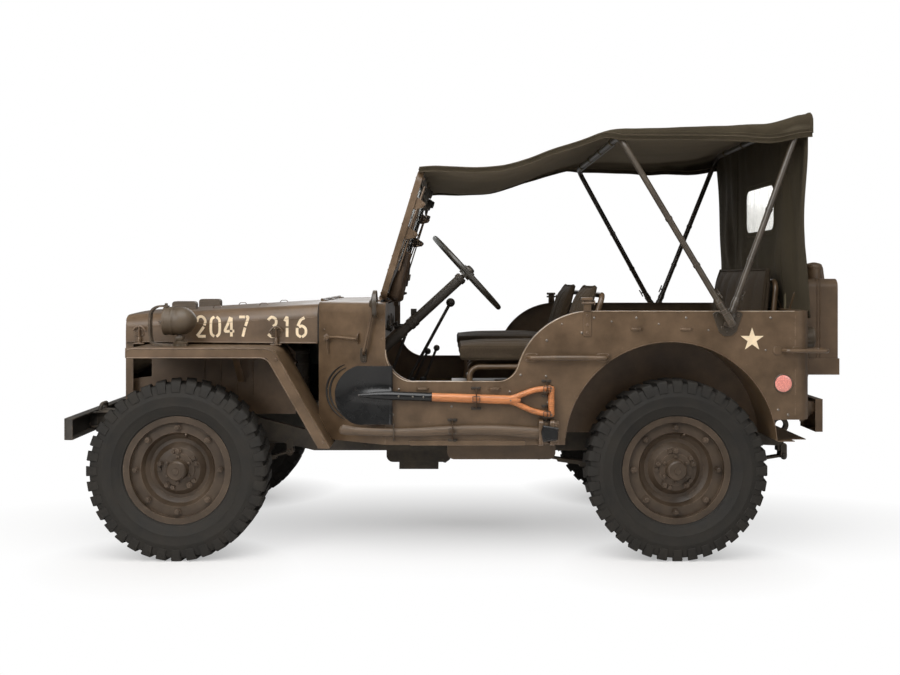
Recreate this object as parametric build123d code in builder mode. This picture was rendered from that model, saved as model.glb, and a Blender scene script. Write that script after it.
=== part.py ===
from build123d import *
import math
import os

os.makedirs("parts", exist_ok=True)

# Light open army car with four driven wheels. Millimetres, +X forward, +Y left, +Z up.
# The origin is on the ground below the middle of the whole car.

# Driving dimensions of the car
wheelbase = 2032.0
track = 1245.0
front_overhang = 460.0      # bumper face ahead of the front axle
tail_overhang = 533.0       # rear panel behind the rear axle
body_half_width = 729.0
sheet = 3.0                 # pressed steel panels
canvas = 6.0                # folded and lined canvas
seat_gap = 0.3              # what rests on something without being welded to it
run_gap = 6.0               # between pieces that move past each other
pin_gap = 0.3               # around pins, spindles and shafts

# Tyres and wheels
tyre_radius = 367.5
tyre_width = 165.0
spare_gap = 92.0            # rear panel to the spare tyre
rim_seat_radius = 203.0
rim_flange_radius = 220.0
rim_half_width = 57.0
drum_radius = 122.0
spindle_radius = 20.0

overall_length = front_overhang + wheelbase + tail_overhang + spare_gap + tyre_width
front_axle_x = overall_length / 2 - front_overhang
rear_axle_x = front_axle_x - wheelbase
axle_z = tyre_radius
wheel_y = track / 2


def behind(distance):
    """X of a station that lies this far behind the front axle."""
    return front_axle_x - distance


# Stations, measured backwards from the front axle
grille_front = -285.0
hood_rear = 555.0
cowl_front = 561.0
cowl_rear = 850.0
tail = wheelbase + tail_overhang

# Heights of the body
sill_z = 479.0
floor_z = 491.0
entry_z = 732.0
rim_z = 1015.0
cowl_z = 1050.0
tail_z = 580.0
fender_z = 868.0
hood_hem_z = 874.0

# Widths
hood_front_half = 432.0
hood_rear_half = 541.0
cowl_front_half = 545.0
apron_y = 372.0
well_y = 460.0

# Steering
kingpin_y = 520.0
arm_length = 165.0
arm_y = kingpin_y             # arms straight ahead of the kingpins
driver_y = 360.0
column_angle = 42.5
steering_hub_station = 1185.0
steering_hub_z = 1173.0
steering_wheel_radius = 215.0


def tube(points, radius, bend):
    """Round tube along straight runs joined by tangent arcs."""
    corners = len(points) - 2
    with BuildPart(mode=Mode.PRIVATE) as bent:
        with BuildLine() as route:
            if corners > 0:
                FilletPolyline(*points, radius=[bend] * corners)
            else:
                Line(*points)
        with BuildSketch(Plane(origin=route.line @ 0, z_dir=route.line % 0)):
            Circle(radius)
        sweep(path=route.line)
    return bent.part


def block(x_range, y_range, z_range):
    """Plain block between two stations, two sides and two heights."""
    size = [max(span) - min(span) for span in (x_range, y_range, z_range)]
    middle = [(max(span) + min(span)) / 2 for span in (x_range, y_range, z_range)]
    return Pos(*middle) * Box(*size, mode=Mode.PRIVATE)


def save(piece, label):
    """Label a finished piece and write its file."""
    piece.part.label = label
    export_step(piece.part, f"parts/{label}.step")


# Frame: two channel rails, cross members and spring hangers
rail_outer_y = 371.5
rail_flange = 45.0
rail_wall = 4.0
rail_low_z = 400.0
rail_top_z = floor_z - seat_gap
rail_horn_low_z = 505.0
rail_horn_top_z = 565.0
rail_front = -front_overhang + 38.0
rail_rear = tail - 4.0
rail_profile = [
    (behind(rail_front), rail_horn_low_z),
    (behind(-150.0), rail_horn_low_z - 18.0),
    (behind(280.0), rail_horn_low_z - 45.0),
    (behind(520.0), rail_low_z),
    (behind(wheelbase - 332.0), rail_low_z),
    (behind(wheelbase - 152.0), rail_low_z + 32.0),
    (behind(wheelbase + 228.0), rail_low_z + 32.0),
    (behind(rail_rear), rail_low_z + 20.0),
    (behind(rail_rear), rail_top_z),
    (behind(480.0), rail_top_z),
    (behind(250.0), rail_top_z + 60.0),
    (behind(rail_front), rail_horn_top_z),
]
# Cross members: station, depth along the car, low and high face
cross_members = [
    (-360.0, 50.0, 515.0, 560.0),
    (580.0, 60.0, rail_low_z + 28.0, 454.0),
    (1150.0, 90.0, rail_low_z + 44.0, rail_top_z - 4.0),
    (wheelbase - 232.0, 60.0, rail_low_z + 42.0, rail_top_z - 4.0),
    (tail - 60.0, 60.0, 430.0, rail_top_z - 4.0),
]
spring_y = 345.0
spring_width = 44.0
spring_half = {"front": 415.0, "rear": 533.0}
spring_eye_z = {"front": 398.0, "rear": 380.0}
spring_saddle_z = axle_z - 35.0
leaf = 8.0
eye_radius = 16.0
# Hangers: end of the car, first and last station, height where they meet the rail
hangers = [
    ("front", -spring_half["front"] - 6, -spring_half["front"] + 24, rail_horn_low_z + 2),
    ("front", spring_half["front"] - 15, spring_half["front"] + 15, rail_low_z + 34),
    ("rear", wheelbase - spring_half["rear"] - 15, wheelbase - spring_half["rear"] + 15, rail_low_z + 3),
    ("rear", tail - 25, tail - 5, rail_low_z + 26),
]

with BuildPart() as frame:
    with BuildSketch(Plane.XZ.offset(-rail_outer_y)):
        Polygon(*rail_profile, align=None)
    extrude(amount=rail_flange)
    with BuildSketch(Plane.XZ.offset(-rail_outer_y + rail_wall)) as rail_inside:
        Polygon(*rail_profile, align=None)
        offset(amount=-rail_wall, mode=Mode.REPLACE)
    extrude(amount=rail_flange, mode=Mode.SUBTRACT)
    for station, depth, low, high in cross_members:
        add(block((behind(station), behind(station + depth)), (-1, rail_outer_y - 1), (low, high)))
    mirror(about=Plane.XZ)
    # Hangers between the spring eyes and the rails
    for side in (-1, 1):
        for end, first, last, top in hangers:
            add(block(
                (behind(first), behind(last)),
                (side * (spring_y - spring_width / 2), side * (spring_y + spring_width / 2)),
                (spring_eye_z[end] + eye_radius + seat_gap, top),
            ))
save(frame, "frame")

# Front bumper: a shallow channel with its open side to the rear
bumper_half = 690.0
bumper_z = (492.0, 578.0)
bumper_depth = 38.0
bumper_face_x = front_axle_x + front_overhang
with BuildPart() as front_bumper:
    add(block((bumper_face_x - bumper_depth, bumper_face_x), (-bumper_half, bumper_half), bumper_z))
    outer_edges = front_bumper.edges().filter_by(Axis.Z).group_by(Axis.X)[-1]
    fillet(outer_edges, radius=18)
    wall = 5.0
    hollow = block(
        (bumper_face_x - bumper_depth - 1, bumper_face_x - wall),
        (-bumper_half + wall, bumper_half - wall),
        (bumper_z[0] + wall, bumper_z[1] - wall),
    )
    add(hollow, mode=Mode.SUBTRACT)
    rail_end_y = rail_outer_y - rail_flange / 2
    for side in (-1, 1):
        add(block(
            (bumper_face_x - bumper_depth, bumper_face_x - wall),
            (side * (rail_end_y - 22), side * (rail_end_y + 22)),
            (rail_horn_low_z, rail_horn_top_z),
        ))
save(front_bumper, "front_bumper")

# Grille: pressed sheet with nine slots, two lamp openings and a folded rim
grille_half = 420.0
grille_low_z = 575.0
grille_top_z = 960.0
grille_depth = 32.0
slot_count = 9
slot_pitch = 42.0
slot_width = 25.0
slot_height = 265.0
slot_mid_z = 775.0
headlamp_y = 302.0
headlamp_z = 815.0
headlamp_radius = 86.0
marker_y = 302.0
marker_z = 660.0
marker_radius = 33.0
lens_gap = 0.5
front_plane = Plane(origin=(behind(grille_front), 0, 0), x_dir=(0, 1, 0), z_dir=(1, 0, 0))
grille_mid_z = (grille_low_z + grille_top_z) / 2
with BuildPart() as grille:
    with BuildSketch(front_plane) as grille_face:
        with Locations((0, grille_mid_z)):
            RectangleRounded(2 * grille_half, grille_top_z - grille_low_z, 40)
    extrude(amount=-grille_depth)
    with BuildSketch(front_plane.offset(-sheet)):
        with Locations((0, grille_mid_z)):
            RectangleRounded(2 * (grille_half - sheet), grille_top_z - grille_low_z - 2 * sheet, 37)
    extrude(amount=-grille_depth, mode=Mode.SUBTRACT)
    with BuildSketch(front_plane):
        with Locations((0, slot_mid_z)):
            with GridLocations(slot_pitch, 1, slot_count, 1):
                SlotOverall(slot_height, slot_width, rotation=90)
        with Locations((-headlamp_y, headlamp_z), (headlamp_y, headlamp_z)):
            Circle(headlamp_radius + lens_gap)
        with Locations((-marker_y, marker_z), (marker_y, marker_z)):
            Circle(marker_radius + lens_gap)
    extrude(amount=-sheet, mode=Mode.SUBTRACT)
save(grille, "grille")

# Lamps: headlamps and markers behind the grille, a hooded lamp on the left fender, tail lamps
fender_lamp_distance = -10.0
fender_lamp_y = body_half_width - 144.0
fender_lamp_z = 972.0
fender_lamp_radius = 58.0
tail_lamp_y = body_half_width - 119.0
tail_lamp_z = 905.0
with BuildPart() as lamps:
    for y, z, radius, depth in (
        (headlamp_y, headlamp_z, headlamp_radius, 95.0),
        (marker_y, marker_z, marker_radius, 50.0),
    ):
        for side in (-1, 1):
            lamp_back = Plane(origin=(behind(grille_front) - depth, side * y, z), z_dir=(1, 0, 0))
            with BuildSketch(lamp_back):
                Circle(radius * 0.5)
            with BuildSketch(lamp_back.offset(depth - 22)):
                Circle(radius)
            loft()
            with BuildSketch(lamp_back.offset(depth - 22)):
                Circle(radius)
            extrude(amount=26)
    lens_edges = lamps.edges().filter_by(GeomType.CIRCLE).group_by(Axis.X)[-1]
    fillet(lens_edges, radius=5)
    # Hooded driving lamp on its stalk
    lamp_x = behind(fender_lamp_distance)
    hood_axis = Plane(origin=(lamp_x, fender_lamp_y, fender_lamp_z), x_dir=(0, 0, 1), z_dir=(0, 1, 0))
    with BuildSketch(hood_axis):
        with BuildLine():
            Polyline((0, 62), (fender_lamp_radius, 62), (fender_lamp_radius, 10))
            ThreePointArc((fender_lamp_radius, 10), (fender_lamp_radius * 0.78, -42), (0, -70))
            Line((0, -70), (0, 62))
        make_face()
    revolve(axis=Axis((lamp_x, fender_lamp_y, fender_lamp_z), (1, 0, 0)))
    stalk_z = (fender_z + seat_gap, fender_lamp_z - fender_lamp_radius + 12)
    with Locations(Pos(lamp_x, fender_lamp_y, sum(stalk_z) / 2)):
        Cylinder(11, stalk_z[1] - stalk_z[0])
    with Locations(Pos(lamp_x, fender_lamp_y, fender_z + seat_gap + 4)):
        Cylinder(30, 8)
    # Tail lamps on the rear panel
    for side in (-1, 1):
        with BuildSketch(Plane(origin=(behind(tail), side * tail_lamp_y, tail_lamp_z), z_dir=(-1, 0, 0))):
            Circle(44)
        extrude(amount=38)
save(lamps, "lamps")

# Radiator core and header tank behind the grille
radiator_half = 228.0
with BuildPart() as radiator:
    add(block((behind(-215), behind(-158)), (-radiator_half, radiator_half), (575, 905)))
    add(block((behind(-208), behind(-165)), (-radiator_half + 20, radiator_half - 20), (905, 948)))
    for side in (-1, 1):
        add(block((behind(-215), behind(-185)), (side * radiator_half, side * apron_y), (600, 640)))
    with Locations(Pos(behind(-186), 0, 955)):
        Cylinder(26, 14)
save(radiator, "radiator")

# Hood: crowned lid of pressed sheet with a turned-down nose, hinged at the cowl
hood_front_z = 992.0
hood_corner = 52.0
hood_crown = 9.0
nose_z = 966.0


def hood_section(station, half, top, inset):
    """Section across the hood, inset from its outer face."""
    flat = half - inset
    crest = top - inset
    corner = hood_corner - inset
    with BuildSketch(Plane(origin=(behind(station), 0, 0), x_dir=(0, 1, 0), z_dir=(1, 0, 0)), mode=Mode.PRIVATE) as section:
        with BuildLine():
            Polyline((-flat, crest - corner), (-flat, hood_hem_z), (flat, hood_hem_z), (flat, crest - corner))
            RadiusArc((-flat, crest - corner), (-flat + corner, crest), corner)
            ThreePointArc((-flat + corner, crest), (0, crest + hood_crown), (flat - corner, crest))
            RadiusArc((flat - corner, crest), (flat, crest - corner), corner)
        make_face()
    return section.sketch


hinge_station = 558.0
hinge_pin = 3.0
hinge_barrel = 6.0
hinge_z = cowl_z + hinge_barrel + pin_gap
hood_barrels = [(-298.0, -102.0), (102.0, 298.0)]
cowl_barrels = [(-400.0, -300.0), (-100.0, 100.0), (300.0, 400.0)]
with BuildPart() as hood_shape:
    add(hood_section(grille_front, hood_front_half, hood_front_z, 0))
    add(hood_section(hood_rear, hood_rear_half, cowl_z - hood_crown, 0))
    loft(ruled=True)
    nose_edges = hood_shape.edges().filter_by(GeomType.CIRCLE).group_by(Axis.X)[-1]
    fillet(nose_edges.sort_by(Axis.Z)[-1], radius=9)

with BuildPart() as hood_inside:
    add(hood_section(grille_front - 1, hood_front_half, hood_front_z, sheet))
    add(hood_section(hood_rear + 1, hood_rear_half, cowl_z - hood_crown, sheet))
    loft(ruled=True)
    add(
        block((behind(grille_front) - sheet, behind(grille_front) + 9), (-600, 600), (nose_z, 1100)),
        mode=Mode.SUBTRACT,
    )

with BuildPart() as hood:
    add(hood_shape.part)
    add(hood_inside.part, mode=Mode.SUBTRACT)
    add(
        block((behind(grille_front) - sheet - 1, behind(grille_front) + 9), (-600, 600), (800, nose_z)),
        mode=Mode.SUBTRACT,
    )
    # Barrels of the long hinge
    for low, high in hood_barrels:
        add(block((behind(hood_rear - 14), behind(hood_rear - 1)), (low, high), (cowl_z - 6, hinge_z - 1)))
        with Locations(Location((behind(hinge_station), (low + high) / 2, hinge_z), (90, 0, 0))):
            Cylinder(hinge_barrel, high - low)
            Cylinder(hinge_pin + pin_gap, high - low, mode=Mode.SUBTRACT)
save(hood, "hood")

# Two wooden rests on the hood for the folded windshield
rest_length = 105.0
rest_station = -120.0
rest_y = 262.0


def hood_top_z(station):
    """Height of the hood's flat at a station."""
    share = (station - grille_front) / (hood_rear - grille_front)
    return hood_front_z + share * (cowl_z - hood_crown - hood_front_z)


with BuildPart() as hood_blocks:
    for side in (-1, 1):
        seat_z = hood_top_z(rest_station + rest_length / 2)
        add(block(
            (behind(rest_station), behind(rest_station + rest_length)),
            (side * rest_y - 24, side * rest_y + 24),
            (seat_z - 10, seat_z + 42),
        ))
    fillet(hood_blocks.edges().filter_by(Axis.Y).group_by(Axis.Z)[-1], radius=14)
    add(hood_shape.part, mode=Mode.SUBTRACT)
save(hood_blocks, "hood_blocks")

# Cowl: flared shell between hood and tub, open to the cabin, with the firewall in front
cowl_plan = [
    (behind(cowl_front), -cowl_front_half),
    (behind(cowl_rear), -body_half_width),
    (behind(cowl_rear), body_half_width),
    (behind(cowl_front), cowl_front_half),
]
with BuildPart() as cowl_shape:
    with BuildSketch(Plane.XY.offset(sill_z)):
        Polygon(*cowl_plan, align=None)
    extrude(amount=cowl_z - sill_z)
    upper = cowl_shape.edges().group_by(Axis.Z)[-1]
    side_edges = [edge for edge in upper if abs(edge.center().Y) > cowl_front_half * 0.9]
    fillet(side_edges, radius=42)

column_direction = Vector(math.cos(math.radians(column_angle)), 0, -math.sin(math.radians(column_angle)))
steering_hub = Vector(behind(steering_hub_station), driver_y, steering_hub_z)
column_plane = Plane(origin=steering_hub, x_dir=(0, 1, 0), z_dir=column_direction)
column_radius = 22.0
column_foot_z = 561.6
column_length = (steering_hub_z - column_foot_z) / math.sin(math.radians(column_angle))
column_foot = steering_hub_station - column_length * math.cos(math.radians(column_angle))

with BuildPart() as cowl:
    add(cowl_shape.part)
    with BuildSketch(Plane.XY.offset(sill_z - 1)):
        Polygon(
            (behind(cowl_front + sheet), -cowl_front_half + sheet),
            (behind(cowl_rear + 1), -body_half_width + sheet),
            (behind(cowl_rear + 1), body_half_width - sheet),
            (behind(cowl_front + sheet), cowl_front_half - sheet),
            align=None,
        )
    extrude(amount=cowl_z - 42 - sill_z, mode=Mode.SUBTRACT)
    inner_half = cowl_front_half - 44
    add(
        block((behind(cowl_front + sheet), behind(cowl_rear + 1)), (-inner_half, inner_half),
              (cowl_z - 80, cowl_z - sheet)),
        mode=Mode.SUBTRACT,
    )
    # Dash panel hanging below the cowl top
    add(block((behind(cowl_rear - 22), behind(cowl_rear - 22 - sheet)), (-inner_half - 60, inner_half + 60),
              (cowl_z - 165, cowl_z - 20)))
    # Tunnel opening in the firewall
    add(block((behind(cowl_front) + 1, behind(cowl_front + 20)), (-200, 200), (sill_z - 1, 700)),
        mode=Mode.SUBTRACT)
    # Barrels and pin of the hood hinge
    for low, high in cowl_barrels:
        add(block((behind(cowl_front + 1), behind(cowl_front + 16)), (low, high), (cowl_z - 1, hinge_z - 1)))
        with Locations(Location((behind(hinge_station), (low + high) / 2, hinge_z), (90, 0, 0))):
            Cylinder(hinge_barrel, high - low)
    with Locations(Location((behind(hinge_station), 0, hinge_z), (90, 0, 0))):
        Cylinder(hinge_pin, cowl_barrels[-1][1] - cowl_barrels[0][0])
    # The firewall stands on the floor, above the rails
    add(block((behind(cowl_front) + 1, behind(cowl_front + sheet)), (-540, 540), (sill_z - 1, floor_z)),
        mode=Mode.SUBTRACT)
    # Opening round the steering column
    with Locations(column_plane.offset(300).location):
        Cylinder(column_radius + 8, column_length * 1.4, mode=Mode.SUBTRACT)
save(cowl, "cowl")

# Tub sides: the entry sweeps up to the rim in two arcs, the wheel arch is a plain circle
corner_radius = 66.0
corner_bend = 55.0
entry_front = 957.0
entry_back = 1303.0
sweep_top = wheelbase - 353.0
entry_corner_z = 860.0
foot_radius = 85.0
arch_station = wheelbase - 33.5
arch_z = 466.6
arch_radius = 426.0
bead = 6.0
sweep_run = sweep_top - entry_back
sweep_rise = rim_z - entry_z
radius_sum = (sweep_run**2 + sweep_rise**2) / (2 * sweep_rise)
shoulder_radius = radius_sum - foot_radius
sweep_angle = math.asin(sweep_run / radius_sum)
sweep_joint = (
    behind(entry_back + foot_radius * math.sin(sweep_angle)),
    entry_z + foot_radius * (1 - math.cos(sweep_angle)),
)


def sweep_point(radius, angle, station, base_z, direction):
    """Point on one of the two arcs of the sweep, an angle away from its level end."""
    return (
        behind(station + direction * radius * math.sin(angle)),
        base_z + direction * radius * (1 - math.cos(angle)),
    )


foot_middle = sweep_point(foot_radius, sweep_angle / 2, entry_back, entry_z, 1)
shoulder_middle = sweep_point(shoulder_radius, sweep_angle / 2, sweep_top, rim_z, -1)
front_drop = entry_corner_z - entry_z
front_run = entry_front - cowl_rear
front_middle = (
    behind(entry_front - front_run * math.sin(math.pi / 4)),
    entry_corner_z - front_drop * math.cos(math.pi / 4) * 0.92,
)
tub_side_end = tail - corner_radius
sill_end = arch_station - math.sqrt(arch_radius**2 - (sill_z - arch_z) ** 2)
tail_start = arch_station + math.sqrt(arch_radius**2 - (tail_z - arch_z) ** 2)

with BuildPart() as tub_side_left:
    with BuildSketch(Plane.XZ.offset(-body_half_width)):
        with BuildLine():
            with BuildLine() as rim_line:
                ThreePointArc((behind(cowl_rear), entry_corner_z), front_middle, (behind(entry_front), entry_z))
                Line((behind(entry_front), entry_z), (behind(entry_back), entry_z))
                ThreePointArc((behind(entry_back), entry_z), foot_middle, sweep_joint)
                ThreePointArc(sweep_joint, shoulder_middle, (behind(sweep_top), rim_z))
                Line((behind(sweep_top), rim_z), (behind(tub_side_end), rim_z))
            Polyline(
                (behind(tub_side_end), rim_z),
                (behind(tub_side_end), tail_z),
                (behind(tail_start), tail_z),
            )
            ThreePointArc(
                (behind(tail_start), tail_z),
                (behind(arch_station), arch_z + arch_radius),
                (behind(sill_end), sill_z),
            )
            Polyline(
                (behind(sill_end), sill_z),
                (behind(cowl_rear), sill_z),
                (behind(cowl_rear), entry_corner_z),
            )
        make_face()
    extrude(amount=sheet)
    # Rolled bead along the rim
    with BuildSketch(Plane.XZ.offset(-body_half_width)):
        add(rim_line.line)
        trace(line_width=bead)
    extrude(amount=20)
    # The shell ends flush with the cowl and the rear corner
    skin = (body_half_width - 129, body_half_width + 71)
    add(block((behind(cowl_rear), behind(cowl_rear) + 50), skin, (400, 1100)), mode=Mode.SUBTRACT)
    add(block((behind(tub_side_end), behind(tub_side_end) - 50), skin, (400, 1100)), mode=Mode.SUBTRACT)
save(tub_side_left, "tub_side_left")

with BuildPart() as tub_side_right:
    mirror(tub_side_left.part, about=Plane.XZ)
save(tub_side_right, "tub_side_right")

# Rear panel with its rounded corners and folded rim
panel_mid_y = body_half_width - sheet / 2
panel_mid_x = behind(tail) + sheet / 2
with BuildPart() as tub_rear_panel:
    with BuildSketch(Plane.XY.offset(tail_z)):
        with BuildLine():
            FilletPolyline(
                (behind(tub_side_end), -panel_mid_y), (panel_mid_x, -panel_mid_y),
                (panel_mid_x, panel_mid_y), (behind(tub_side_end), panel_mid_y),
                radius=[corner_bend, corner_bend],
            )
        trace(line_width=sheet)
    extrude(amount=rim_z + bead / 2 - tail_z)
    # Folded rim along the top
    add(block((behind(tail) + 1, behind(tail) + 22), (-body_half_width + corner_radius,
              body_half_width - corner_radius), (rim_z - bead / 2, rim_z + bead / 2)))
save(tub_rear_panel, "tub_rear_panel")

# Floor: plate with toe board and gearbox cover, open over the rear wheels and the tank
tank_x = (1100.0, 1555.0)
sump_y = (385.0, 528.0)
tank_y = (215.0, 532.0)
tank_low_z = 387.0
tank_top_z = 700.0
tunnel_half = 150.0
tunnel_end = 1080.0
floor_half = body_half_width - sheet
floor_top = floor_z + sheet
with BuildPart() as tub_floor:
    add(block((behind(cowl_rear), behind(tail) + sheet), (-floor_half, floor_half), (floor_z, floor_top)))
    # Clear of the rounded rear corners
    for side in (-1, 1):
        add(block((behind(tub_side_end - 1), behind(tail)), (side * (floor_half - 58), side * 900), (400, 600)),
            mode=Mode.SUBTRACT)
    add(block((behind(cowl_front + sheet), behind(cowl_rear)), (-cowl_front_half + 20, cowl_front_half - 20),
              (floor_z, floor_top)))
    # Wells for the rear wheels
    for side in (-1, 1):
        add(
            block(
                (behind(arch_station - arch_radius - 6), behind(arch_station + arch_radius + 6)),
                (side * (well_y - sheet), side * 900), (400, 600),
            ),
            mode=Mode.SUBTRACT,
        )
    # Well for the fuel tank
    add(block((behind(tank_x[0]) + 1, behind(tank_x[1]) - 1), (sump_y[0] - 1, sump_y[1] + 1), (400, 600)),
        mode=Mode.SUBTRACT)
    # Toe board
    toe_half = cowl_front_half - 20
    with BuildSketch(Plane.XZ.offset(-toe_half)):
        Polygon(
            (behind(cowl_front + sheet), 760), (behind(cowl_front + sheet), 752),
            (behind(830), floor_top), (behind(842), floor_top), align=None,
        )
    extrude(amount=2 * toe_half)
    # Gearbox cover
    add(block((behind(cowl_front + sheet), behind(tunnel_end)), (-tunnel_half, tunnel_half),
              (floor_z, 640)))
    cover_edges = tub_floor.edges().filter_by(Axis.X).group_by(Axis.Z)[-1]
    fillet(cover_edges, radius=40)
    add(block((behind(cowl_front - 1), behind(tunnel_end - sheet)),
              (-tunnel_half + sheet, tunnel_half - sheet), (floor_z - 1, 600)), mode=Mode.SUBTRACT)
    with Locations(column_plane.offset(300).location):
        Cylinder(column_radius + 8, column_length * 1.4, mode=Mode.SUBTRACT)
save(tub_floor, "tub_floor")

# Wheel wells inside the tub: arched tunnel with a flat inner wall
with BuildPart() as wheel_wells:
    with BuildSketch(Plane.XZ.offset(-floor_half)):
        with Locations((behind(arch_station), arch_z)):
            Circle(arch_radius + 2 + sheet)
    extrude(amount=floor_half - well_y + sheet)
    with BuildSketch(Plane.XZ.offset(-floor_half)):
        with Locations((behind(arch_station), arch_z)):
            Circle(arch_radius + 2)
    extrude(amount=floor_half - well_y, mode=Mode.SUBTRACT)
    add(block((behind(arch_station - 600), behind(arch_station + 600)), (0, 900), (0, floor_top)),
        mode=Mode.SUBTRACT)
    mirror(about=Plane.XZ)
save(wheel_wells, "wheel_wells")

# Front fenders: flat top, sloping rear leg, rolled outer lip and inner splash apron
fender_front = -195.0
fender_bend = 398.0
fender_end = 625.0
fender_end_z = 464.0
lip = 40.0
with BuildPart() as fender_left:
    with BuildSketch(Plane.XZ.offset(-body_half_width)):
        with BuildLine() as fender_line:
            FilletPolyline(
                (behind(fender_front), fender_z - lip + 4), (behind(fender_front), fender_z - sheet / 2),
                (behind(fender_bend), fender_z - sheet / 2),
                (behind(fender_end), fender_end_z),
                radius=[20, 45],
            )
        trace(line_width=sheet)
    extrude(amount=body_half_width - apron_y)
    # Outer lip follows the same line
    with BuildSketch(Plane.XZ.offset(-body_half_width)):
        with BuildLine():
            FilletPolyline(
                (behind(fender_front - 1.5), fender_z), (behind(fender_bend + 2), fender_z),
                (behind(fender_end + 2), fender_end_z), radius=[45],
            )
            Polyline(
                (behind(fender_end + 2), fender_end_z), (behind(fender_end - lip - 4), fender_end_z),
                (behind(fender_bend - 24), fender_z - lip), (behind(fender_front - 1.5), fender_z - lip),
                (behind(fender_front - 1.5), fender_z),
            )
        make_face()
    extrude(amount=sheet)
    # Splash apron beside the engine
    with BuildSketch(Plane.XZ.offset(-apron_y - sheet)):
        Polygon(
            (behind(fender_front + 10), fender_z - 1), (behind(fender_front + 10), 722),
            (behind(grille_front + sheet), 712), (behind(grille_front + sheet), 600),
            (behind(60), 560), (behind(440), 560), (behind(440), fender_z - 40),
            (behind(fender_bend), fender_z - 1), align=None,
        )
    extrude(amount=sheet)
    add(cowl_shape.part, mode=Mode.SUBTRACT)
    # The rear leg stays outside the steering box
    add(block((behind(442), behind(640)), (300, 450), (400, 845)), mode=Mode.SUBTRACT)
save(fender_left, "fender_left")

with BuildPart() as fender_right:
    mirror(fender_left.part, about=Plane.XZ)
save(fender_right, "fender_right")

# Engine and gearbox as plain blocks at their real places
with BuildPart() as engine:
    add(block((behind(-110), behind(440)), (-165, 165), (560, 880)))
    add(block((behind(-60), behind(440)), (-130, 130), (470, 560)))
    add(block((behind(440), behind(820)), (-120, 120), (455, 590)))
    add(block((behind(-158 + seat_gap), behind(-110)), (-40, 40), (640, 720)))
save(engine, "engine")

driveline_y = -190.0
shaft_z = 392.0
with BuildPart() as transfer_case:
    add(block((behind(822), behind(1118)), (-290, 120), (306, 455)))
    fillet(transfer_case.edges().filter_by(Axis.Y).group_by(Axis.Z)[0], radius=30)
    add(block((behind(880), behind(1060)), (-130, 110), (272, 306)))
save(transfer_case, "transfer_case")

# Fuel tank under the driver's seat, its sump below the floor
with BuildPart() as fuel_tank:
    add(block((behind(tank_x[0]), behind(tank_x[1])), sump_y, (tank_low_z, floor_top + seat_gap)))
    fillet(fuel_tank.edges().filter_by(Axis.Y).group_by(Axis.Z)[0], radius=30)
    add(block((behind(tank_x[0] - 10), behind(tank_x[1] + 2)), (sump_y[0] - 8, tank_y[1] + 4),
              (floor_top + seat_gap, floor_top + 6)))
    add(block((behind(tank_x[0] + 20), behind(tank_x[1] - 15)), tank_y, (floor_top + seat_gap, tank_top_z)))
    with Locations(Pos(behind(1340), 420, tank_top_z + 6)):
        Cylinder(38, 12)
save(fuel_tank, "fuel_tank")

# Exhaust: down pipe, silencer and tail pipe on the right side
exhaust_y = -480.0
with BuildPart() as exhaust:
    add(tube(
        [(behind(380), -169, 600), (behind(385), -262, 585), (behind(470), -262, 372),
         (behind(600), -300, 372), (behind(760), exhaust_y, 372), (behind(1130), exhaust_y, 404)],
        radius=19, bend=40,
    ))
    with Locations(Location((behind(1300), exhaust_y, 412), (0, 90, 0))):
        Cylinder(62, 380)
    add(tube(
        [(behind(1480), exhaust_y, 400), (behind(1530), exhaust_y, 400), (behind(1545), -640, 400)],
        radius=19, bend=24,
    ))
    # Strap up to the floor
    add(block((behind(1200), behind(1220)), (exhaust_y - 12, exhaust_y + 12), (460, floor_z - seat_gap)))
save(exhaust, "exhaust")

# Axles: tube, offset differential and, at the front, the balls that carry the knuckles
axle_tube = 35.0
ball_radius = 58.0
ball_hole = 12.0
backing_y = wheel_y - 60.0
backing_plate = 5.0
diff_radius = 112.0


def axle_core(x, direction, reach):
    """Axle tube with the differential housing and its pinion nose."""
    with BuildPart(mode=Mode.PRIVATE) as core:
        with Locations(Location((x, 0, axle_z), (90, 0, 0))):
            Cylinder(axle_tube, 2 * reach)
        with Locations(Pos(x, driveline_y, axle_z)):
            Sphere(diff_radius)
        with Locations(Location((x + direction * 120, driveline_y, axle_z), (0, 90, 0))):
            Cylinder(42, 130)
        with Locations(Location((x + direction * 192, driveline_y, axle_z), (0, 90, 0))):
            Cylinder(50, 14)
    return core.part


pinion_reach = 199.0
with BuildPart() as front_axle:
    add(axle_core(front_axle_x, -1, kingpin_y - 30))
    for side in (-1, 1):
        with Locations(Pos(front_axle_x, side * kingpin_y, axle_z)):
            Sphere(ball_radius)
    for side in (-1, 1):
        add(
            block((front_axle_x - 80, front_axle_x + 80), (side * (kingpin_y + 12), side * 700), (200, 500)),
            mode=Mode.SUBTRACT,
        )
        with Locations(Pos(front_axle_x, side * kingpin_y, axle_z)):
            Cylinder(ball_hole + pin_gap, 2 * ball_radius + 20, mode=Mode.SUBTRACT)
save(front_axle, "front_axle")

with BuildPart() as rear_axle:
    add(axle_core(rear_axle_x, 1, backing_y))
    for side in (-1, 1):
        with BuildSketch(Plane(origin=(rear_axle_x, side * backing_y, axle_z), z_dir=(0, side, 0))):
            Circle(drum_radius + 6)
        extrude(amount=-backing_plate)
        with BuildSketch(Plane(origin=(rear_axle_x, side * backing_y, axle_z), z_dir=(0, side, 0))):
            Circle(spindle_radius)
        extrude(amount=50)
save(rear_axle, "rear_axle")

# Knuckles: cup round the ball, kingpins, steering arm, brake plate and spindle
cup_inner = ball_radius + run_gap
cup_outer = cup_inner + 8.0
arm_thickness = 16.0
arm_low_z = axle_z + 2.0
tie_pin = 8.0
rod_eye = 13.0
tie_z = arm_low_z + arm_thickness + 0.5 + 12.0


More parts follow.
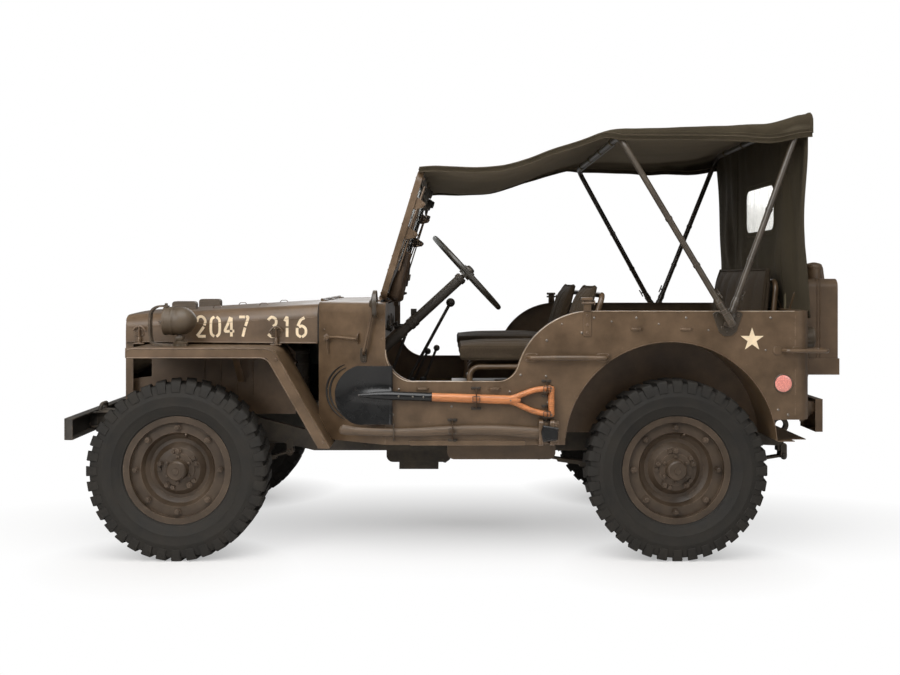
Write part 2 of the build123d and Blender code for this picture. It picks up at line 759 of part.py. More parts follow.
def knuckle(side):
    """Steering knuckle on one side of the car."""
    center = Pos(front_axle_x, side * kingpin_y, axle_z)
    outward = Plane(origin=(front_axle_x, side * backing_y, axle_z), z_dir=(0, side, 0))
    with BuildPart(mode=Mode.PRIVATE) as piece:
        with Locations(center):
            Sphere(cup_outer)
            Sphere(cup_inner, mode=Mode.SUBTRACT)
        add(block((front_axle_x - 90, front_axle_x + 90), (side * (kingpin_y - 20), side * 300), (200, 500)),
            mode=Mode.SUBTRACT)
        add(block((front_axle_x - 90, front_axle_x + 90), (side * (backing_y - backing_plate), side * 700),
                  (200, 500)), mode=Mode.SUBTRACT)
        with BuildSketch(outward):
            Circle(drum_radius + 6)
        extrude(amount=-backing_plate)
        with BuildSketch(outward):
            Circle(spindle_radius)
        extrude(amount=50)
        # Kingpins, above and below, with their caps
        for direction in (-1, 1):
            pin_mid = (cup_outer + 14 + ball_radius - 18) / 2
            with Locations(center * Pos(0, 0, direction * pin_mid)):
                Cylinder(ball_hole, cup_outer + 14 - ball_radius + 18)
            with Locations(center * Pos(0, 0, direction * (cup_outer + 4))):
                Cylinder(26, 18)
        # Steering arm reaching forward
        arm_x = front_axle_x + arm_length
        add(block((front_axle_x + cup_inner + 1, arm_x), (side * (arm_y - 13), side * (arm_y + 13)),
                  (arm_low_z, arm_low_z + arm_thickness)))
        with Locations(Pos(arm_x, side * arm_y, arm_low_z + arm_thickness / 2)):
            Cylinder(rod_eye, arm_thickness)
        with Locations(Pos(arm_x, side * arm_y, arm_low_z + arm_thickness + 12)):
            Cylinder(tie_pin, 25)
    return piece.part


with BuildPart() as knuckle_left:
    add(knuckle(1))
save(knuckle_left, "knuckle_left")

with BuildPart() as knuckle_right:
    add(knuckle(-1))
save(knuckle_right, "knuckle_right")

with BuildPart() as tie_rod:
    tie_x = front_axle_x + arm_length
    with Locations(Location((tie_x, 0, tie_z), (90, 0, 0))):
        Cylinder(11, 2 * arm_y)
    for side in (-1, 1):
        with Locations(Pos(tie_x, side * arm_y, tie_z)):
            Cylinder(rod_eye, 24)
    for side in (-1, 1):
        with Locations(Pos(tie_x, side * arm_y, tie_z)):
            Cylinder(tie_pin + pin_gap, 40, mode=Mode.SUBTRACT)
save(tie_rod, "tie_rod")

# Leaf springs: each leaf is a strip between two concentric arcs, shorter towards the bottom
leaf_shares = [1.0, 0.84, 0.66, 0.48, 0.3]


def spring(station, half, eye_z):
    """One spring, seen from the side, pressed against the axle from below."""
    sag = eye_z - spring_saddle_z
    arc_radius = (half**2 + sag**2) / (2 * sag)
    center_z = spring_saddle_z + arc_radius
    full = math.asin(half / arc_radius)
    with BuildPart(mode=Mode.PRIVATE) as piece:
        with BuildSketch(Plane.XZ.offset(-spring_y - spring_width / 2)):
            for index, share in enumerate(leaf_shares):
                low = arc_radius + (index + 1) * leaf
                high = arc_radius + index * leaf
                angle = full * share
                with BuildLine():
                    corner = [
                        (behind(station) + sign * radius * math.sin(angle),
                         center_z - radius * math.cos(angle))
                        for radius in (low, high) for sign in (-1, 1)
                    ]
                    ThreePointArc(corner[0], (behind(station), center_z - low), corner[1])
                    Line(corner[1], corner[3])
                    ThreePointArc(corner[3], (behind(station), center_z - high), corner[2])
                    Line(corner[2], corner[0])
                make_face()
            with Locations((behind(station - half), eye_z), (behind(station + half), eye_z)):
                Circle(eye_radius)
        extrude(amount=spring_width)
        # Clamp plate under the axle
        stack = len(leaf_shares) * leaf
        add(block((behind(station - 48), behind(station + 48)),
                  (spring_y - spring_width / 2 - 8, spring_y + spring_width / 2 + 8),
                  (spring_saddle_z - stack - 9, spring_saddle_z - stack + 1)))
    return piece.part


with BuildPart() as leaf_springs:
    add(spring(0.0, spring_half["front"], spring_eye_z["front"]))
    add(spring(wheelbase, spring_half["rear"], spring_eye_z["rear"]))
    mirror(about=Plane.XZ)
save(leaf_springs, "leaf_springs")

# Drive shafts from the transfer case to both axles
shaft_front_x = front_axle_x - pinion_reach
shaft_rear_x = rear_axle_x + pinion_reach
with BuildPart() as drive_shafts:
    for start, finish in (
        ((shaft_front_x, driveline_y, axle_z), (behind(822), driveline_y, shaft_z)),
        ((shaft_rear_x, driveline_y, axle_z), (behind(1118), driveline_y, shaft_z)),
    ):
        add(tube([start, finish], radius=24, bend=1))
    for x in (behind(822), behind(1118) - 10, shaft_front_x - 12, shaft_rear_x):
        z = shaft_z if abs(x) < 400 else axle_z
        with BuildSketch(Plane(origin=(x, driveline_y, z), z_dir=(1, 0, 0))):
            Circle(44)
        extrude(amount=10)
    for cutter in (
        block((shaft_front_x, shaft_front_x + 30), (-300, -100), (300, 450)),
        block((shaft_rear_x, shaft_rear_x - 30), (-300, -100), (300, 450)),
        block((behind(822), behind(822) - 30), (-300, -100), (300, 450)),
        block((behind(1118), behind(1118) + 30), (-300, -100), (300, 450)),
    ):
        add(cutter, mode=Mode.SUBTRACT)
save(drive_shafts, "drive_shafts")

# Wheel: split combat rim with a bolted ring, dished disc, drum and hub. Local axis +Z outward.
hub_bore = spindle_radius + pin_gap
wheel_profile = [
    (hub_bore, -55), (drum_radius, -55), (drum_radius, -12), (150, 8), (160, 30),
    (rim_seat_radius - 6, 26), (rim_seat_radius - 6, -rim_half_width),
    (rim_flange_radius, -rim_half_width), (rim_flange_radius, -rim_half_width + 5),
    (rim_seat_radius, -rim_half_width + 5), (rim_seat_radius, rim_half_width - 5),
    (rim_flange_radius, rim_half_width - 5), (rim_flange_radius, rim_half_width),
    (rim_seat_radius - 8, rim_half_width), (rim_seat_radius - 8, 36), (152, 38),
    (140, 14), (122, 2), (108, 4), (88, 26), (66, 30), (66, 36), (44, 38),
    (40, 74), (34, 80), (hub_bore, 80),
]
ring_bolts = 8
ring_bolt_circle = 172.0
lug_nuts = 5
lug_circle = 77.0
with BuildPart() as wheel_master:
    with BuildSketch(Plane.XZ):
        Polygon(*wheel_profile, align=None)
    revolve(axis=Axis.Z)
    with Locations((0, 0, 40)):
        Cylinder(hub_bore + 2, 80)
    with PolarLocations(ring_bolt_circle, ring_bolts):
        with Locations((0, 0, 40)):
            Cylinder(9, 14)
    with PolarLocations(lug_circle, lug_nuts):
        with Locations((0, 0, 30)):
            Cylinder(8, 20)

# Tyre: tall sidewalls and a squared shoulder, out to the tips of its lugs
tyre_half = tyre_width / 2
tread_half = 74.0
bulge_radius = 307.0
with BuildPart() as tyre_master:
    with BuildSketch(Plane.XZ):
        with BuildLine():
            Line((rim_seat_radius + seat_gap, -rim_half_width + 5 + seat_gap),
                 (rim_seat_radius + seat_gap, rim_half_width - 5 - seat_gap))
            Line((rim_seat_radius + seat_gap, rim_half_width - 5 - seat_gap),
                 (rim_flange_radius + 2, rim_half_width - 5 - seat_gap))
            ThreePointArc((rim_flange_radius + 2, rim_half_width - 5 - seat_gap), (bulge_radius, tyre_half),
                          (tyre_radius - 26, tread_half + 4))
            Polyline((tyre_radius - 26, tread_half + 4), (tyre_radius - 4, tread_half),
                     (tyre_radius, tread_half - 16), (tyre_radius, -tread_half + 16),
                     (tyre_radius - 4, -tread_half), (tyre_radius - 26, -tread_half - 4))
            ThreePointArc((tyre_radius - 26, -tread_half - 4), (bulge_radius, -tyre_half),
                          (rim_flange_radius + 2, -rim_half_width + 5 + seat_gap))
            Line((rim_flange_radius + 2, -rim_half_width + 5 + seat_gap),
                 (rim_seat_radius + seat_gap, -rim_half_width + 5 + seat_gap))
        make_face()
    revolve(axis=Axis.Z)

spare_y = -(body_half_width - 357.0)
spare_z = 862.0
spare_x = behind(tail + spare_gap + tyre_width / 2)
# Where each wheel stands: name, centre, outward direction
wheel_places = [
    ("front_left", (front_axle_x, wheel_y, axle_z), (0, 1, 0)),
    ("front_right", (front_axle_x, -wheel_y, axle_z), (0, -1, 0)),
    ("rear_left", (rear_axle_x, wheel_y, axle_z), (0, 1, 0)),
    ("rear_right", (rear_axle_x, -wheel_y, axle_z), (0, -1, 0)),
]
for place, centre, outward in wheel_places:
    stand = Plane(origin=centre, x_dir=(1, 0, 0), z_dir=outward)
    with BuildPart() as wheel:
        add(stand.location * wheel_master.part)
    save(wheel, f"wheel_{place}")
    with BuildPart() as tyre:
        add(stand.location * tyre_master.part)
    save(tyre, f"tyre_{place}")

# Spare wheel: rim without drum, on a carrier of three arms
spare_stand = Plane(origin=(spare_x, spare_y, spare_z), x_dir=(0, 1, 0), z_dir=(-1, 0, 0))
with BuildPart() as spare_master:
    with BuildSketch(Plane.XZ):
        Polygon(
            (62, 22), (108, 0), (122, -4), (140, 8), (160, 28),
            (rim_seat_radius - 6, 26), (rim_seat_radius - 6, -rim_half_width),
            (rim_flange_radius, -rim_half_width), (rim_flange_radius, -rim_half_width + 5),
            (rim_seat_radius, -rim_half_width + 5), (rim_seat_radius, rim_half_width - 5),
            (rim_flange_radius, rim_half_width - 5), (rim_flange_radius, rim_half_width),
            (rim_seat_radius - 8, rim_half_width), (rim_seat_radius - 8, 36), (152, 38),
            (140, 14), (122, 2), (108, 6), (62, 28), align=None,
        )
    revolve(axis=Axis.Z)
    with PolarLocations(ring_bolt_circle, ring_bolts):
        with Locations((0, 0, 40)):
            Cylinder(9, 14)
with BuildPart() as spare_wheel:
    add(spare_stand.location * spare_master.part)
save(spare_wheel, "spare_wheel")
with BuildPart() as spare_tyre:
    add(spare_stand.location * tyre_master.part)
save(spare_tyre, "spare_tyre")

# Rear fittings: spare carrier, can holder, bumperettes and towing hook
can_y = (body_half_width - 517.0, body_half_width - 173.0)
can_low_z = 752.0
can_depth = 160.0
holder_gap = 8.0
holder_wall = 4.0
bumperette_y = body_half_width - 209.0
bumperette_z = (515.0, 650.0)
bumperette_reach = 84.0
hook_z = 462.0
tail_x = behind(tail)
with BuildPart() as rear_fittings:
    # Carrier: plate on the panel, boss through the wheel's centre
    add(block((tail_x, tail_x - 6), (spare_y - 150, spare_y + 150), (spare_z - 70, spare_z + 70)))
    boss_reach = spare_gap + tyre_width / 2 + 36
    with Locations(Location((tail_x - boss_reach / 2, spare_y, spare_z), (0, 90, 0))):
        Cylinder(62 - seat_gap, boss_reach)
    with Locations(Location((spare_x - 28 - seat_gap - 5, spare_y, spare_z), (0, 90, 0))):
        Cylinder(80, 10)
with BuildPart() as can_holder:
    can_x = (tail_x - holder_gap, tail_x - holder_gap - can_depth)
    outer = (holder_gap + can_depth + 2 * seat_gap + holder_wall)
    add(block((tail_x, tail_x - outer), (can_y[0] - 6, can_y[1] + 6), (can_low_z - 6, can_low_z + 62)))
    add(block((tail_x - holder_gap + seat_gap, tail_x - outer + holder_wall),
              (can_y[0] - seat_gap, can_y[1] + seat_gap), (can_low_z - seat_gap, can_low_z + 90)),
        mode=Mode.SUBTRACT)
save(can_holder, "can_holder")

with BuildPart() as rear_fittings_all:
    add(rear_fittings.part)
    # Bumperettes: a pressed channel on two arms each side
    for side in (-1, 1):
        y_span = (side * (bumperette_y - 95), side * (bumperette_y + 95))
        inner_span = (side * (bumperette_y - 95 + sheet), side * (bumperette_y + 95 - sheet))
        face_x = tail_x - bumperette_reach
        add(block((face_x + 30, face_x), y_span, bumperette_z))
        add(block((face_x + 31, face_x + sheet), inner_span, (bumperette_z[0] + sheet, bumperette_z[1] - sheet)),
            mode=Mode.SUBTRACT)
        for y in (side * (bumperette_y - 60), side * (bumperette_y + 60)):
            add(block((tail_x, face_x + sheet), (y - 16, y + 16), (598, 638)))
save(rear_fittings_all, "rear_fittings")

with BuildPart() as tow_hook:
    add(block((tail_x, tail_x - 12), (-60, 60), (hook_z - 55, hook_z + 45)))
    with Locations(Location((tail_x - 36, 0, hook_z), (0, 90, 0))):
        Cylinder(18, 50)
    with BuildSketch(Plane.XZ.offset(-14)):
        with Locations((tail_x - 95, hook_z)):
            Circle(40)
            Circle(22, mode=Mode.SUBTRACT)
        with Locations((tail_x - 95, hook_z + 42)):
            Rectangle(16, 16, mode=Mode.SUBTRACT)
    extrude(amount=28)
save(tow_hook, "tow_hook")

# Jerry can with three handles and its spout
with BuildPart() as jerry_can:
    add(block(can_x, can_y, (can_low_z, can_low_z + 395)))
    fillet(jerry_can.edges().filter_by(Axis.X), radius=34)
    can_mid_y = sum(can_y) / 2
    can_mid_x = sum(can_x) / 2
    for offset_x in (-48, 0, 48):
        add(tube([(can_mid_x + offset_x, can_mid_y - 75, can_low_z + 390),
                  (can_mid_x + offset_x, can_mid_y - 55, can_low_z + 446),
                  (can_mid_x + offset_x, can_mid_y + 55, can_low_z + 446),
                  (can_mid_x + offset_x, can_mid_y + 75, can_low_z + 390)], radius=10, bend=18))
    with Locations(Pos(can_mid_x, can_y[1] - 62, can_low_z + 412)):
        Cylinder(28, 60)
save(jerry_can, "jerry_can")

# Windshield: raked frame with two panes, on brackets at the cowl top
rake = math.radians(17.0)
windshield_foot = 829.0
windshield_half = body_half_width - 111.0
windshield_height = 560.0
pane_low = 172.0
pane_top = 522.0
pane_gap = 22.0
pane_edge = 42.0
screen_plane = Plane(
    origin=(behind(windshield_foot), 0, cowl_z + 6),
    x_dir=(0, 1, 0),
    z_dir=(math.cos(rake), 0, math.sin(rake)),
)
frame_depth = 26.0
pane_mid = (pane_low + pane_top) / 2
pane_width = windshield_half - pane_edge - pane_gap
pane_mid_y = pane_gap + pane_width / 2
with BuildPart() as windshield_frame:
    with BuildSketch(screen_plane):
        with Locations((0, 5 + windshield_height / 2)):
            RectangleRounded(2 * windshield_half, windshield_height - 10, 45)
    extrude(amount=frame_depth / 2, both=True)
    with BuildSketch(screen_plane):
        with Locations((-pane_mid_y, pane_mid), (pane_mid_y, pane_mid)):
            RectangleRounded(pane_width, pane_top - pane_low, 18)
    extrude(amount=frame_depth, both=True, mode=Mode.SUBTRACT)
    # The lower panel is one thin sheet inside the frame
    for direction in (-1, 1):
        with BuildSketch(screen_plane.offset(direction * 2.0)):
            with Locations((0, 90)):
                Rectangle(2 * windshield_half - 80, 110)
        extrude(amount=direction * frame_depth, mode=Mode.SUBTRACT)
    for side in (-1, 1):
        add(block((behind(windshield_foot) - 18, behind(windshield_foot) + 18),
                  (side * 430, side * 480), (cowl_z, cowl_z + 24)))
save(windshield_frame, "windshield_frame")

with BuildPart() as windshield_glass:
    with BuildSketch(screen_plane):
        with Locations((-pane_mid_y, pane_mid), (pane_mid_y, pane_mid)):
            RectangleRounded(pane_width, pane_top - pane_low, 18)
    extrude(amount=2.5, both=True)
save(windshield_glass, "windshield_glass")

# Top bows: two bent tubes on one pivot at each side of the tub
pivot_station = wheelbase + 194.0
pivot_z = 975.0
bow_radius = 12.5
front_bow_top = (wheelbase - 233.0, 1727.0)
rear_bow_top = (tail - 25.0, 1795.0)
bow_corner = 60.0


def bow(top, foot_y, top_y):
    """Bent tube from one pivot over the cabin to the other."""
    top_x = behind(top[0])
    return tube(
        [(behind(pivot_station), foot_y, pivot_z), (top_x, top_y, top[1]),
         (top_x, -top_y, top[1]), (behind(pivot_station), -foot_y, pivot_z)],
        radius=bow_radius, bend=bow_corner,
    )


bow_outer_y = body_half_width + 46.0
bow_inner_y = body_half_width + 18.0
with BuildPart() as top_bows:
    add(bow(front_bow_top, bow_outer_y, bow_outer_y - 91.0))
    add(bow(rear_bow_top, bow_inner_y, bow_inner_y - 67.0))
    for side in (-1, 1):
        with Locations(Location((behind(pivot_station), side * (body_half_width + 29), pivot_z), (90, 0, 0))):
            Cylinder(9, 58)
save(top_bows, "top_bows")

# Canopy: one sheet that sags from the windshield to the front bow and runs back over the rear bow
canopy_half = body_half_width - 17.0
canopy_front = (985.0, 1607.0)
canopy_rear = (tail + 8.0, 1831.0)
hem_drop = 62.0
bow_clear = bow_radius + seat_gap
canopy_line = [
    canopy_front,
    (1240.0, 1598.0),
    (front_bow_top[0] - 239.0, 1690.0),
    (front_bow_top[0] + 6, front_bow_top[1] + bow_clear + canvas + 2),
    (pivot_station - 26.0, 1752.0),
    (rear_bow_top[0] - 110, 1782.0),
    canopy_rear,
]
with BuildPart() as canopy:
    with BuildSketch(Plane.XZ.offset(-canopy_half)):
        Polygon(
            *[(behind(station), z) for station, z in canopy_line],
            *[(behind(station), z - canvas) for station, z in reversed(canopy_line)],
            align=None,
        )
    extrude(amount=2 * canopy_half)
    hem_line = canopy_line[3:]
    with BuildSketch(Plane.XZ.offset(-canopy_half)):
        Polygon(
            *[(behind(station), z - 1) for station, z in hem_line],
            *[(behind(station), z - hem_drop) for station, z in reversed(hem_line)],
            align=None,
        )
    extrude(amount=canvas)
    with BuildSketch(Plane.XZ.offset(canopy_half - canvas)):
        Polygon(
            *[(behind(station), z - 1) for station, z in hem_line],
            *[(behind(station), z - hem_drop) for station, z in reversed(hem_line)],
            align=None,
        )
    extrude(amount=canvas)
save(canopy, "canopy")

# Rear curtain with its rounded window
curtain_half = canopy_half - 12.0
window_width = 440.0
window_low_z = 1366.0
window_top_z = 1573.0
curtain_inner = tail + seat_gap
curtain_foot_z = rim_z - 28.0


def canopy_under(station):
    """Height of the canopy's underside over the rear panel."""
    (low_at, low_z), (high_at, high_z) = canopy_line[-2:]
    return low_z + (high_z - low_z) * (station - low_at) / (high_at - low_at) - canvas - seat_gap


with BuildPart() as rear_curtain:
    with BuildSketch(Plane.XZ.offset(-curtain_half)):
        Polygon(
            (behind(curtain_inner), canopy_under(curtain_inner)),
            (behind(curtain_inner + canvas), canopy_under(curtain_inner + canvas)),
            (behind(curtain_inner + canvas), curtain_foot_z),
            (behind(curtain_inner), curtain_foot_z),
            align=None,
        )
    extrude(amount=2 * curtain_half)
    with BuildSketch(Plane(origin=(behind(3000), 0, 0), x_dir=(0, 1, 0), z_dir=(1, 0, 0))):
        with Locations((0, (window_low_z + window_top_z) / 2)):
            RectangleRounded(window_width, window_top_z - window_low_z, 45)
    extrude(amount=800, mode=Mode.SUBTRACT)
save(rear_curtain, "rear_curtain")

# Seats: tube frames with soft cushions and backs
tube_radius = 12.0
seat_half = 205.0
back_foot = 1600.0
cushion_x = (1149.0, back_foot - seat_gap)
seat_leg = cushion_x[1] - 54.7
cushion_z = (790.0, 885.0)
back_head = 1690.0
back_z = (850.0, 1118.0)
back_thickness = 62.0


def back_line(z):
    """Station of the frame tube behind the leaning back at a height."""
    slope = (back_head - back_foot) / (back_z[1] - back_z[0])
    clear = (tube_radius + seat_gap) * math.sqrt(1 + slope**2)
    return back_foot + back_thickness + (z - back_z[0]) * slope + clear


def seat_pads(center_y):
    """Cushion and leaning back of a front seat."""
    with BuildPart(mode=Mode.PRIVATE) as pads:
        add(block((behind(cushion_x[0]), behind(cushion_x[1])),
                  (center_y - seat_half, center_y + seat_half), cushion_z))
        fillet(pads.edges().group_by(Axis.Z)[-1], radius=26)
        with BuildSketch(Plane.XZ.offset(-center_y - seat_half)):
            Polygon(
                (behind(back_foot), back_z[0]), (behind(back_head), back_z[1]),
                (behind(back_head + back_thickness), back_z[1]),
                (behind(back_foot + back_thickness), back_z[0]), align=None,
            )
        extrude(amount=2 * seat_half)
    return pads.part


def seat_frame(center_y, foot_z, pivots):
    """One bent tube from foot to foot round cushion and back, with rear legs and a cross rod."""
    rail_z = cushion_z[0] - tube_radius - seat_gap
    high_z = back_z[1] - 40
    front_foot_z = foot_z if pivots else foot_z - tube_radius
    half = seat_half - 28
    route = []
    for side in (-1, 1):
        run = [
            (behind(cushion_x[0] + 45), center_y + side * half, front_foot_z),
            (behind(cushion_x[0] + 45), center_y + side * half, rail_z),
            (behind(back_line(rail_z)), center_y + side * half, rail_z),
            (behind(back_line(high_z)), center_y + side * half, high_z),
        ]
        route += run if side < 0 else reversed(run)
    with BuildPart(mode=Mode.PRIVATE) as tubes:
        add(tube(route, radius=tube_radius, bend=42))
        for side in (-1, 1):
            y = center_y + side * half
            add(tube([(behind(seat_leg), y, rail_z), (behind(seat_leg), y, foot_z - tube_radius)],
                     radius=tube_radius - 2, bend=1))
        cross_z = foot_z if pivots else rail_z - 60
        add(tube([(behind(cushion_x[0] + 45), center_y - half, cross_z),
                  (behind(cushion_x[0] + 45), center_y + half, cross_z)],
                 radius=tube_radius - 2, bend=1))
    return tubes.part


foot_z = floor_top + tube_radius + seat_gap
driver_seat_y = driver_y + 15.0
passenger_seat_y = -driver_seat_y
rear_half = 430.0
rear_cushion_x = (wheelbase - 2.0, wheelbase + 408.0)
rear_cushion_z = (745.0, 850.0)
rear_back_foot = wheelbase + 393.0
rear_back_head = rear_back_foot + 30.0
rear_back_z = (865.0, 1195.0)
with BuildPart() as driver_seat_frame:
    add(seat_frame(driver_seat_y, foot_z, False))
save(driver_seat_frame, "driver_seat_frame")

with BuildPart() as passenger_seat_frame:
    add(seat_frame(passenger_seat_y, foot_z, True))
save(passenger_seat_frame, "passenger_seat_frame")

with BuildPart() as passenger_seat_pads:
    add(seat_pads(passenger_seat_y))
save(passenger_seat_pads, "passenger_seat_pads")

with BuildPart() as rear_cushion:
    add(block((behind(rear_cushion_x[0]), behind(rear_cushion_x[1])), (-rear_half, rear_half), rear_cushion_z))
    fillet(rear_cushion.edges().group_by(Axis.Z)[-1], radius=26)
with BuildPart() as seat_pads_fixed:
    add(seat_pads(driver_seat_y))
    add(rear_cushion.part)
    with BuildSketch(Plane.XZ.offset(-rear_half)):
        Polygon(
            (behind(rear_back_foot), rear_back_z[0]), (behind(rear_back_head), rear_back_z[1]),
            (behind(rear_back_head + back_thickness), rear_back_z[1]),
            (behind(rear_back_foot + back_thickness), rear_back_z[0]), align=None,
        )
    extrude(amount=2 * rear_half)
save(seat_pads_fixed, "seat_pads")

with BuildPart() as rear_seat_frame:
    rear_rail_z = rear_cushion_z[0] - tube_radius - seat_gap
    back_tube = back_thickness + tube_radius + seat_gap
    back_slope = (rear_back_head - rear_back_foot) / (rear_back_z[1] - rear_back_z[0])
    rear_low = rear_back_foot + back_tube + (rear_rail_z - rear_back_z[0]) * back_slope + 0.1
    rear_high = rear_back_head + back_tube - 60 * back_slope + 0.1
    for side in (-1, 1):
        y = side * (rear_half - 30)
        add(tube(
            [(behind(rear_cushion_x[0] + 60), y, foot_z - tube_radius),
             (behind(rear_cushion_x[0] + 60), y, rear_rail_z),
             (behind(rear_low), y, rear_rail_z),
             (behind(rear_low), y, foot_z - tube_radius)],
            radius=tube_radius, bend=40,
        ))
    add(tube(
        [(behind(rear_low), -rear_half + 30, rear_rail_z), (behind(rear_high), -rear_half + 30, rear_back_z[1] - 60),
         (behind(rear_high), rear_half - 30, rear_back_z[1] - 60), (behind(rear_low), rear_half - 30, rear_rail_z)],
        radius=tube_radius, bend=45,
    ))
    add(tube([(behind(rear_cushion_x[0] + 60), -rear_half + 30, rear_rail_z),
              (behind(rear_cushion_x[0] + 60), rear_half - 30, rear_rail_z)], radius=tube_radius, bend=1))
save(rear_seat_frame, "rear_seat_frame")

# Steering column with its box on the rail, and the three-spoke wheel
shaft_radius = 10.0
hub_radius = 28.0
hub_half = 20.0
rim_thickness = 11.0
with BuildPart() as steering_column:
    with BuildSketch(column_plane.offset(hub_half + run_gap)):
        Circle(column_radius)
    extrude(amount=column_length - hub_half - run_gap)
    with BuildSketch(column_plane.offset(-hub_half + 8)):
        Circle(shaft_radius)
    extrude(amount=2 * hub_half + run_gap)
    add(block((behind(column_foot - 34), behind(cowl_front - 2)), (driver_y - 32, driver_y + 32),
              (rail_top_z + seat_gap, column_foot_z + 10.4)))
save(steering_column, "steering_column")

with BuildPart() as steering_wheel:
    with BuildSketch(column_plane.offset(-hub_half)):
        Circle(hub_radius)
    extrude(amount=2 * hub_half)
    with Locations(column_plane.location):
        Torus(steering_wheel_radius - rim_thickness, rim_thickness)
    with BuildSketch(column_plane.offset(-4)):
        with PolarLocations(0, 3, start_angle=90):
            Rectangle(steering_wheel_radius - rim_thickness, 22, align=(Align.MIN, Align.CENTER))
    extrude(amount=8)
    with BuildSketch(column_plane.offset(-hub_half + 6)):
        Circle(shaft_radius + pin_gap)
    extrude(amount=3 * hub_half, mode=Mode.SUBTRACT)
save(steering_wheel, "steering_wheel")

# Gear lever and the two transfer levers on the gearbox cover
lever_foot_z = 640.0 + seat_gap
# Foot station, head station, side, head height, rod radius, knob radius
lever_rows = [
    (905.0, 1116.0, 10.0, 1035.0, 7.5, 21.0),
    (935.0, 1008.0, -60.0, 802.0, 6.0, 15.0),
    (985.0, 1050.0, -100.0, 815.0, 6.0, 15.0),
]
with BuildPart() as levers:
    for foot_at, head_at, y, head_z, rod, knob in lever_rows:
        add(tube([(behind(foot_at), y, lever_foot_z + 8), (behind(head_at), y, head_z)], radius=rod, bend=1))
        with Locations(Pos(behind(head_at), y, head_z)):
            Sphere(knob)
        with Locations(Pos(behind(foot_at), y, lever_foot_z + 9)):
            Cylinder(rod * 2.6, 18)
save(levers, "levers")

# Shovel on the left side, its blade beside the flared cowl
tool_shaft = 17.0
shovel_y = body_half_width + seat_gap + tool_shaft
shovel_z = 680.0
blade_front = 648.0
blade_rear = 880.0
blade_half = 118.0
socket_rear = 1034.0
shaft_rear = 1372.0
grip_station = 1518.0
grip_half = 52.0
with BuildPart() as shovel:
    with BuildSketch(Plane.XZ.offset(-shovel_y + 2)):
        with BuildLine():
            Polyline((behind(blade_front + 90), shovel_z + blade_half), (behind(blade_rear), shovel_z + blade_half),
                     (behind(blade_rear), shovel_z - blade_half), (behind(blade_front + 90), shovel_z - blade_half))
            ThreePointArc((behind(blade_front + 90), shovel_z - blade_half), (behind(blade_front), shovel_z),
                          (behind(blade_front + 90), shovel_z + blade_half))
        make_face()
    extrude(amount=-4)
    fillet(shovel.edges().filter_by(Axis.Y).group_by(Axis.X)[0], radius=40)
    add(tube([(behind(blade_rear - 60), shovel_y, shovel_z), (behind(shaft_rear), shovel_y, shovel_z)],
             radius=tool_shaft, bend=1))
    for side in (-1, 1):
        add(tube([(behind(shaft_rear - 30), shovel_y, shovel_z + side * 4),
                  (behind(shaft_rear + 70), shovel_y, shovel_z + side * 30),
                  (behind(grip_station), shovel_y, shovel_z + side * grip_half)], radius=11, bend=60))
    add(tube([(behind(grip_station), shovel_y, shovel_z - grip_half - 8),
              (behind(grip_station), shovel_y, shovel_z + grip_half + 8)], radius=14, bend=1))
save(shovel, "shovel")

# Axe below the shovel, its head in a clamp by the step
axe_z = 532.0
with BuildPart() as axe:
    axe_y = body_half_width + seat_gap + 15
    add(tube([(behind(674), axe_y, axe_z + 7), (behind(930), axe_y, axe_z - 3),
              (behind(1210), axe_y, axe_z - 3), (behind(1482), axe_y, axe_z + 6)], radius=15, bend=900))
    add(block((behind(1474), behind(1546)), (axe_y - 15, axe_y + 15), (axe_z - 46, axe_z + 42)))
save(axe, "axe")

# Grab handles on the tub and the driver's mirror on its arm
bar = 8.0
bar_front = 1422.0
bar_run = 324.0
bar_y = body_half_width + 26.0
with BuildPart() as grab_handles:
    for side in (-1, 1):
        add(tube([(behind(bar_front), side * body_half_width, 830), (behind(bar_front + 12), side * bar_y, 830),
                  (behind(bar_front + bar_run - 12), side * bar_y, 830),
                  (behind(bar_front + bar_run), side * body_half_width, 830)],
                 radius=bar, bend=16))
        add(tube([(behind(tail - 115), side * body_half_width, 858), (behind(tail - 103), side * bar_y, 858),
                  (tail_x - 58, side * bar_y, 858), (tail_x - 58, side * (body_half_width - 61), 858),
                  (tail_x, side * (body_half_width - 67), 858)],
                 radius=bar, bend=16))
    shells = block((behind(1300), behind(tail + 235)), (-body_half_width, body_half_width), (800, 900))
    add(shells & block((tail_x, behind(1300)), (-800, 800), (700, 1000)), mode=Mode.SUBTRACT)
save(grab_handles, "grab_handles")

mirror_station = 807.0
mirror_y = body_half_width - 7.0
mirror_z = 1046.0
mirror_radius = 54.0
mirror_foot = 760.0
cowl_half_there = cowl_front_half + (body_half_width - cowl_front_half) * (mirror_foot - cowl_front) / (
    cowl_rear - cowl_front
)
with BuildPart() as mirror_arm:
    with Locations(Location((behind(mirror_station), mirror_y, mirror_z), (0, 90, 0))):
        Cylinder(mirror_radius, 14)
    add(tube([(behind(mirror_foot), cowl_half_there - 2, 836), (behind(mirror_foot), cowl_half_there + 30, 850),
              (behind(mirror_station - 8), mirror_y, mirror_z - 20)], radius=6, bend=14))
    add(cowl_shape.part, mode=Mode.SUBTRACT)
save(mirror_arm, "mirror")

# Bag hanging on the windshield frame in front of the driver
with BuildPart() as hanging_bag:
    with BuildSketch(screen_plane.offset(-frame_depth / 2 - seat_gap)):
        with Locations((495, 130)):
            RectangleRounded(200, 215, 30)
    extrude(amount=-62)
save(hanging_bag, "hanging_bag")
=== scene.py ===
import logging
import math
from dataclasses import dataclass, field
from enum import IntEnum

import bmesh
import bpy
from mathutils import Matrix, Vector, noise


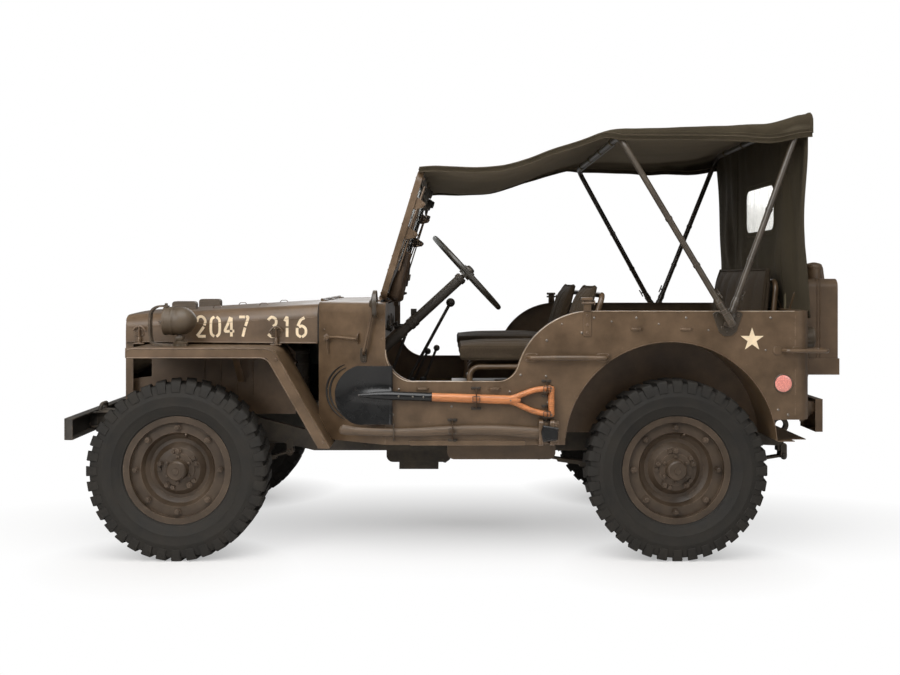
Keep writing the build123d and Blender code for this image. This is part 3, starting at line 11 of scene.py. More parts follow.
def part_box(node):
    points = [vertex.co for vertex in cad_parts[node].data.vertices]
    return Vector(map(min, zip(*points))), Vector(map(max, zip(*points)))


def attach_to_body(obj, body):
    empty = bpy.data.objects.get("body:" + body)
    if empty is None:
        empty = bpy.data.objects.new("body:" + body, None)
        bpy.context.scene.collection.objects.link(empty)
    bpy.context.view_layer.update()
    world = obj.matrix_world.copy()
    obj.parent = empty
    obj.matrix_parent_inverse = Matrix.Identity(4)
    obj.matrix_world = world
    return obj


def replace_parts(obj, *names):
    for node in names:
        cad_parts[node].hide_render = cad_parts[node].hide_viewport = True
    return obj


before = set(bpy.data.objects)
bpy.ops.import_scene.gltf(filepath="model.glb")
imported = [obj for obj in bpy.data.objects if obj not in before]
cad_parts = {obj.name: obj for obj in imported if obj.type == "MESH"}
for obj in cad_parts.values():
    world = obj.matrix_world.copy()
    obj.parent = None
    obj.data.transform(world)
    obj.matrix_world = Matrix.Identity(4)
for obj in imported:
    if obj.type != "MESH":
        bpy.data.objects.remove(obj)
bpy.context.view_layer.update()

LOG = logging.getLogger("army_car")
FRONT_AXLE_X = sum(corner.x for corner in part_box("tyre_front_left")) / 2
UP = Vector((0, 0, 1))
Color = tuple[float, float, float]
Point = tuple[float, float, float]


def at(station: float, y: float, z: float) -> Vector:
    """Point that lies a distance behind the front axle."""
    return Vector((FRONT_AXLE_X - station, y, z))


def turns(count: int, first: float = 0.0) -> list[float]:
    """Angles spaced evenly round a full turn."""
    return [first + 2 * math.pi * k / count for k in range(count)]


class Side(IntEnum):
    """Side of the car: the sign of its Y."""

    RIGHT = -1
    LEFT = 1


# Shader helpers


class Graph:
    """Short hand for adding nodes to a tree and joining them."""

    def __init__(self, tree: bpy.types.NodeTree) -> None:
        """Keep the tree that the nodes go into."""
        self.tree = tree

    def add(self, kind: str, inputs: dict | None = None, **settings: object) -> bpy.types.Node:
        """Add one node.

        Args:
            kind: Node type.
            inputs: Socket name or number to a value or to another node's output.
            settings: Properties of the node.

        Returns:
            The new node.
        """
        node = self.tree.nodes.new(kind)
        for name, value in settings.items():
            setattr(node, name, value)
        self.feed(node, inputs or {})
        return node

    def feed(self, node: bpy.types.Node, inputs: dict) -> None:
        """Link a node's sockets to other nodes' outputs, or set plain values on them."""
        for name, value in inputs.items():
            if isinstance(value, bpy.types.NodeSocket):
                self.tree.links.new(value, node.inputs[name])
            else:
                node.inputs[name].default_value = value

    def math(self, operation: str, a: object, b: object = 0.0) -> bpy.types.NodeSocket:
        """One math node, clamped to 0..1."""
        return self.add("ShaderNodeMath", {0: a, 1: b}, operation=operation, use_clamp=True).outputs[0]

    def span(self, value: object, low: float, high: float, first: float = 0.0,
             last: float = 1.0) -> bpy.types.NodeSocket:
        """Map a value's range low..high to first..last, clamped."""
        names = ("From Min", "From Max", "To Min", "To Max")
        inputs = dict(zip(names, (low, high, first, last)))
        return self.add("ShaderNodeMapRange", {"Value": value, **inputs}).outputs["Result"]

    def mix(self, share: object, a: object, b: object) -> bpy.types.NodeSocket:
        """Mix two colours."""
        a = (*a, 1) if isinstance(a, tuple) and len(a) == 3 else a
        b = (*b, 1) if isinstance(b, tuple) and len(b) == 3 else b
        node = self.add("ShaderNodeMix", {0: share, 6: a, 7: b}, data_type="RGBA")
        return node.outputs[2]

    def noise(self, vector: object, scale: float, detail: float = 4.0, rough: float = 0.55) -> bpy.types.NodeSocket:
        """Value of a noise texture."""
        inputs = {"Vector": vector, "Scale": scale, "Detail": detail, "Roughness": rough}
        return self.add("ShaderNodeTexNoise", inputs).outputs[0]

    def stretched(self, vector: object, scale: Point) -> bpy.types.NodeSocket:
        """Vector scaled apart along each axis."""
        return self.add("ShaderNodeMapping", {"Vector": vector, "Scale": scale}).outputs[0]

    def bump(self, height: object, depth: float, strength: float) -> bpy.types.NodeSocket:
        """Normal from a height."""
        inputs = {"Height": height, "Distance": depth, "Strength": strength}
        return self.add("ShaderNodeBump", inputs).outputs[0]


def shade(color: Color, factor: float) -> Color:
    """A colour made darker or lighter, each part at most 1."""
    return tuple(min(1.0, part * factor) for part in color)


def start_group(name: str, inputs: dict[str, object], outputs: dict[str, str]) -> tuple:
    """Start a shader node group.

    Args:
        name: Name of the group.
        inputs: Input name to its default, a number or None for a vector.
        outputs: Output name to its socket type.

    Returns:
        The group's tree, its graph, its input node and its output node.
    """
    tree = bpy.data.node_groups.new(name, "ShaderNodeTree")
    for label, default in inputs.items():
        kind = "NodeSocketVector" if default is None else "NodeSocketFloat"
        socket = tree.interface.new_socket(label, in_out="INPUT", socket_type=kind)
        if default is not None:
            socket.default_value = default
    for label, kind in outputs.items():
        tree.interface.new_socket(label, in_out="OUTPUT", socket_type=kind)
    graph = Graph(tree)
    return tree, graph, graph.add("NodeGroupInput"), graph.add("NodeGroupOutput")


def wear_group() -> bpy.types.NodeTree:
    """Masks of rubbed edges, scratches, dust and tone, shared by all painted metal.

    Returns:
        The node group.
    """
    floats = "NodeSocketFloat"
    outputs = {"Bare": floats, "Dust": floats, "Tone": floats, "Height": floats}
    inputs = {"Vector": None, "Edge": 0.006, "Rub": 0.5, "Dirt": 0.5}
    tree, graph, given, result = start_group("field_wear", inputs, outputs)
    place = given.outputs["Vector"]
    geometry = graph.add("ShaderNodeNewGeometry")
    bevel = graph.add("ShaderNodeBevel", {"Radius": given.outputs["Edge"]}, samples=4)
    facing = graph.add("ShaderNodeVectorMath", {0: bevel.outputs[0], 1: geometry.outputs["Normal"]},
                       operation="DOT_PRODUCT").outputs["Value"]
    edge = graph.span(facing, 0.985, 0.86)
    patches = graph.noise(place, 9.0, 6.0, 0.65)
    chips = graph.noise(place, 62.0, 5.0, 0.7)
    broken = graph.span(graph.math("ADD", graph.math("MULTIPLY", patches, 0.55),
                                   graph.math("MULTIPLY", chips, 0.45)), 0.47, 0.56)
    rubbed = graph.math("MULTIPLY", edge, broken)
    streaks = graph.noise(graph.stretched(place, (3.0, 3.0, 110.0)), 3.0, 6.0, 0.7)
    scratches = graph.math("MULTIPLY", graph.span(streaks, 0.665, 0.70), graph.span(patches, 0.52, 0.62))
    flakes = graph.math("MULTIPLY", graph.span(chips, 0.66, 0.70), graph.span(patches, 0.50, 0.58))
    marks = graph.math("MAXIMUM", graph.math("MULTIPLY", scratches, 0.6), graph.math("MULTIPLY", flakes, 0.7))
    bare = graph.math("MULTIPLY", graph.math("MAXIMUM", rubbed, marks), given.outputs["Rub"])
    split = graph.add("ShaderNodeSeparateXYZ", {0: geometry.outputs["Normal"]})
    level = graph.span(split.outputs[2], 0.25, 0.95)
    low = graph.span(graph.add("ShaderNodeSeparateXYZ", {0: place}).outputs[2], 0.75, 0.25, 0.0, 0.75)
    settled = graph.math("MULTIPLY", graph.math("MAXIMUM", level, low), graph.span(patches, 0.3, 0.72))
    dust = graph.math("MULTIPLY", settled, given.outputs["Dirt"])
    height = graph.math("SUBTRACT", graph.math("MULTIPLY", chips, 0.25), graph.math("MULTIPLY", bare, 0.2))
    for label, socket in (("Bare", bare), ("Dust", dust), ("Tone", patches), ("Height", height)):
        tree.links.new(socket, result.inputs[label])
    return tree


def weave_group() -> bpy.types.NodeTree:
    """Crossed threads with slubs and soft creases, shared by all cloth.

    Returns:
        The node group.
    """
    floats = "NodeSocketFloat"
    inputs = {"Vector": None, "Pitch": 900.0, "Crease": 0.5}
    tree, graph, given, result = start_group("plain_weave", inputs, {"Height": floats, "Tone": floats})
    place = given.outputs["Vector"]
    threads = []
    for direction in ("X", "Y", "Z"):
        wave = graph.add("ShaderNodeTexWave", {"Vector": place, "Scale": given.outputs["Pitch"],
                         "Distortion": 1.5, "Detail": 1.0}, bands_direction=direction)
        threads.append(wave.outputs["Fac"])
    cross = graph.math("MAXIMUM", threads[0], threads[1])
    cross = graph.math("MULTIPLY", graph.math("ADD", graph.math("MULTIPLY", cross, 0.5),
                       graph.math("MULTIPLY", threads[2], 0.5)), 0.35)
    folds = graph.noise(place, 7.0, 5.0, 0.6)
    crease = graph.math("MULTIPLY", folds, given.outputs["Crease"])
    tree.links.new(graph.math("ADD", cross, crease), result.inputs["Height"])
    tone = graph.math("ADD", graph.math("MULTIPLY", graph.noise(place, 3.0, 5.0), 0.7),
                      graph.math("MULTIPLY", graph.noise(place, 160.0, 2.0), 0.3))
    tree.links.new(tone, result.inputs["Tone"])
    return tree


@dataclass(frozen=True)
class Finish:
    """A finish in general: its name and its colours."""

    name: str
    color: Color
    rough: float = 0.6

    def build(self) -> bpy.types.Material:
        """Build the material.

        Returns:
            The material.
        """
        material = bpy.data.materials.new(self.name)
        material.use_nodes = True
        material.diffuse_color = (*self.color, 1)
        graph = Graph(material.node_tree)
        place = graph.add("ShaderNodeTexCoord").outputs["Object"]
        graph.feed(material.node_tree.nodes["Principled BSDF"], self.sockets(graph, place))
        return material

    def sockets(self, graph: Graph, place: bpy.types.NodeSocket) -> dict[str, object]:
        """Values of the shader's sockets.

        Args:
            graph: The material's graph.
            place: The object coordinates.

        Returns:
            Socket name to a plain value or to another node's output.
        """
        raise NotImplementedError


@dataclass(frozen=True)
class PaintFinish(Finish):
    """Old brushed paint on steel with rubbed edges, scratches and settled dust."""

    bare: Color = (0.23, 0.165, 0.12)
    dust: Color = (0.17, 0.135, 0.095)
    rub: float = 0.8
    dirt: float = 0.35
    edge: float = 0.006
    metal: float = 0.0
    coat: float = 0.0

    def sockets(self, graph: Graph, place: bpy.types.NodeSocket) -> dict[str, object]:
        """Values of the shader's sockets."""
        inputs = {"Vector": place, "Edge": self.edge, "Rub": self.rub, "Dirt": self.dirt}
        wear = graph.add("ShaderNodeGroup", inputs, node_tree=bpy.data.node_groups["field_wear"]).outputs
        patches = graph.span(wear["Tone"], 0.32, 0.68)
        tone = graph.mix(patches, shade(self.color, 0.72), shade(self.color, 1.32))
        dusty = graph.mix(wear["Dust"], tone, self.dust)
        rough = graph.span(wear["Tone"], 0.3, 0.7, self.rough - 0.1, self.rough + 0.12)
        return {
            "Base Color": graph.mix(wear["Bare"], dusty, self.bare),
            "Roughness": graph.math("ADD", rough, graph.math("MULTIPLY", wear["Dust"], 0.35)),
            "Metallic": graph.math("MAXIMUM", graph.math("MULTIPLY", wear["Bare"], 0.8), self.metal),
            "Normal": graph.bump(wear["Height"], 0.0016, 0.5),
            "Specular IOR Level": 0.38,
            "Coat Weight": self.coat,
            "Coat Roughness": 0.28,
        }


@dataclass(frozen=True)
class RubberFinish(Finish):
    """Dull rubber with a bloom of dust and fine grain."""

    dust: Color = (0.075, 0.062, 0.047)
    share: float = 0.6

    def sockets(self, graph: Graph, place: bpy.types.NodeSocket) -> dict[str, object]:
        """Values of the shader's sockets."""
        cloud = graph.noise(place, 11.0, 6.0, 0.6)
        grain = graph.noise(place, 480.0, 3.0, 0.6)
        mask = graph.math("MULTIPLY", graph.span(cloud, 0.35, 0.7), self.share)
        return {
            "Base Color": graph.mix(mask, self.color, self.dust),
            "Roughness": graph.span(cloud, 0.3, 0.7, self.rough, min(1.0, self.rough + 0.15)),
            "Normal": graph.bump(grain, 0.0012, 0.6),
            "Specular IOR Level": 0.30,
        }


@dataclass(frozen=True)
class ClothFinish(Finish):
    """Waxed cotton duck: weave, creases, fading and stains; where an underside colour is given, faces that look down
    take it as painted bounce light.
    """

    pitch: float = 420.0
    crease: float = 0.8
    fade: float = 1.5
    sheen: float = 0.25
    depth: float = 0.0022
    under: Color | None = None

    def sockets(self, graph: Graph, place: bpy.types.NodeSocket) -> dict[str, object]:
        """Values of the shader's sockets."""
        inputs = {"Vector": place, "Pitch": self.pitch, "Crease": self.crease}
        weave = graph.add("ShaderNodeGroup", inputs, node_tree=bpy.data.node_groups["plain_weave"]).outputs
        worn = graph.span(weave["Tone"], 0.3, 0.68)
        color = graph.mix(worn, shade(self.color, 0.62), shade(self.color, self.fade))
        # Faces that look down mix towards a lighter colour: painted bounce light from the floor.
        if self.under:
            normal = graph.add("ShaderNodeNewGeometry").outputs["Normal"]
            upright = graph.add("ShaderNodeSeparateXYZ", {0: normal}).outputs[2]
            painted_bounce_light = graph.mix(weave["Tone"], shade(self.under, 0.7), self.under)
            color = graph.mix(graph.span(upright, 0.0, -0.55), color, painted_bounce_light)
        return {
            "Base Color": color,
            "Roughness": graph.span(weave["Tone"], 0.3, 0.7, self.rough, min(1.0, self.rough + 0.12)),
            "Normal": graph.bump(weave["Height"], self.depth, 0.8),
            "Specular IOR Level": 0.15,
            "Sheen Tint": (*shade(self.color, 6.0), 1),
            "Sheen Weight": self.sheen,
            "Sheen Roughness": 0.5,
        }


@dataclass(frozen=True)
class WoodFinish(Finish):
    """Ash wood with long grain and handled, darkened places."""

    dark: Color = (0.12, 0.05, 0.02)

    def sockets(self, graph: Graph, place: bpy.types.NodeSocket) -> dict[str, object]:
        """Values of the shader's sockets."""
        warp = graph.noise(graph.stretched(place, (2.5, 30.0, 30.0)), 3.0, 3.0)
        grain = graph.noise(graph.stretched(place, (9.0, 260.0, 260.0)), 1.5, 6.0, 0.65)
        share = graph.math("MULTIPLY", graph.span(grain, 0.4, 0.62), graph.span(warp, 0.3, 0.75, 0.35, 1.0))
        return {
            "Base Color": graph.mix(share, self.color, self.dark),
            "Roughness": graph.span(grain, 0.3, 0.7, self.rough - 0.1, self.rough + 0.1),
            "Normal": graph.bump(grain, 0.0008, 0.5),
        }


@dataclass(frozen=True)
class GlassFinish(Finish):
    """Clear or coloured glass with a little film on it."""

    film: float = 0.12

    def sockets(self, graph: Graph, place: bpy.types.NodeSocket) -> dict[str, object]:
        """Values of the shader's sockets."""
        smear = graph.noise(graph.stretched(place, (6.0, 6.0, 2.0)), 3.0, 4.0)
        return {
            "Base Color": (*self.color, 1),
            "Transmission Weight": 1.0,
            "IOR": 1.45,
            "Roughness": graph.span(smear, 0.35, 0.75, self.rough, self.rough + self.film),
            "Normal": graph.bump(smear, 0.0004, 0.2),
        }


@dataclass(frozen=True)
class LensFinish(Finish):
    """Pressed reflector glass: a bright colour under a clear face with small prisms."""

    def sockets(self, graph: Graph, place: bpy.types.NodeSocket) -> dict[str, object]:
        """Values of the shader's sockets."""
        cells = graph.add("ShaderNodeTexVoronoi", {"Vector": place, "Scale": 190.0}).outputs["Distance"]
        return {
            "Base Color": graph.mix(graph.span(cells, 0.1, 0.6), self.color, shade(self.color, 0.7)),
            "Roughness": self.rough,
            "Normal": graph.bump(cells, 0.0008, 0.5),
            "Coat Weight": 0.6,
            "Coat Roughness": 0.08,
        }


OLIVE: Color = (0.093, 0.057, 0.030)
FINISHES: dict[str, Finish] = {
    "body_paint": PaintFinish("olive_body_paint", OLIVE, 0.40, dirt=0.12, coat=0.25),
    "wheel_paint": PaintFinish("olive_wheel_paint", (0.046, 0.030, 0.018), 0.46, rub=0.6, dirt=0.12),
    "lamp_paint": PaintFinish("olive_lamp_paint", (0.070, 0.050, 0.031), 0.42, rub=0.6, dirt=0.1),
    "chassis": PaintFinish("dark_chassis_paint", (0.030, 0.024, 0.018), 0.6, rub=0.45, dirt=0.6),
    "bumper_paint": PaintFinish("dark_bumper_paint", (0.030, 0.027, 0.023), 0.55, rub=0.7, dirt=0.2),
    "engine_paint": PaintFinish("engine_grey_paint", (0.045, 0.045, 0.038), 0.55, rub=0.3, dirt=0.6),
    "exhaust_steel": PaintFinish("rusty_exhaust", (0.09, 0.045, 0.025), 0.75, rub=0.3, dirt=0.5),
    "bow_steel": PaintFinish("bow_paint", (0.042, 0.031, 0.020), 0.36, rub=0.8, dirt=0.1, edge=0.003, coat=0.3),
    "tool_steel": PaintFinish("black_tool_steel", (0.006, 0.006, 0.006), 0.22, rub=0.3, dirt=0.01, coat=0.08),
    "bright_steel": PaintFinish("worn_bare_steel", (0.20, 0.18, 0.155), 0.38, rub=0.9, dirt=0.25, metal=0.9),
    # Light paint of the tub's rim line: rubbed paint and a painted highlight of the lit edge.
    "worn_and_highlit_edge": PaintFinish("worn_and_highlit_edge_paint", (0.30, 0.22, 0.15), 0.42, rub=0.9, dirt=0.1,
                               bare=(0.50, 0.45, 0.38)),
    "star_paint": PaintFinish("cream_marking_paint", (0.70, 0.56, 0.38), 0.6, bare=(0.16, 0.12, 0.08), rub=0.9,
                              dirt=0.2, dust=(0.40, 0.31, 0.21)),
    "tyre": RubberFinish("tyre_rubber", (0.013, 0.0115, 0.0095), 0.66, share=0.16),
    "rubber": RubberFinish("black_rubber", (0.012, 0.012, 0.012), 0.55, share=0.3),
    "steering_rim": PaintFinish("dark_rim_enamel", (0.028, 0.024, 0.018), 0.3, rub=0.5, dirt=0.1, coat=0.4),
    "wood": WoodFinish("rest_wood", (0.085, 0.060, 0.038), 0.6, dark=(0.035, 0.025, 0.016)),
    "tool_wood": WoodFinish("orange_ash_wood", (0.56, 0.20, 0.065), 0.40),
    "painted_wood": WoodFinish("olive_painted_wood", (0.105, 0.067, 0.038), 0.55, dark=(0.04, 0.026, 0.015)),
    # The canvas's underside colour is painted bounce light on the faces that look down.
    "canvas": ClothFinish("olive_canvas", (0.036, 0.028, 0.017), 0.86, under=(0.230, 0.190, 0.135)),
    "curtain_canvas": ClothFinish("curtain_canvas", (0.040, 0.032, 0.020), 0.86),
    "seat_canvas": ClothFinish("seat_duck", (0.044, 0.031, 0.019), 0.72, pitch=520.0, crease=0.5, sheen=0.1),
    "webbing": ClothFinish("strap_webbing", (0.11, 0.092, 0.058), 0.82, pitch=700.0, crease=0.2),
    "bag_leather": ClothFinish("brown_bag_hide", (0.052, 0.033, 0.020), 0.5, pitch=90.0, crease=0.6, sheen=0.1),
    "strap_hide": ClothFinish("strap_hide", (0.026, 0.017, 0.011), 0.45, pitch=120.0, crease=0.3, sheen=0.05),
    "dial_face": PaintFinish("black_dial_face", (0.012, 0.012, 0.012), 0.35, rub=0.1, dirt=0.1),
    "mirror_glass": PaintFinish("silvered_mirror", (0.55, 0.56, 0.55), 0.08, rub=0.1, dirt=0.1, metal=1.0),
    "glass": GlassFinish("window_glass", (0.95, 0.98, 0.96), 0.02),
    "window_film": GlassFinish("clear_window_film", (0.96, 0.95, 0.90), 0.08, film=0.2),
    "lamp_glass": LensFinish("lamp_lens_glass", (0.62, 0.60, 0.54), 0.12),
    "red_lens": LensFinish("red_reflector_glass", (0.90, 0.33, 0.27), 0.2),
}
NODE_FINISH = {
    "body_paint": ("cowl", "hood", "tub_side_left", "tub_side_right", "tub_rear_panel", "tub_floor", "wheel_wells",
                   "fender_left", "fender_right", "grille", "windshield_frame", "can_holder", "jerry_can",
                   "rear_fittings", "grab_handles", "mirror", "driver_seat_frame", "passenger_seat_frame",
                   "rear_seat_frame", "fuel_tank"),
    "wheel_paint": ("wheel_front_left", "wheel_front_right", "wheel_rear_left", "wheel_rear_right", "spare_wheel"),
    "lamp_paint": ("lamps",),
    "chassis": ("frame", "front_axle", "rear_axle", "knuckle_left", "knuckle_right", "tie_rod", "leaf_springs",
                "drive_shafts", "transfer_case", "tow_hook", "radiator", "steering_column", "levers"),
    "bumper_paint": ("front_bumper",),
    "engine_paint": ("engine",),
    "exhaust_steel": ("exhaust",),
    "bow_steel": ("top_bows",),
    "steering_rim": ("steering_wheel",),
    "wood": ("hood_blocks",),
    "glass": ("windshield_glass",),
}
MATERIALS: dict[str, bpy.types.Material] = {}


def build_finishes() -> None:
    """Build the shared groups and every material, and dress the CAD nodes that stay."""
    wear_group()
    weave_group()
    for key, finish in FINISHES.items():
        MATERIALS[key] = finish.build()
    for key, names in NODE_FINISH.items():
        for name in names:
            dress_node(name, key)


def dress_node(name: str, key: str) -> None:
    """Give a CAD node a finish."""
    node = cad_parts[name]
    node.data.materials.clear()
    node.data.materials.append(MATERIALS[key])


# Mesh helpers


def make_piece(name: str, mesh: bpy.types.Mesh, finish: str, body: str = "car",
               smooth: float | None = 35.0) -> bpy.types.Object:
    """Make an object of a mesh, dress it and let it ride on a body.

    Args:
        name: Name of the piece.
        mesh: Its mesh, placed in the row frame.
        finish: Key of its finish.
        body: CAD body that carries it.
        smooth: Angle in degrees under which faces shade smoothly, or None for flat faces.

    Returns:
        The object.
    """
    mesh.name = name
    mesh.materials.clear()
    mesh.materials.append(MATERIALS[finish])
    if smooth is not None:
        mesh.shade_smooth()
        mesh.set_sharp_from_angle(angle=math.radians(smooth))
    piece = bpy.data.objects.new(name, mesh)
    bpy.context.scene.collection.objects.link(piece)
    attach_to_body(piece, body)
    return piece


def attach(piece: bpy.types.Object, owner: bpy.types.Object) -> None:
    """Make a piece the child of another, and leave it where it is."""
    piece.parent = owner
    piece.matrix_parent_inverse = owner.matrix_world.inverted()


def finish_mesh(work: bmesh.types.BMesh, name: str = "mesh", outward: bool = True) -> bpy.types.Mesh:
    """Turn a work mesh into mesh data with normals outward."""
    if outward:
        bmesh.ops.recalc_face_normals(work, faces=work.faces)
    mesh = bpy.data.meshes.new(name)
    work.to_mesh(mesh)
    work.free()
    return mesh


def with_modifiers(mesh: bpy.types.Mesh, *modifiers: tuple[str, dict]) -> bpy.types.Mesh:
    """Apply modifiers to a mesh and return the result."""
    holder = bpy.data.objects.new("holder", mesh)
    bpy.context.scene.collection.objects.link(holder)
    for kind, settings in modifiers:
        modifier = holder.modifiers.new(kind.lower(), kind)
        for key, value in settings.items():
            setattr(modifier, key, value)
    graph = bpy.context.evaluated_depsgraph_get()
    result = bpy.data.meshes.new_from_object(holder.evaluated_get(graph))
    bpy.data.objects.remove(holder)
    return result


def smooth_path(points: list[Vector], per_span: int = 6, closed: bool = False) -> list[Vector]:
    """Points on a smooth curve through the given ones.

    Args:
        points: Points the curve goes through.
        per_span: Points made for each span.
        closed: Whether the curve returns to its start.

    Returns:
        The points, without a repeated end where closed.
    """
    count = len(points)
    made = []
    for index in range(count if closed else count - 1):
        pick = [points[(index + step) % count] if closed else points[min(max(index + step, 0), count - 1)]
                for step in (-1, 0, 1, 2)]
        for part in range(per_span):
            t = part / per_span
            a, b, c, d = pick
            made.append(0.5 * (2 * b + (c - a) * t + (2 * a - 5 * b + 4 * c - d) * t * t
                               + (3 * b - a - 3 * c + d) * t ** 3))
    if not closed:
        made.append(points[-1].copy())
    return made


def round_profile(radius: float, sides: int = 12, flat: float = 1.0) -> list[tuple[float, float]]:
    """Round or oval section."""
    return [(radius * math.cos(a), radius * flat * math.sin(a)) for a in turns(sides)]


def strap_profile(width: float, thick: float) -> list[tuple[float, float]]:
    """Flat section with softened edges."""
    a, b = width / 2, thick / 2
    return [(-a, -b * 0.5), (-a + b, -b), (a - b, -b), (a, -b * 0.5), (a, b * 0.5), (a - b, b), (-a + b, b),
            (-a, b * 0.5)]


def sweep(work: bmesh.types.BMesh, path: list[Vector], profile: list[tuple[float, float]],
          up: Vector = UP, closed: bool = False, scales: list[float] | None = None) -> None:
    """Sweep a section along a path.

    Args:
        work: Mesh to add to.
        path: Points of the path.
        profile: Section, first number sideways, second along up.
        up: Direction of the section's second number at the start.
        closed: Whether the path returns to its start.
        scales: Size of the section at each point.
    """
    rings = []
    count = len(path)
    side = None
    for index, point in enumerate(path):
        before = path[(index - 1) % count] if closed or index else point
        after = path[(index + 1) % count] if closed or index < count - 1 else point
        ahead = (after - before).normalized()
        if side is None:
            side = ahead.cross(up)
            side = side.normalized() if side.length > 1e-5 else ahead.orthogonal().normalized()
        side = (side - ahead * side.dot(ahead)).normalized()
        over = side.cross(ahead)
        size = scales[index] if scales else 1.0
        rings.append([work.verts.new(point + side * a * size + over * b * size) for a, b in profile])
    spans = count if closed else count - 1
    wide = len(profile)
    for index in range(spans):
        first, second = rings[index], rings[(index + 1) % count]
        for k in range(wide):
            work.faces.new((first[k], first[(k + 1) % wide], second[(k + 1) % wide], second[k]))
    if not closed:
        work.faces.new(rings[0][::-1])
        work.faces.new(rings[-1])


def add_block(work: bmesh.types.BMesh, centre: Vector, size: Point, turn: Matrix | None = None,
              edge: float = 0.0) -> None:
    """Add a block with softened edges.

    Args:
        work: Mesh to add to.
        centre: Middle of the block.
        size: Its three sizes.
        turn: Its rotation.
        edge: Width of the softened edges.
    """
    placed = Matrix.Translation(centre) @ (turn.to_4x4() if turn else Matrix()) @ Matrix.Diagonal((*size, 1))
    made = bmesh.ops.create_cube(work, size=1.0, matrix=placed)
    if edge > 0:
        edges = list({e for v in made["verts"] for e in v.link_edges})
        bmesh.ops.bevel(work, geom=edges, offset=edge, segments=2, affect="EDGES", profile=0.5)


def add_lathe(work: bmesh.types.BMesh, profile: list[tuple[float, float]], origin: Vector, axis: Vector,
              steps: int = 32) -> None:
    """Turn a profile round an axis.

    Args:
        work: Mesh to add to.
        profile: Radius and height of each point, ends on the axis where the radius is 0.
        origin: Point on the axis at height 0.
        axis: Direction of the height.
        steps: Faces round the axis.
    """
    axis = axis.normalized()
    first = axis.orthogonal().normalized()
    second = axis.cross(first)
    rings = []
    for radius, height in profile:
        if radius <= 1e-6:
            rings.append([work.verts.new(origin + axis * height)])
            continue
        rings.append([work.verts.new(origin + axis * height + (first * math.cos(a) + second * math.sin(a)) * radius)
                      for a in turns(steps)])
    for low, high in zip(rings, rings[1:]):
        for k in range(steps):
            a, b = low[k % len(low)], low[(k + 1) % len(low)]
            c, d = high[(k + 1) % len(high)], high[k % len(high)]
            corners = [v for n, v in enumerate((a, b, c, d)) if v not in (a, b, c, d)[:n]]
            if len(corners) > 2:
                work.faces.new(corners)


# Repeated pieces by geometry nodes


def geometry_group(name: str, inputs: dict[str, str]) -> tuple:
    """Start a Geometry Nodes tree.

    Args:
        name: Name of the tree.
        inputs: Input name to its socket type.

    Returns:
        Tree, graph, input node, output node and the identifier of each input.
    """
    tree = bpy.data.node_groups.new(name, "GeometryNodeTree")
    tree.interface.new_socket("Geometry", in_out="INPUT", socket_type="NodeSocketGeometry")
    keys = {label: tree.interface.new_socket(label, in_out="INPUT", socket_type=kind).identifier
            for label, kind in inputs.items()}
    tree.interface.new_socket("Geometry", in_out="OUTPUT", socket_type="NodeSocketGeometry")
    graph = Graph(tree)
    return tree, graph, graph.add("NodeGroupInput"), graph.add("NodeGroupOutput"), keys


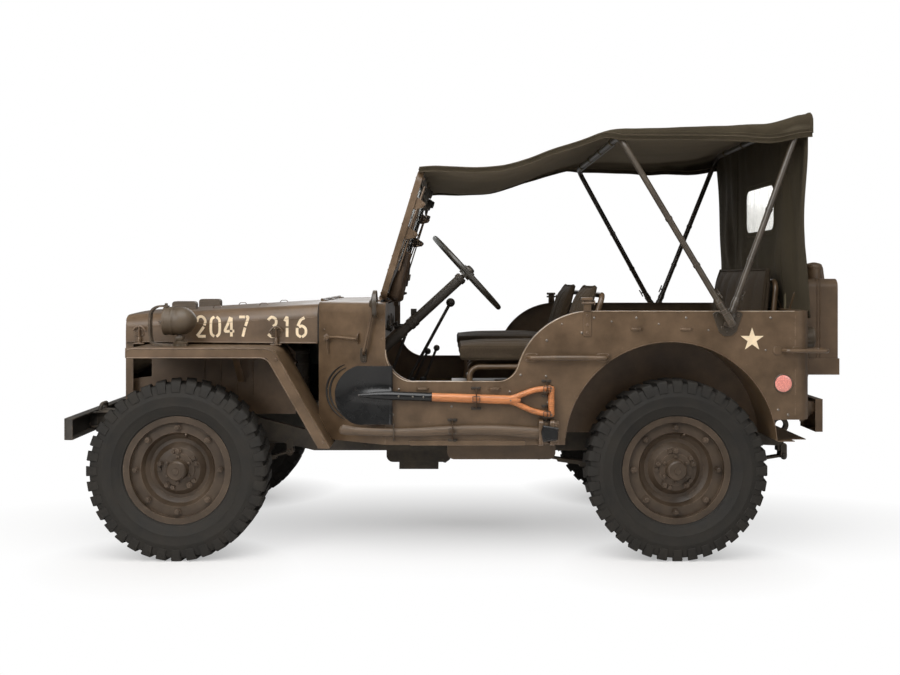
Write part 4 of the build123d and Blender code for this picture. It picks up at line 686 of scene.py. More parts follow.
class Repeater:
    """Stands a small part on every point of a point mesh, or round a circle."""

    def __init__(self) -> None:
        """Build both trees."""
        self.trees = {}
        given_types = {"Part": "NodeSocketObject", "Size": "NodeSocketFloat", "Material": "NodeSocketMaterial"}
        for name, extra in (("stand_on_points", {}), ("stand_round_circle", {
                "Count": "NodeSocketInt", "Radius": "NodeSocketFloat"})):
            tree, graph, given, result, keys = geometry_group(name, {**given_types, **extra})
            part = graph.add("GeometryNodeObjectInfo", {"Object": given.outputs["Part"]})
            if extra:
                circle = graph.add("GeometryNodeMeshCircle", {"Vertices": given.outputs["Count"],
                                                              "Radius": given.outputs["Radius"]})
                points, facing = circle.outputs[0], graph.add("GeometryNodeInputPosition").outputs[0]
                along = graph.add("FunctionNodeInputVector")
                along.vector = (0, 0, 1)
                along = along.outputs[0]
            else:
                points = given.outputs["Geometry"]
                facing, along = [graph.add("GeometryNodeInputNamedAttribute", {"Name": label},
                                           data_type="FLOAT_VECTOR").outputs[0] for label in ("facing", "along")]
            turn = graph.add("FunctionNodeAlignRotationToVector", {"Vector": facing}, axis="Z")
            turn = graph.add("FunctionNodeAlignRotationToVector", {"Rotation": turn.outputs[0], "Vector": along},
                             axis="X", pivot_axis="Z")
            stand = graph.add("GeometryNodeInstanceOnPoints", {
                "Points": points, "Instance": part.outputs["Geometry"], "Rotation": turn.outputs[0],
                "Scale": given.outputs["Size"]})
            real = graph.add("GeometryNodeRealizeInstances", {"Geometry": stand.outputs[0]})
            dressed = graph.add("GeometryNodeSetMaterial", {"Geometry": real.outputs[0],
                                                            "Material": given.outputs["Material"]})
            tree.links.new(dressed.outputs[0], result.inputs[0])
            self.trees[name] = (tree, keys)

    def run(self, name: str, base: bpy.types.Mesh, part: bpy.types.Mesh, finish: str, **values: object
            ) -> bpy.types.Mesh:
        """Run one tree.

        Args:
            name: Name of the tree.
            base: Mesh that carries the modifier.
            part: Small part to repeat.
            finish: Key of the finish.
            values: Values of the tree's other inputs.

        Returns:
            The finished mesh.
        """
        tree, keys = self.trees[name]
        holder = bpy.data.objects.new("holder", base)
        stamp = bpy.data.objects.new("stamp", part)
        bpy.context.scene.collection.objects.link(holder)
        modifier = holder.modifiers.new("repeat", "NODES")
        modifier.node_group = tree
        for label, value in {"Part": stamp, "Size": 1.0, "Material": MATERIALS[finish], **values}.items():
            modifier[keys[label]] = value
        graph = bpy.context.evaluated_depsgraph_get()
        result = bpy.data.meshes.new_from_object(holder.evaluated_get(graph))
        holder.modifiers.remove(modifier)
        bpy.data.objects.remove(holder)
        bpy.data.objects.remove(stamp)
        return result

    def on_points(self, places: list[tuple[Vector, Vector, Vector]], part: bpy.types.Mesh, finish: str,
                  size: float = 1.0) -> bpy.types.Mesh:
        """Stand a part on points: each place has a point, the way it faces and the way it runs."""
        base = bpy.data.meshes.new("points")
        base.from_pydata([tuple(place[0]) for place in places], [], [])
        for column, label in ((1, "facing"), (2, "along")):
            store = base.attributes.new(label, "FLOAT_VECTOR", "POINT")
            store.data.foreach_set("vector", [value for place in places for value in place[column]])
        return self.run("stand_on_points", base, part, finish, Size=size)

    def round_circle(self, count: int, radius: float, part: bpy.types.Mesh, finish: str) -> bpy.types.Mesh:
        """Stand a part round a circle in the XY plane, its Z outward."""
        return self.run("stand_round_circle", bpy.data.meshes.new("ring"), part, finish, Count=count, Radius=radius)


def hex_head(radius: float, height: float) -> bpy.types.Mesh:
    """Hexagon head on a washer, standing on Z 0."""
    work = bmesh.new()
    wide = radius * 1.35
    add_lathe(work, [(0, -height * 0.2), (wide, -height * 0.2), (wide, height * 0.12), (0, height * 0.12)],
              Vector(), UP, 12)
    add_lathe(work, [(0, height * 0.1), (radius, height * 0.1), (radius, height * 0.85), (radius * 0.8, height),
                     (0, height)], Vector(), UP, 6)
    return finish_mesh(work, "hex_head")


def dome_head(radius: float, height: float) -> bpy.types.Mesh:
    """Low dome of a rivet or carriage bolt, standing on Z 0."""
    work = bmesh.new()
    add_lathe(work, [(0, -height * 0.2), (radius, -height * 0.2), (radius, height * 0.25),
                     (radius * 0.75, height * 0.75), (radius * 0.4, height * 0.96), (0, height)], Vector(), UP, 10)
    return finish_mesh(work, "dome_head")


def stitch_part(length: float, thick: float) -> bpy.types.Mesh:
    """One stitch: a short bowed thread along X."""
    work = bmesh.new()
    half = length / 2
    path = [Vector((-half, 0, -thick)), Vector((-half * 0.6, 0, thick * 0.4)), Vector((half * 0.6, 0, thick * 0.4)),
            Vector((half, 0, -thick))]
    sweep(work, path, round_profile(thick, 4))
    return finish_mesh(work, "stitch")


def run_of_stitches(path: list[Vector], facing: Vector, pitch: float) -> list[tuple[Vector, Vector, Vector]]:
    """Places of stitches spaced evenly along a path."""
    places, carried = [], 0.0
    for first, second in zip(path, path[1:]):
        reach = (second - first).length
        while carried < reach:
            ahead = (second - first).normalized()
            places.append((first + ahead * carried, facing, ahead))
            carried += pitch
        carried -= reach
    return places


# Tyres and wheels


@dataclass
class RoadTyre:
    """Military tyre with square shoulder lugs that meet in a zigzag along the middle."""

    radius: float = 0.3675
    tread_floor: float = 0.3545
    tread_half: float = 0.0765
    lugs: int = 36
    lug_half: float = 0.0205

    def profile(self) -> list[tuple[float, float]]:
        """Half section from bead to tread: radius and distance from the middle plane."""
        return [
            (0.2035, 0.0485), (0.2035, 0.0535), (0.2160, 0.0535), (0.2225, 0.0560), (0.2260, 0.0625),
            (0.2285, 0.0632), (0.2310, 0.0640), (0.2345, 0.0660), (0.2480, 0.0725), (0.2620, 0.0775),
            (0.2640, 0.0790), (0.2665, 0.0785), (0.2780, 0.0805), (0.2960, 0.0815), (0.3000, 0.0825),
            (0.3030, 0.0825), (0.3060, 0.0812), (0.3200, 0.0785), (0.3330, 0.0755), (0.3450, 0.0735),
            (0.3520, 0.0700), (self.tread_floor, 0.0620), (self.tread_floor, 0.0300), (self.tread_floor, 0.0),
        ]

    def lug(self, side: int, shift: float) -> bpy.types.Mesh:
        """One lug in its own frame: Z outward, X across the tread.

        Args:
            side: 1 or -1, the shoulder it stands on.
            shift: Distance along the tread.

        Returns:
            The lug's mesh.
        """
        outline = [
            (0.0015, self.tread_floor - 0.003), (0.0015, self.radius), (0.068, self.radius),
            (self.tread_half, self.radius - 0.006), (0.0800, self.radius - 0.030), (0.0812, 0.3200),
            (0.0790, 0.3180),
        ]
        work = bmesh.new()
        rings = []
        for way in (-1, 1):
            ring = []
            for across, height in outline:
                narrow = 0.80 if height < self.radius - 0.02 else 1.0
                slant = (0.030 - across) * 0.45 if across < 0.03 else 0.0
                half = self.lug_half * narrow * (0.92 if across < 0.03 else 1.0)
                bend = height - math.sqrt(max(height ** 2 - (way * half + shift) ** 2, 0)) if height > 0.3 else 0.0
                ring.append(work.verts.new((side * across, way * half + slant * side + shift,
                                            height - self.tread_floor - bend)))
            rings.append(ring)
        count = len(outline)
        for k in range(count):
            work.faces.new((rings[0][k], rings[0][(k + 1) % count], rings[1][(k + 1) % count], rings[1][k]))
        work.faces.new(rings[0])
        work.faces.new(rings[1])
        bmesh.ops.recalc_face_normals(work, faces=work.faces)
        top = [e for e in work.edges if all(v.co.z > self.radius - self.tread_floor - 0.008 for v in e.verts)]
        bmesh.ops.bevel(work, geom=top, offset=0.0018, segments=1, affect="EDGES")
        return finish_mesh(work, "lug")

    def mesh(self, repeater: Repeater) -> bpy.types.Mesh:
        """The whole tyre round the Z axis, outer face up.

        Args:
            repeater: Builder of repeated parts.

        Returns:
            The tyre's mesh.
        """
        work = bmesh.new()
        half = self.profile()
        section = half + [(r, -h) for r, h in reversed(half[:-1])]
        add_lathe(work, section + [section[0]], Vector(), UP, 96)
        bmesh.ops.remove_doubles(work, verts=work.verts, dist=1e-6)
        pitch = math.pi / self.lugs * self.radius
        for side, shift in ((1, 0.0), (-1, pitch)):
            ring = repeater.round_circle(self.lugs, self.tread_floor, self.lug(side, shift), "tyre")
            work.from_mesh(ring)
        return finish_mesh(work, "tyre", outward=False)


@dataclass
class Wheels:
    """The four road wheels and the spare, dressed on their CAD rims."""

    places: tuple[tuple[str, str, Point], ...] = (
        ("front_left", "wheel_front_left", (0, 1, 0)), ("front_right", "wheel_front_right", (0, -1, 0)),
        ("rear_left", "wheel_rear_left", (0, 1, 0)), ("rear_right", "wheel_rear_right", (0, -1, 0)),
        ("spare", "car", (-1, 0, 0)),
    )
    nut_circle: float = 0.172
    stud_circle: float = 0.077

    def stand(self, node: str, outward: Point) -> Matrix:
        """Matrix that carries a wheel's own frame to its place."""
        low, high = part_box(node)
        axis = Vector(outward)
        turn = Matrix((UP, UP.cross(axis), axis)).transposed().to_4x4()
        return Matrix.Translation((low + high) / 2) @ turn

    def build(self, repeater: Repeater) -> None:
        """Build tyres, nuts, hub caps and valves."""
        tyre = RoadTyre().mesh(repeater)
        nut = hex_head(0.0095, 0.011)
        ring = repeater.round_circle(8, self.nut_circle, self.turned(nut), "wheel_paint")
        studs = repeater.round_circle(5, self.stud_circle, self.turned(nut), "wheel_paint")
        for name, body, outward in self.places:
            node = f"tyre_{name}" if name != "spare" else "spare_tyre"
            place = self.stand(node, outward)
            mesh = tyre.copy()
            mesh.transform(place)
            piece = make_piece(f"tread_tyre_{name}", mesh, "tyre", body)
            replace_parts(piece, node)
            work = bmesh.new()
            self.add_copy(work, ring, Matrix.Translation((0, 0, 0.047)))
            if name != "spare":
                self.add_copy(work, studs, Matrix.Translation((0, 0, 0.040)))
                add_lathe(work, [(0, 0.084), (0.012, 0.084), (0.013, 0.080), (0.019, 0.079), (0.024, 0.072),
                                 (0.033, 0.070)], Vector(), UP, 24)
                for angle in turns(6):
                    add_block(work, Vector((0.052 * math.cos(angle), 0.052 * math.sin(angle), 0.041)),
                              (0.012, 0.012, 0.010), Matrix.Rotation(angle, 3, "Z"), 0.002)
            sweep(work, [Vector((0.13, 0.03, 0.012)), Vector((0.14, 0.032, 0.034)), Vector((0.145, 0.033, 0.048))],
                  round_profile(0.004, 8))
            work.transform(place)
            make_piece(f"rim_fittings_{name}", finish_mesh(work, outward=True), "wheel_paint", body)
        LOG.info("wheels: %d tyres with %d lugs", len(self.places), RoadTyre().lugs * 2)

    @staticmethod
    def turned(part: bpy.types.Mesh) -> bpy.types.Mesh:
        """A part turned so that it faces along the circle's axis."""
        made = part.copy()
        made.transform(Matrix.Rotation(math.pi / 2, 4, "Y"))
        return made

    @staticmethod
    def add_copy(work: bmesh.types.BMesh, mesh: bpy.types.Mesh, place: Matrix) -> None:
        """Add a placed copy of a mesh."""
        made = mesh.copy()
        made.transform(place)
        work.from_mesh(made)
        bpy.data.meshes.remove(made)


# Canvas top


def along_table(table: list[tuple[float, float]], where: float) -> float:
    """Smooth value between the rows of a table of places and values."""
    if where <= table[0][0]:
        return table[0][1]
    for (low, first), (high, last) in zip(table, table[1:]):
        if where <= high:
            t = (where - low) / (high - low)
            return first + (last - first) * t * t * (3 - 2 * t) if abs(last - first) < 0.012 else (
                first + (last - first) * t)
    return table[-1][1]


@dataclass
class CanvasTop:
    """Canvas roof: sags from the windshield, tight over the bows, with seams, hems and stitches."""

    ridge: list[tuple[float, float]] = field(default_factory=lambda: [
        (0.985, 1.600), (1.033, 1.607), (1.151, 1.602), (1.252, 1.601), (1.361, 1.616), (1.471, 1.654),
        (1.576, 1.697), (1.673, 1.731), (1.742, 1.757), (1.805, 1.768), (2.000, 1.769), (2.232, 1.770),
        (2.418, 1.786), (2.467, 1.798), (2.518, 1.815), (2.558, 1.829), (2.576, 1.826)])
    width: list[tuple[float, float]] = field(default_factory=lambda: [
        (0.985, 0.640), (1.400, 0.668), (1.740, 0.704), (1.800, 0.706), (2.576, 0.706)])
    hem: list[tuple[float, float]] = field(default_factory=lambda: [
        (0.985, 0.012), (1.500, 0.016), (1.740, 0.030), (1.810, 0.052), (2.250, 0.064), (2.560, 0.100),
        (2.576, 0.100)])
    thick: float = 0.003
    edge_round: float = 0.045
    seams: tuple[float, ...] = (-0.245, 0.245)
    # Start, length and depth of each place where the cloth hangs
    sags: tuple[Point, ...] = ((0.985, 0.80, 0.020), (1.83, 0.68, 0.014))

    def point(self, station: float, share: float) -> Vector:
        """Point on the cloth.

        Args:
            station: Distance behind the front axle.
            share: Place across the roof from -1, the right hem, to 1, the left hem.

        Returns:
            The point.
        """
        half = along_table(self.width, station)
        drop = along_table(self.hem, station)
        crest = self.top(station)
        radius = min(self.edge_round, drop)
        flat = half - radius
        run = abs(share) * (flat + radius * math.pi / 2 + max(drop - radius, 0))
        side = 1 if share >= 0 else -1
        if run < flat:
            y, z = run, crest
        elif run < flat + radius * math.pi / 2:
            angle = (run - flat) / radius
            y, z = flat + radius * math.sin(angle), crest - radius * (1 - math.cos(angle))
        else:
            y, z = half, crest - radius - (run - flat - radius * math.pi / 2)
        slack = self.slack(station)
        z -= slack * (1 - (min(abs(y) / half, 1.0)) ** 2)
        spot = Vector((station * 2.6, side * y * 6.0, 3.1))
        fold = noise.noise(Vector((station * 9.0, side * y * 1.6, 0.7))) * 0.0045
        ripple = noise.noise(spot) * 0.006
        loose = 0.35 + slack * 30
        pulls = noise.noise(Vector((station * 2.2, side * y * 13.0, 6.4))) * 0.0055
        pulls += noise.noise(Vector((station * 6.0 + side * y * 5.0, side * y * 9.0 - station * 3.0, 2.2))) * 0.005
        z += pulls * (0.4 + slack * 45)
        z += (fold + ripple) * loose - 0.004
        if abs(share) > 0.93:
            y += noise.noise(Vector((station * 13.0, side * 2.0, 5.0))) * 0.006 - 0.004
        for seam in self.seams:
            z += 0.0016 * math.exp(-(((side * y) - seam) / 0.009) ** 2)
        return at(station, side * y, z)

    def top(self, station: float) -> float:
        """Height of the ridge line, smoothed."""
        step = 0.03
        return sum(along_table(self.ridge, station + k * step) for k in (-1, 0, 1)) / 3

    def slack(self, station: float) -> float:
        """How deep the cloth hangs between its supports at a station."""
        hangs = [math.sin(math.pi * min(max((station - start) / length, 0), 1)) * deep
                 for start, length, deep in self.sags]
        return max(*hangs, 0.0)

    def build(self, repeater: Repeater) -> None:
        """Build the cloth, its hems and its stitches."""
        rows, columns = 190, 110
        first, last = self.ridge[0][0], self.ridge[-1][0]
        work = bmesh.new()
        grid = []
        for i in range(rows + 1):
            station = first + (last - first) * i / rows
            grid.append([work.verts.new(self.point(station, -1 + 2 * j / columns)) for j in range(columns + 1)])
        for i in range(rows):
            for j in range(columns):
                work.faces.new((grid[i][j], grid[i + 1][j], grid[i + 1][j + 1], grid[i][j + 1]))
        area = sum(face.calc_area() for face in work.faces)
        mesh = finish_mesh(work, outward=False)
        if mesh.polygons[rows * columns // 2].normal.z < 0:
            mesh.flip_normals()
        mesh = with_modifiers(mesh, ("SOLIDIFY", {"thickness": self.thick, "offset": -1.0}))
        roof = make_piece("canvas_roof", mesh, "canvas", smooth=70)
        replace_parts(roof, "canopy")
        pieces = [self.hems(), self.stitches(repeater)]
        LOG.info("canvas roof: %.2f square metres", area)

    def hems(self) -> bpy.types.Object:
        """Rolled hems along both sides and both ends."""
        work = bmesh.new()
        count = 120
        first, last = self.ridge[0][0], self.ridge[-1][0]
        stations = [first + (last - first) * k / count for k in range(count + 1)]
        for side in Side:
            sweep(work, [self.point(s, side * 0.985) for s in stations], strap_profile(0.005, 0.022), UP)
        for station in (first + 0.004, last - 0.004):
            line = [self.point(station, -0.98 + 1.96 * k / 80) for k in range(81)]
            sweep(work, line, strap_profile(0.016, 0.0065), UP)
        return make_piece("roof_hems", finish_mesh(work), "canvas")

    def stitches(self, repeater: Repeater) -> bpy.types.Object:
        """Stitches along hems and seams."""
        first, last = self.ridge[0][0] + 0.01, self.ridge[-1][0] - 0.01
        stations = [first + (last - first) * k / 160 for k in range(161)]
        places = []
        for side in Side:
            line = [self.point(s, side * 0.955) + Vector((0, side * 0.0015, 0.0005)) for s in stations]
            places += run_of_stitches(line, Vector((0, side, 0.2)), 0.009)
        for seam in self.seams:
            for offset in (-0.007, 0.007):
                half = [along_table(self.width, s) for s in stations]
                line = [self.point(s, (seam + offset) / (h + 0.03)) + UP * 0.001 for s, h in zip(stations, half)]
                places += run_of_stitches(line, UP, 0.009)
        mesh = repeater.on_points(places, stitch_part(0.006, 0.0007), "webbing")
        return make_piece("roof_stitches", mesh, "webbing", smooth=None)


@dataclass
class RearCurtain:
    """Canvas curtain across the rear, hanging in soft folds, with a clear window."""

    half: float = 0.696
    low: float = 0.988
    high: float = 1.800
    station: float = 2.5688
    window_half: float = 0.220
    window_low: float = 1.366
    window_high: float = 1.573
    window_corner: float = 0.045

    def outline(self, y: float, z: float) -> float:
        """Signed distance to the window's edge, below zero inside."""
        middle = (self.window_low + self.window_high) / 2
        a = abs(y) - self.window_half + self.window_corner
        b = abs(z - middle) - (self.window_high - self.window_low) / 2 + self.window_corner
        return math.hypot(max(a, 0), max(b, 0)) + min(max(a, b), 0) - self.window_corner

    def point(self, y: float, z: float) -> Vector:
        """Point on the cloth at a place across and a height."""
        free = min(max((z - 1.03) / 0.25, 0), 1)
        flat = 1 - math.exp(-(max(self.outline(y, z), 0) / 0.10) ** 2)
        fold = (math.sin(y * 21 + 2.0 * math.sin(z * 2.3)) + 0.6 * math.sin(y * 47 + z * 5)) * 0.007
        fold += noise.noise(Vector((y * 5, z * 3, 8.0))) * 0.014
        inward = free * flat * (0.012 + fold)
        return at(self.station - max(inward, -0.001), y, z)

    def rim(self, grow: float, count: int = 96) -> list[Vector]:
        """Points round the window's edge."""
        points = []
        middle = (self.window_low + self.window_high) / 2
        for angle in turns(count):
            c, s = math.cos(angle), math.sin(angle)
            low, high = 0.0, 0.6
            for _ in range(24):
                mid = (low + high) / 2
                inside = self.outline(c * mid, middle + s * mid) < grow
                low, high = (mid, high) if inside else (low, mid)
            points.append(self.point(c * low, middle + s * low))
        return points

    def build(self, repeater: Repeater) -> None:
        """Build the curtain, its window and its stitches."""
        columns, rows = 150, 96
        work = bmesh.new()
        grid, spots = [], {}
        for i in range(rows + 1):
            z = self.low + (self.high - self.low) * i / rows
            line = []
            for j in range(columns + 1):
                y = -self.half + 2 * self.half * j / columns
                vert = work.verts.new((0, 0, 0))
                spots[vert] = [y, z]
                line.append(vert)
            grid.append(line)
        for i in range(rows):
            for j in range(columns):
                corners = (grid[i][j], grid[i][j + 1], grid[i + 1][j + 1], grid[i + 1][j])
                if sum(self.outline(*spots[v]) < 0 for v in corners) < 3:
                    work.faces.new(corners)
        for vert, spot in spots.items():
            gap = self.outline(*spot)
            if vert.link_faces and gap < 0.0045:
                slope = [(self.outline(spot[0] + 1e-4, spot[1]) - gap) / 1e-4,
                         (self.outline(spot[0], spot[1] + 1e-4) - gap) / 1e-4]
                spot = [spot[0] - slope[0] * gap, spot[1] - slope[1] * gap]
            vert.co = self.point(*spot)
        bmesh.ops.delete(work, geom=[v for v in work.verts if not v.link_faces], context="VERTS")
        area = sum(face.calc_area() for face in work.faces)
        mesh = finish_mesh(work, outward=False)
        if mesh.polygons[0].normal.x > 0:
            mesh.flip_normals()
        mesh = with_modifiers(mesh, ("SOLIDIFY", {"thickness": 0.0025, "offset": 0.0}))
        curtain = make_piece("canvas_curtain", mesh, "curtain_canvas", smooth=70)
        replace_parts(curtain, "rear_curtain")
        frame_work = bmesh.new()
        sweep(frame_work, self.rim(0.010), strap_profile(0.026, 0.004), Vector((1, 0, 0)), closed=True)
        for y in (-0.36, 0.36):
            line = [self.point(y, self.low + (self.high - self.low) * k / 60) for k in range(61)]
            sweep(frame_work, line, strap_profile(0.022, 0.0040), Vector((1, 0, 0)))
        bottom = [self.point(-self.half + 2 * self.half * k / 80, self.low + 0.006) for k in range(81)]
        sweep(frame_work, bottom, strap_profile(0.014, 0.0045), Vector((1, 0, 0)))
        trim = make_piece("curtain_trim", finish_mesh(frame_work), "curtain_canvas")
        places = []
        for grow in (0.003, 0.018):
            loop = self.rim(grow)
            for reach in (-1, 1):
                line = [p + Vector((reach * 0.0028, 0, 0)) for p in loop + loop[:1]]
                places += run_of_stitches(line, Vector((reach, 0, 0)), 0.008)
        thread = make_piece("curtain_stitches", repeater.on_points(places, stitch_part(0.0055, 0.0007), "webbing"),
                            "webbing", smooth=None)
        pane_work = bmesh.new()
        ring = [pane_work.verts.new(p) for p in self.rim(0.006)]
        pane_work.faces.new(ring)
        pane = finish_mesh(pane_work, outward=False)
        pane = with_modifiers(pane, ("SOLIDIFY", {"thickness": 0.0012, "offset": 0.0}))
        pane_piece = make_piece("curtain_window", pane, "window_film")
        LOG.info("rear curtain: %.2f square metres", area)


# Seats


@dataclass
class Pad:
    """A stuffed pad: crowned faces, sides that pull in between the corners, sewn channels and welts."""

    name: str
    centre: Point
    size: Point
    lean: float = 0.0
    channels: int = 0
    crown: float = 0.010
    body: str = "car"
    fill: float = 0.6
    round_top: float = 0.0

    def shape(self, u: float, v: float, w: float) -> Vector:
        """Point of the pad for three shares from -1 to 1: along, across and through."""
        a, b, c = (size / 2 for size in self.size)
        edge_u, edge_v = 1 - abs(u) ** 6, 1 - abs(v) ** 6
        pull = 0.006 * (1 - w * w)
        x = u * (a - pull * (1 - v * v) * abs(u) - 0.012 * abs(u) * (abs(w) ** 6))
        y = v * (b - pull * (1 - u * u) * abs(v) - 0.012 * abs(v) * (abs(w) ** 6))
        thick = c - self.crown + self.crown * (1 - u * u) * (1 - v * v)
        thick -= 0.012 * (1 - edge_u * edge_v) * 0.6
        z = w * thick
        if w > 0 and self.channels:
            step = 2.0 / (self.channels + 1)
            near = min(abs(v - (-1 + step * (k + 1))) for k in range(self.channels))
            z -= 0.010 * math.exp(-(near / 0.035) ** 2) * max(w, 0) * (1 - abs(u) ** 8)
        z += noise.noise(Vector((x * 9, y * 9, self.centre[0] + w))) * 0.003 * w
        top = max(-u - 0.3, 0) ** 2
        y *= 1 - self.round_top * top * 2 * abs(v) ** 3
        if w > 0 and self.round_top:
            z -= 0.030 * top * w
        return Vector((x, y, z))

    def place(self) -> Matrix:
        """Matrix from the pad's own frame to the car."""
        return Matrix.Translation(Vector(self.centre)) @ Matrix.Rotation(self.lean, 4, "Y")

    def build(self) -> bpy.types.Object:
        """Build pad and welts.

        Returns:
            The pad.
        """
        work = bmesh.new()
        bmesh.ops.create_cube(work, size=2.0)
        bmesh.ops.subdivide_edges(work, edges=work.edges, cuts=23, use_grid_fill=True)
        for vert in work.verts:
            vert.co = self.shape(*vert.co)
        work.transform(self.place())
        mesh = with_modifiers(finish_mesh(work), ("SUBSURF", {"levels": 1, "render_levels": 1}))
        pad = make_piece(self.name, mesh, "seat_canvas", self.body, smooth=80)
        trim = bmesh.new()
        for w in (-0.86, 0.86):
            loop = []
            count = 36
            for k in range(4 * count):
                t = -0.97 + 1.94 * (k % count) / count
                u, v = [(t, -0.985), (0.985, t), (-t, 0.985), (-0.985, -t)][k // count]
                loop.append(self.place() @ self.shape(u, v, w))
            sweep(trim, loop, round_profile(0.0036, 6), UP, closed=True)
        welt = make_piece(f"{self.name}_welts", finish_mesh(trim), "seat_canvas", self.body)
        attach(welt, pad)
        return pad


@dataclass
class Seats:
    """Cushions and backs of the two front seats and the rear bench."""

    lean: float = math.atan2(90, 268)

    def pads(self) -> dict[str, list[Pad]]:
        """CAD node to the pads that stand for it."""
        lean = self.lean
        rows = {"seat_pads": [], "passenger_seat_pads": []}
        for node, label, y, body in (("seat_pads", "driver", 0.375, "car"),
                                     ("passenger_seat_pads", "passenger", -0.375, "passenger_seat")):
            rows[node].append(Pad(f"{label}_cushion", tuple(at(1.3743, y, 0.8375)), (0.447, 0.408, 0.094), 0.0, 3,
                                  body=body))
            rows[node].append(Pad(f"{label}_back", tuple(at(1.671, y, 0.985)), (0.286, 0.412, 0.078),
                                  math.pi / 2 - lean, 3, 0.018, body, round_top=0.16))
        rear_lean = math.atan2(30, 330)
        rows["seat_pads"] += [
            Pad("bench_cushion", tuple(at(2.235, 0, 0.7975)), (0.408, 0.856, 0.104), 0.0, 5),
            Pad("bench_back", tuple(at(2.469, 0, 1.030)), (0.330, 0.862, 0.068), math.pi / 2 - rear_lean, 5,
                0.014, round_top=0.05),
        ]
        return rows

    def build(self) -> None:
        """Build all pads."""
        rows = self.pads()
        for node, pads in rows.items():
            made = [pad.build() for pad in pads]
            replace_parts(made[0], node)
        LOG.info("seats: %d pads", sum(map(len, rows.values())))


# Shapes that the fittings are made of


def bent(points: list[Vector], radius: float = 0.012, steps: int = 5) -> list[Vector]:
    """Path through points with rounded corners."""
    path = [points[0]]
    for before, corner, after in zip(points, points[1:], points[2:]):
        ends = []
        for other in (before, after):
            way = other - corner
            ends.append(corner + way.normalized() * min(radius, way.length * 0.45))
        for k in range(steps + 1):
            t = k / steps
            path.append(ends[0].lerp(corner, t).lerp(corner.lerp(ends[1], t), t))
    return path + [points[-1]]


def frame_of(ahead: Vector, up: Vector = UP) -> Matrix:
    """Rotation whose X runs along a direction and whose Z is near up."""
    ahead = ahead.normalized()
    side = up.cross(ahead).normalized()
    return Matrix((ahead, side, ahead.cross(side))).transposed()


class Kit:
    """Mesh of one piece under construction: blocks, rods, straps, plates and turned shapes."""

    def __init__(self, name: str, finish: str, body: str = "car", smooth: float = 35.0) -> None:
        """Start an empty piece."""
        self.name, self.finish, self.body, self.smooth = name, finish, body, smooth
        self.work = bmesh.new()

    def block(self, centre: Vector, size: Point, edge: float = 0.0015, turn: Matrix | None = None) -> None:
        """Add a block with softened edges."""
        add_block(self.work, centre, size, turn, edge)

    def rod(self, points: list[Vector], radius: float, bend: float = 0.012, sides: int = 10,
            flat: float = 1.0, scales: list[float] | None = None, up: Vector = UP) -> None:
        """Add a round or oval rod along straight runs with rounded corners."""
        path = points if scales else bent(points, bend)
        sweep(self.work, path, round_profile(radius, sides, flat), up, scales=scales)

    def strap(self, points: list[Vector], width: float, thick: float, up: Vector, bend: float = 0.01) -> None:
        """Add a flat strap whose face looks along up at its start."""
        sweep(self.work, bent(points, bend), strap_profile(width, thick), up)

    def staple(self, place: Vector, along: Vector, out: Vector, feet: float, top: float, lift: float,
               width: float, thick: float, bend: float) -> None:
        """Add a strap bent to a loop that stands on a face.

        Args:
            place: Middle of the loop, on the face.
            along: Direction from foot to foot.
            out: Direction away from the face.
            feet: Half the distance between the feet.
            top: Half the length of the top.
            lift: Height of the top above the face.
            width: Width of the strap.
            thick: Thickness of the strap.
            bend: Radius of its corners.
        """
        self.strap([place - along * feet, place - along * top + out * lift, place + along * top + out * lift,
                    place + along * feet], width, thick, out, bend)

    def buckle(self, place: Vector, along: Vector, up: Vector, radius: float, sides: int = 8) -> None:
        """Add a wire buckle, where along is half its width and up is half its height."""
        for across, way in ((up, along), (along, up)):
            for sign in (-1, 1):
                middle = place + across * sign
                self.rod([middle - way, middle + way], radius, sides=sides)

    def ring(self, centre: Vector, axis: Vector, radius: float, thick: float, sides: int = 8) -> None:
        """Add a round ring."""
        first = axis.orthogonal().normalized()
        second = axis.normalized().cross(first)
        path = [centre + (first * math.cos(a) + second * math.sin(a)) * radius
                for a in turns(40)]
        sweep(self.work, path, round_profile(thick, sides), axis, closed=True)

    def turned(self, profile: list[tuple[float, float]], origin: Vector, axis: Vector, steps: int = 28) -> None:
        """Add a turned shape."""
        add_lathe(self.work, profile, origin, axis, steps)

    def plate(self, outline: list[tuple[float, float]], origin: Vector, right: Vector, up: Vector,
              thick: float, edge: float = 0.0008) -> None:
        """Add a flat plate cut to an outline.

        Args:
            outline: Corners as distances along right and up.
            origin: Where both distances are 0, on the plate's back.
            right: First direction.
            up: Second direction.
            thick: Thickness, along right x up.
            edge: Width of the softened edges.
        """
        out = right.cross(up).normalized() * thick
        rings = [[self.work.verts.new(origin + right * a + up * b + out * lift) for a, b in outline]
                 for lift in (0, 1)]
        count = len(outline)
        made = [self.work.faces.new((rings[0][k], rings[0][(k + 1) % count], rings[1][(k + 1) % count], rings[1][k]))
                for k in range(count)]
        made += [self.work.faces.new(rings[0][::-1]), self.work.faces.new(rings[1])]
        if edge > 0:
            edges = list(made[-1].edges)
            bmesh.ops.bevel(self.work, geom=edges, offset=edge, segments=1, affect="EDGES")

    def done(self) -> bpy.types.Object:
        """Finish the piece and let it ride on its body."""
        return make_piece(self.name, finish_mesh(self.work), self.finish, self.body, self.smooth)


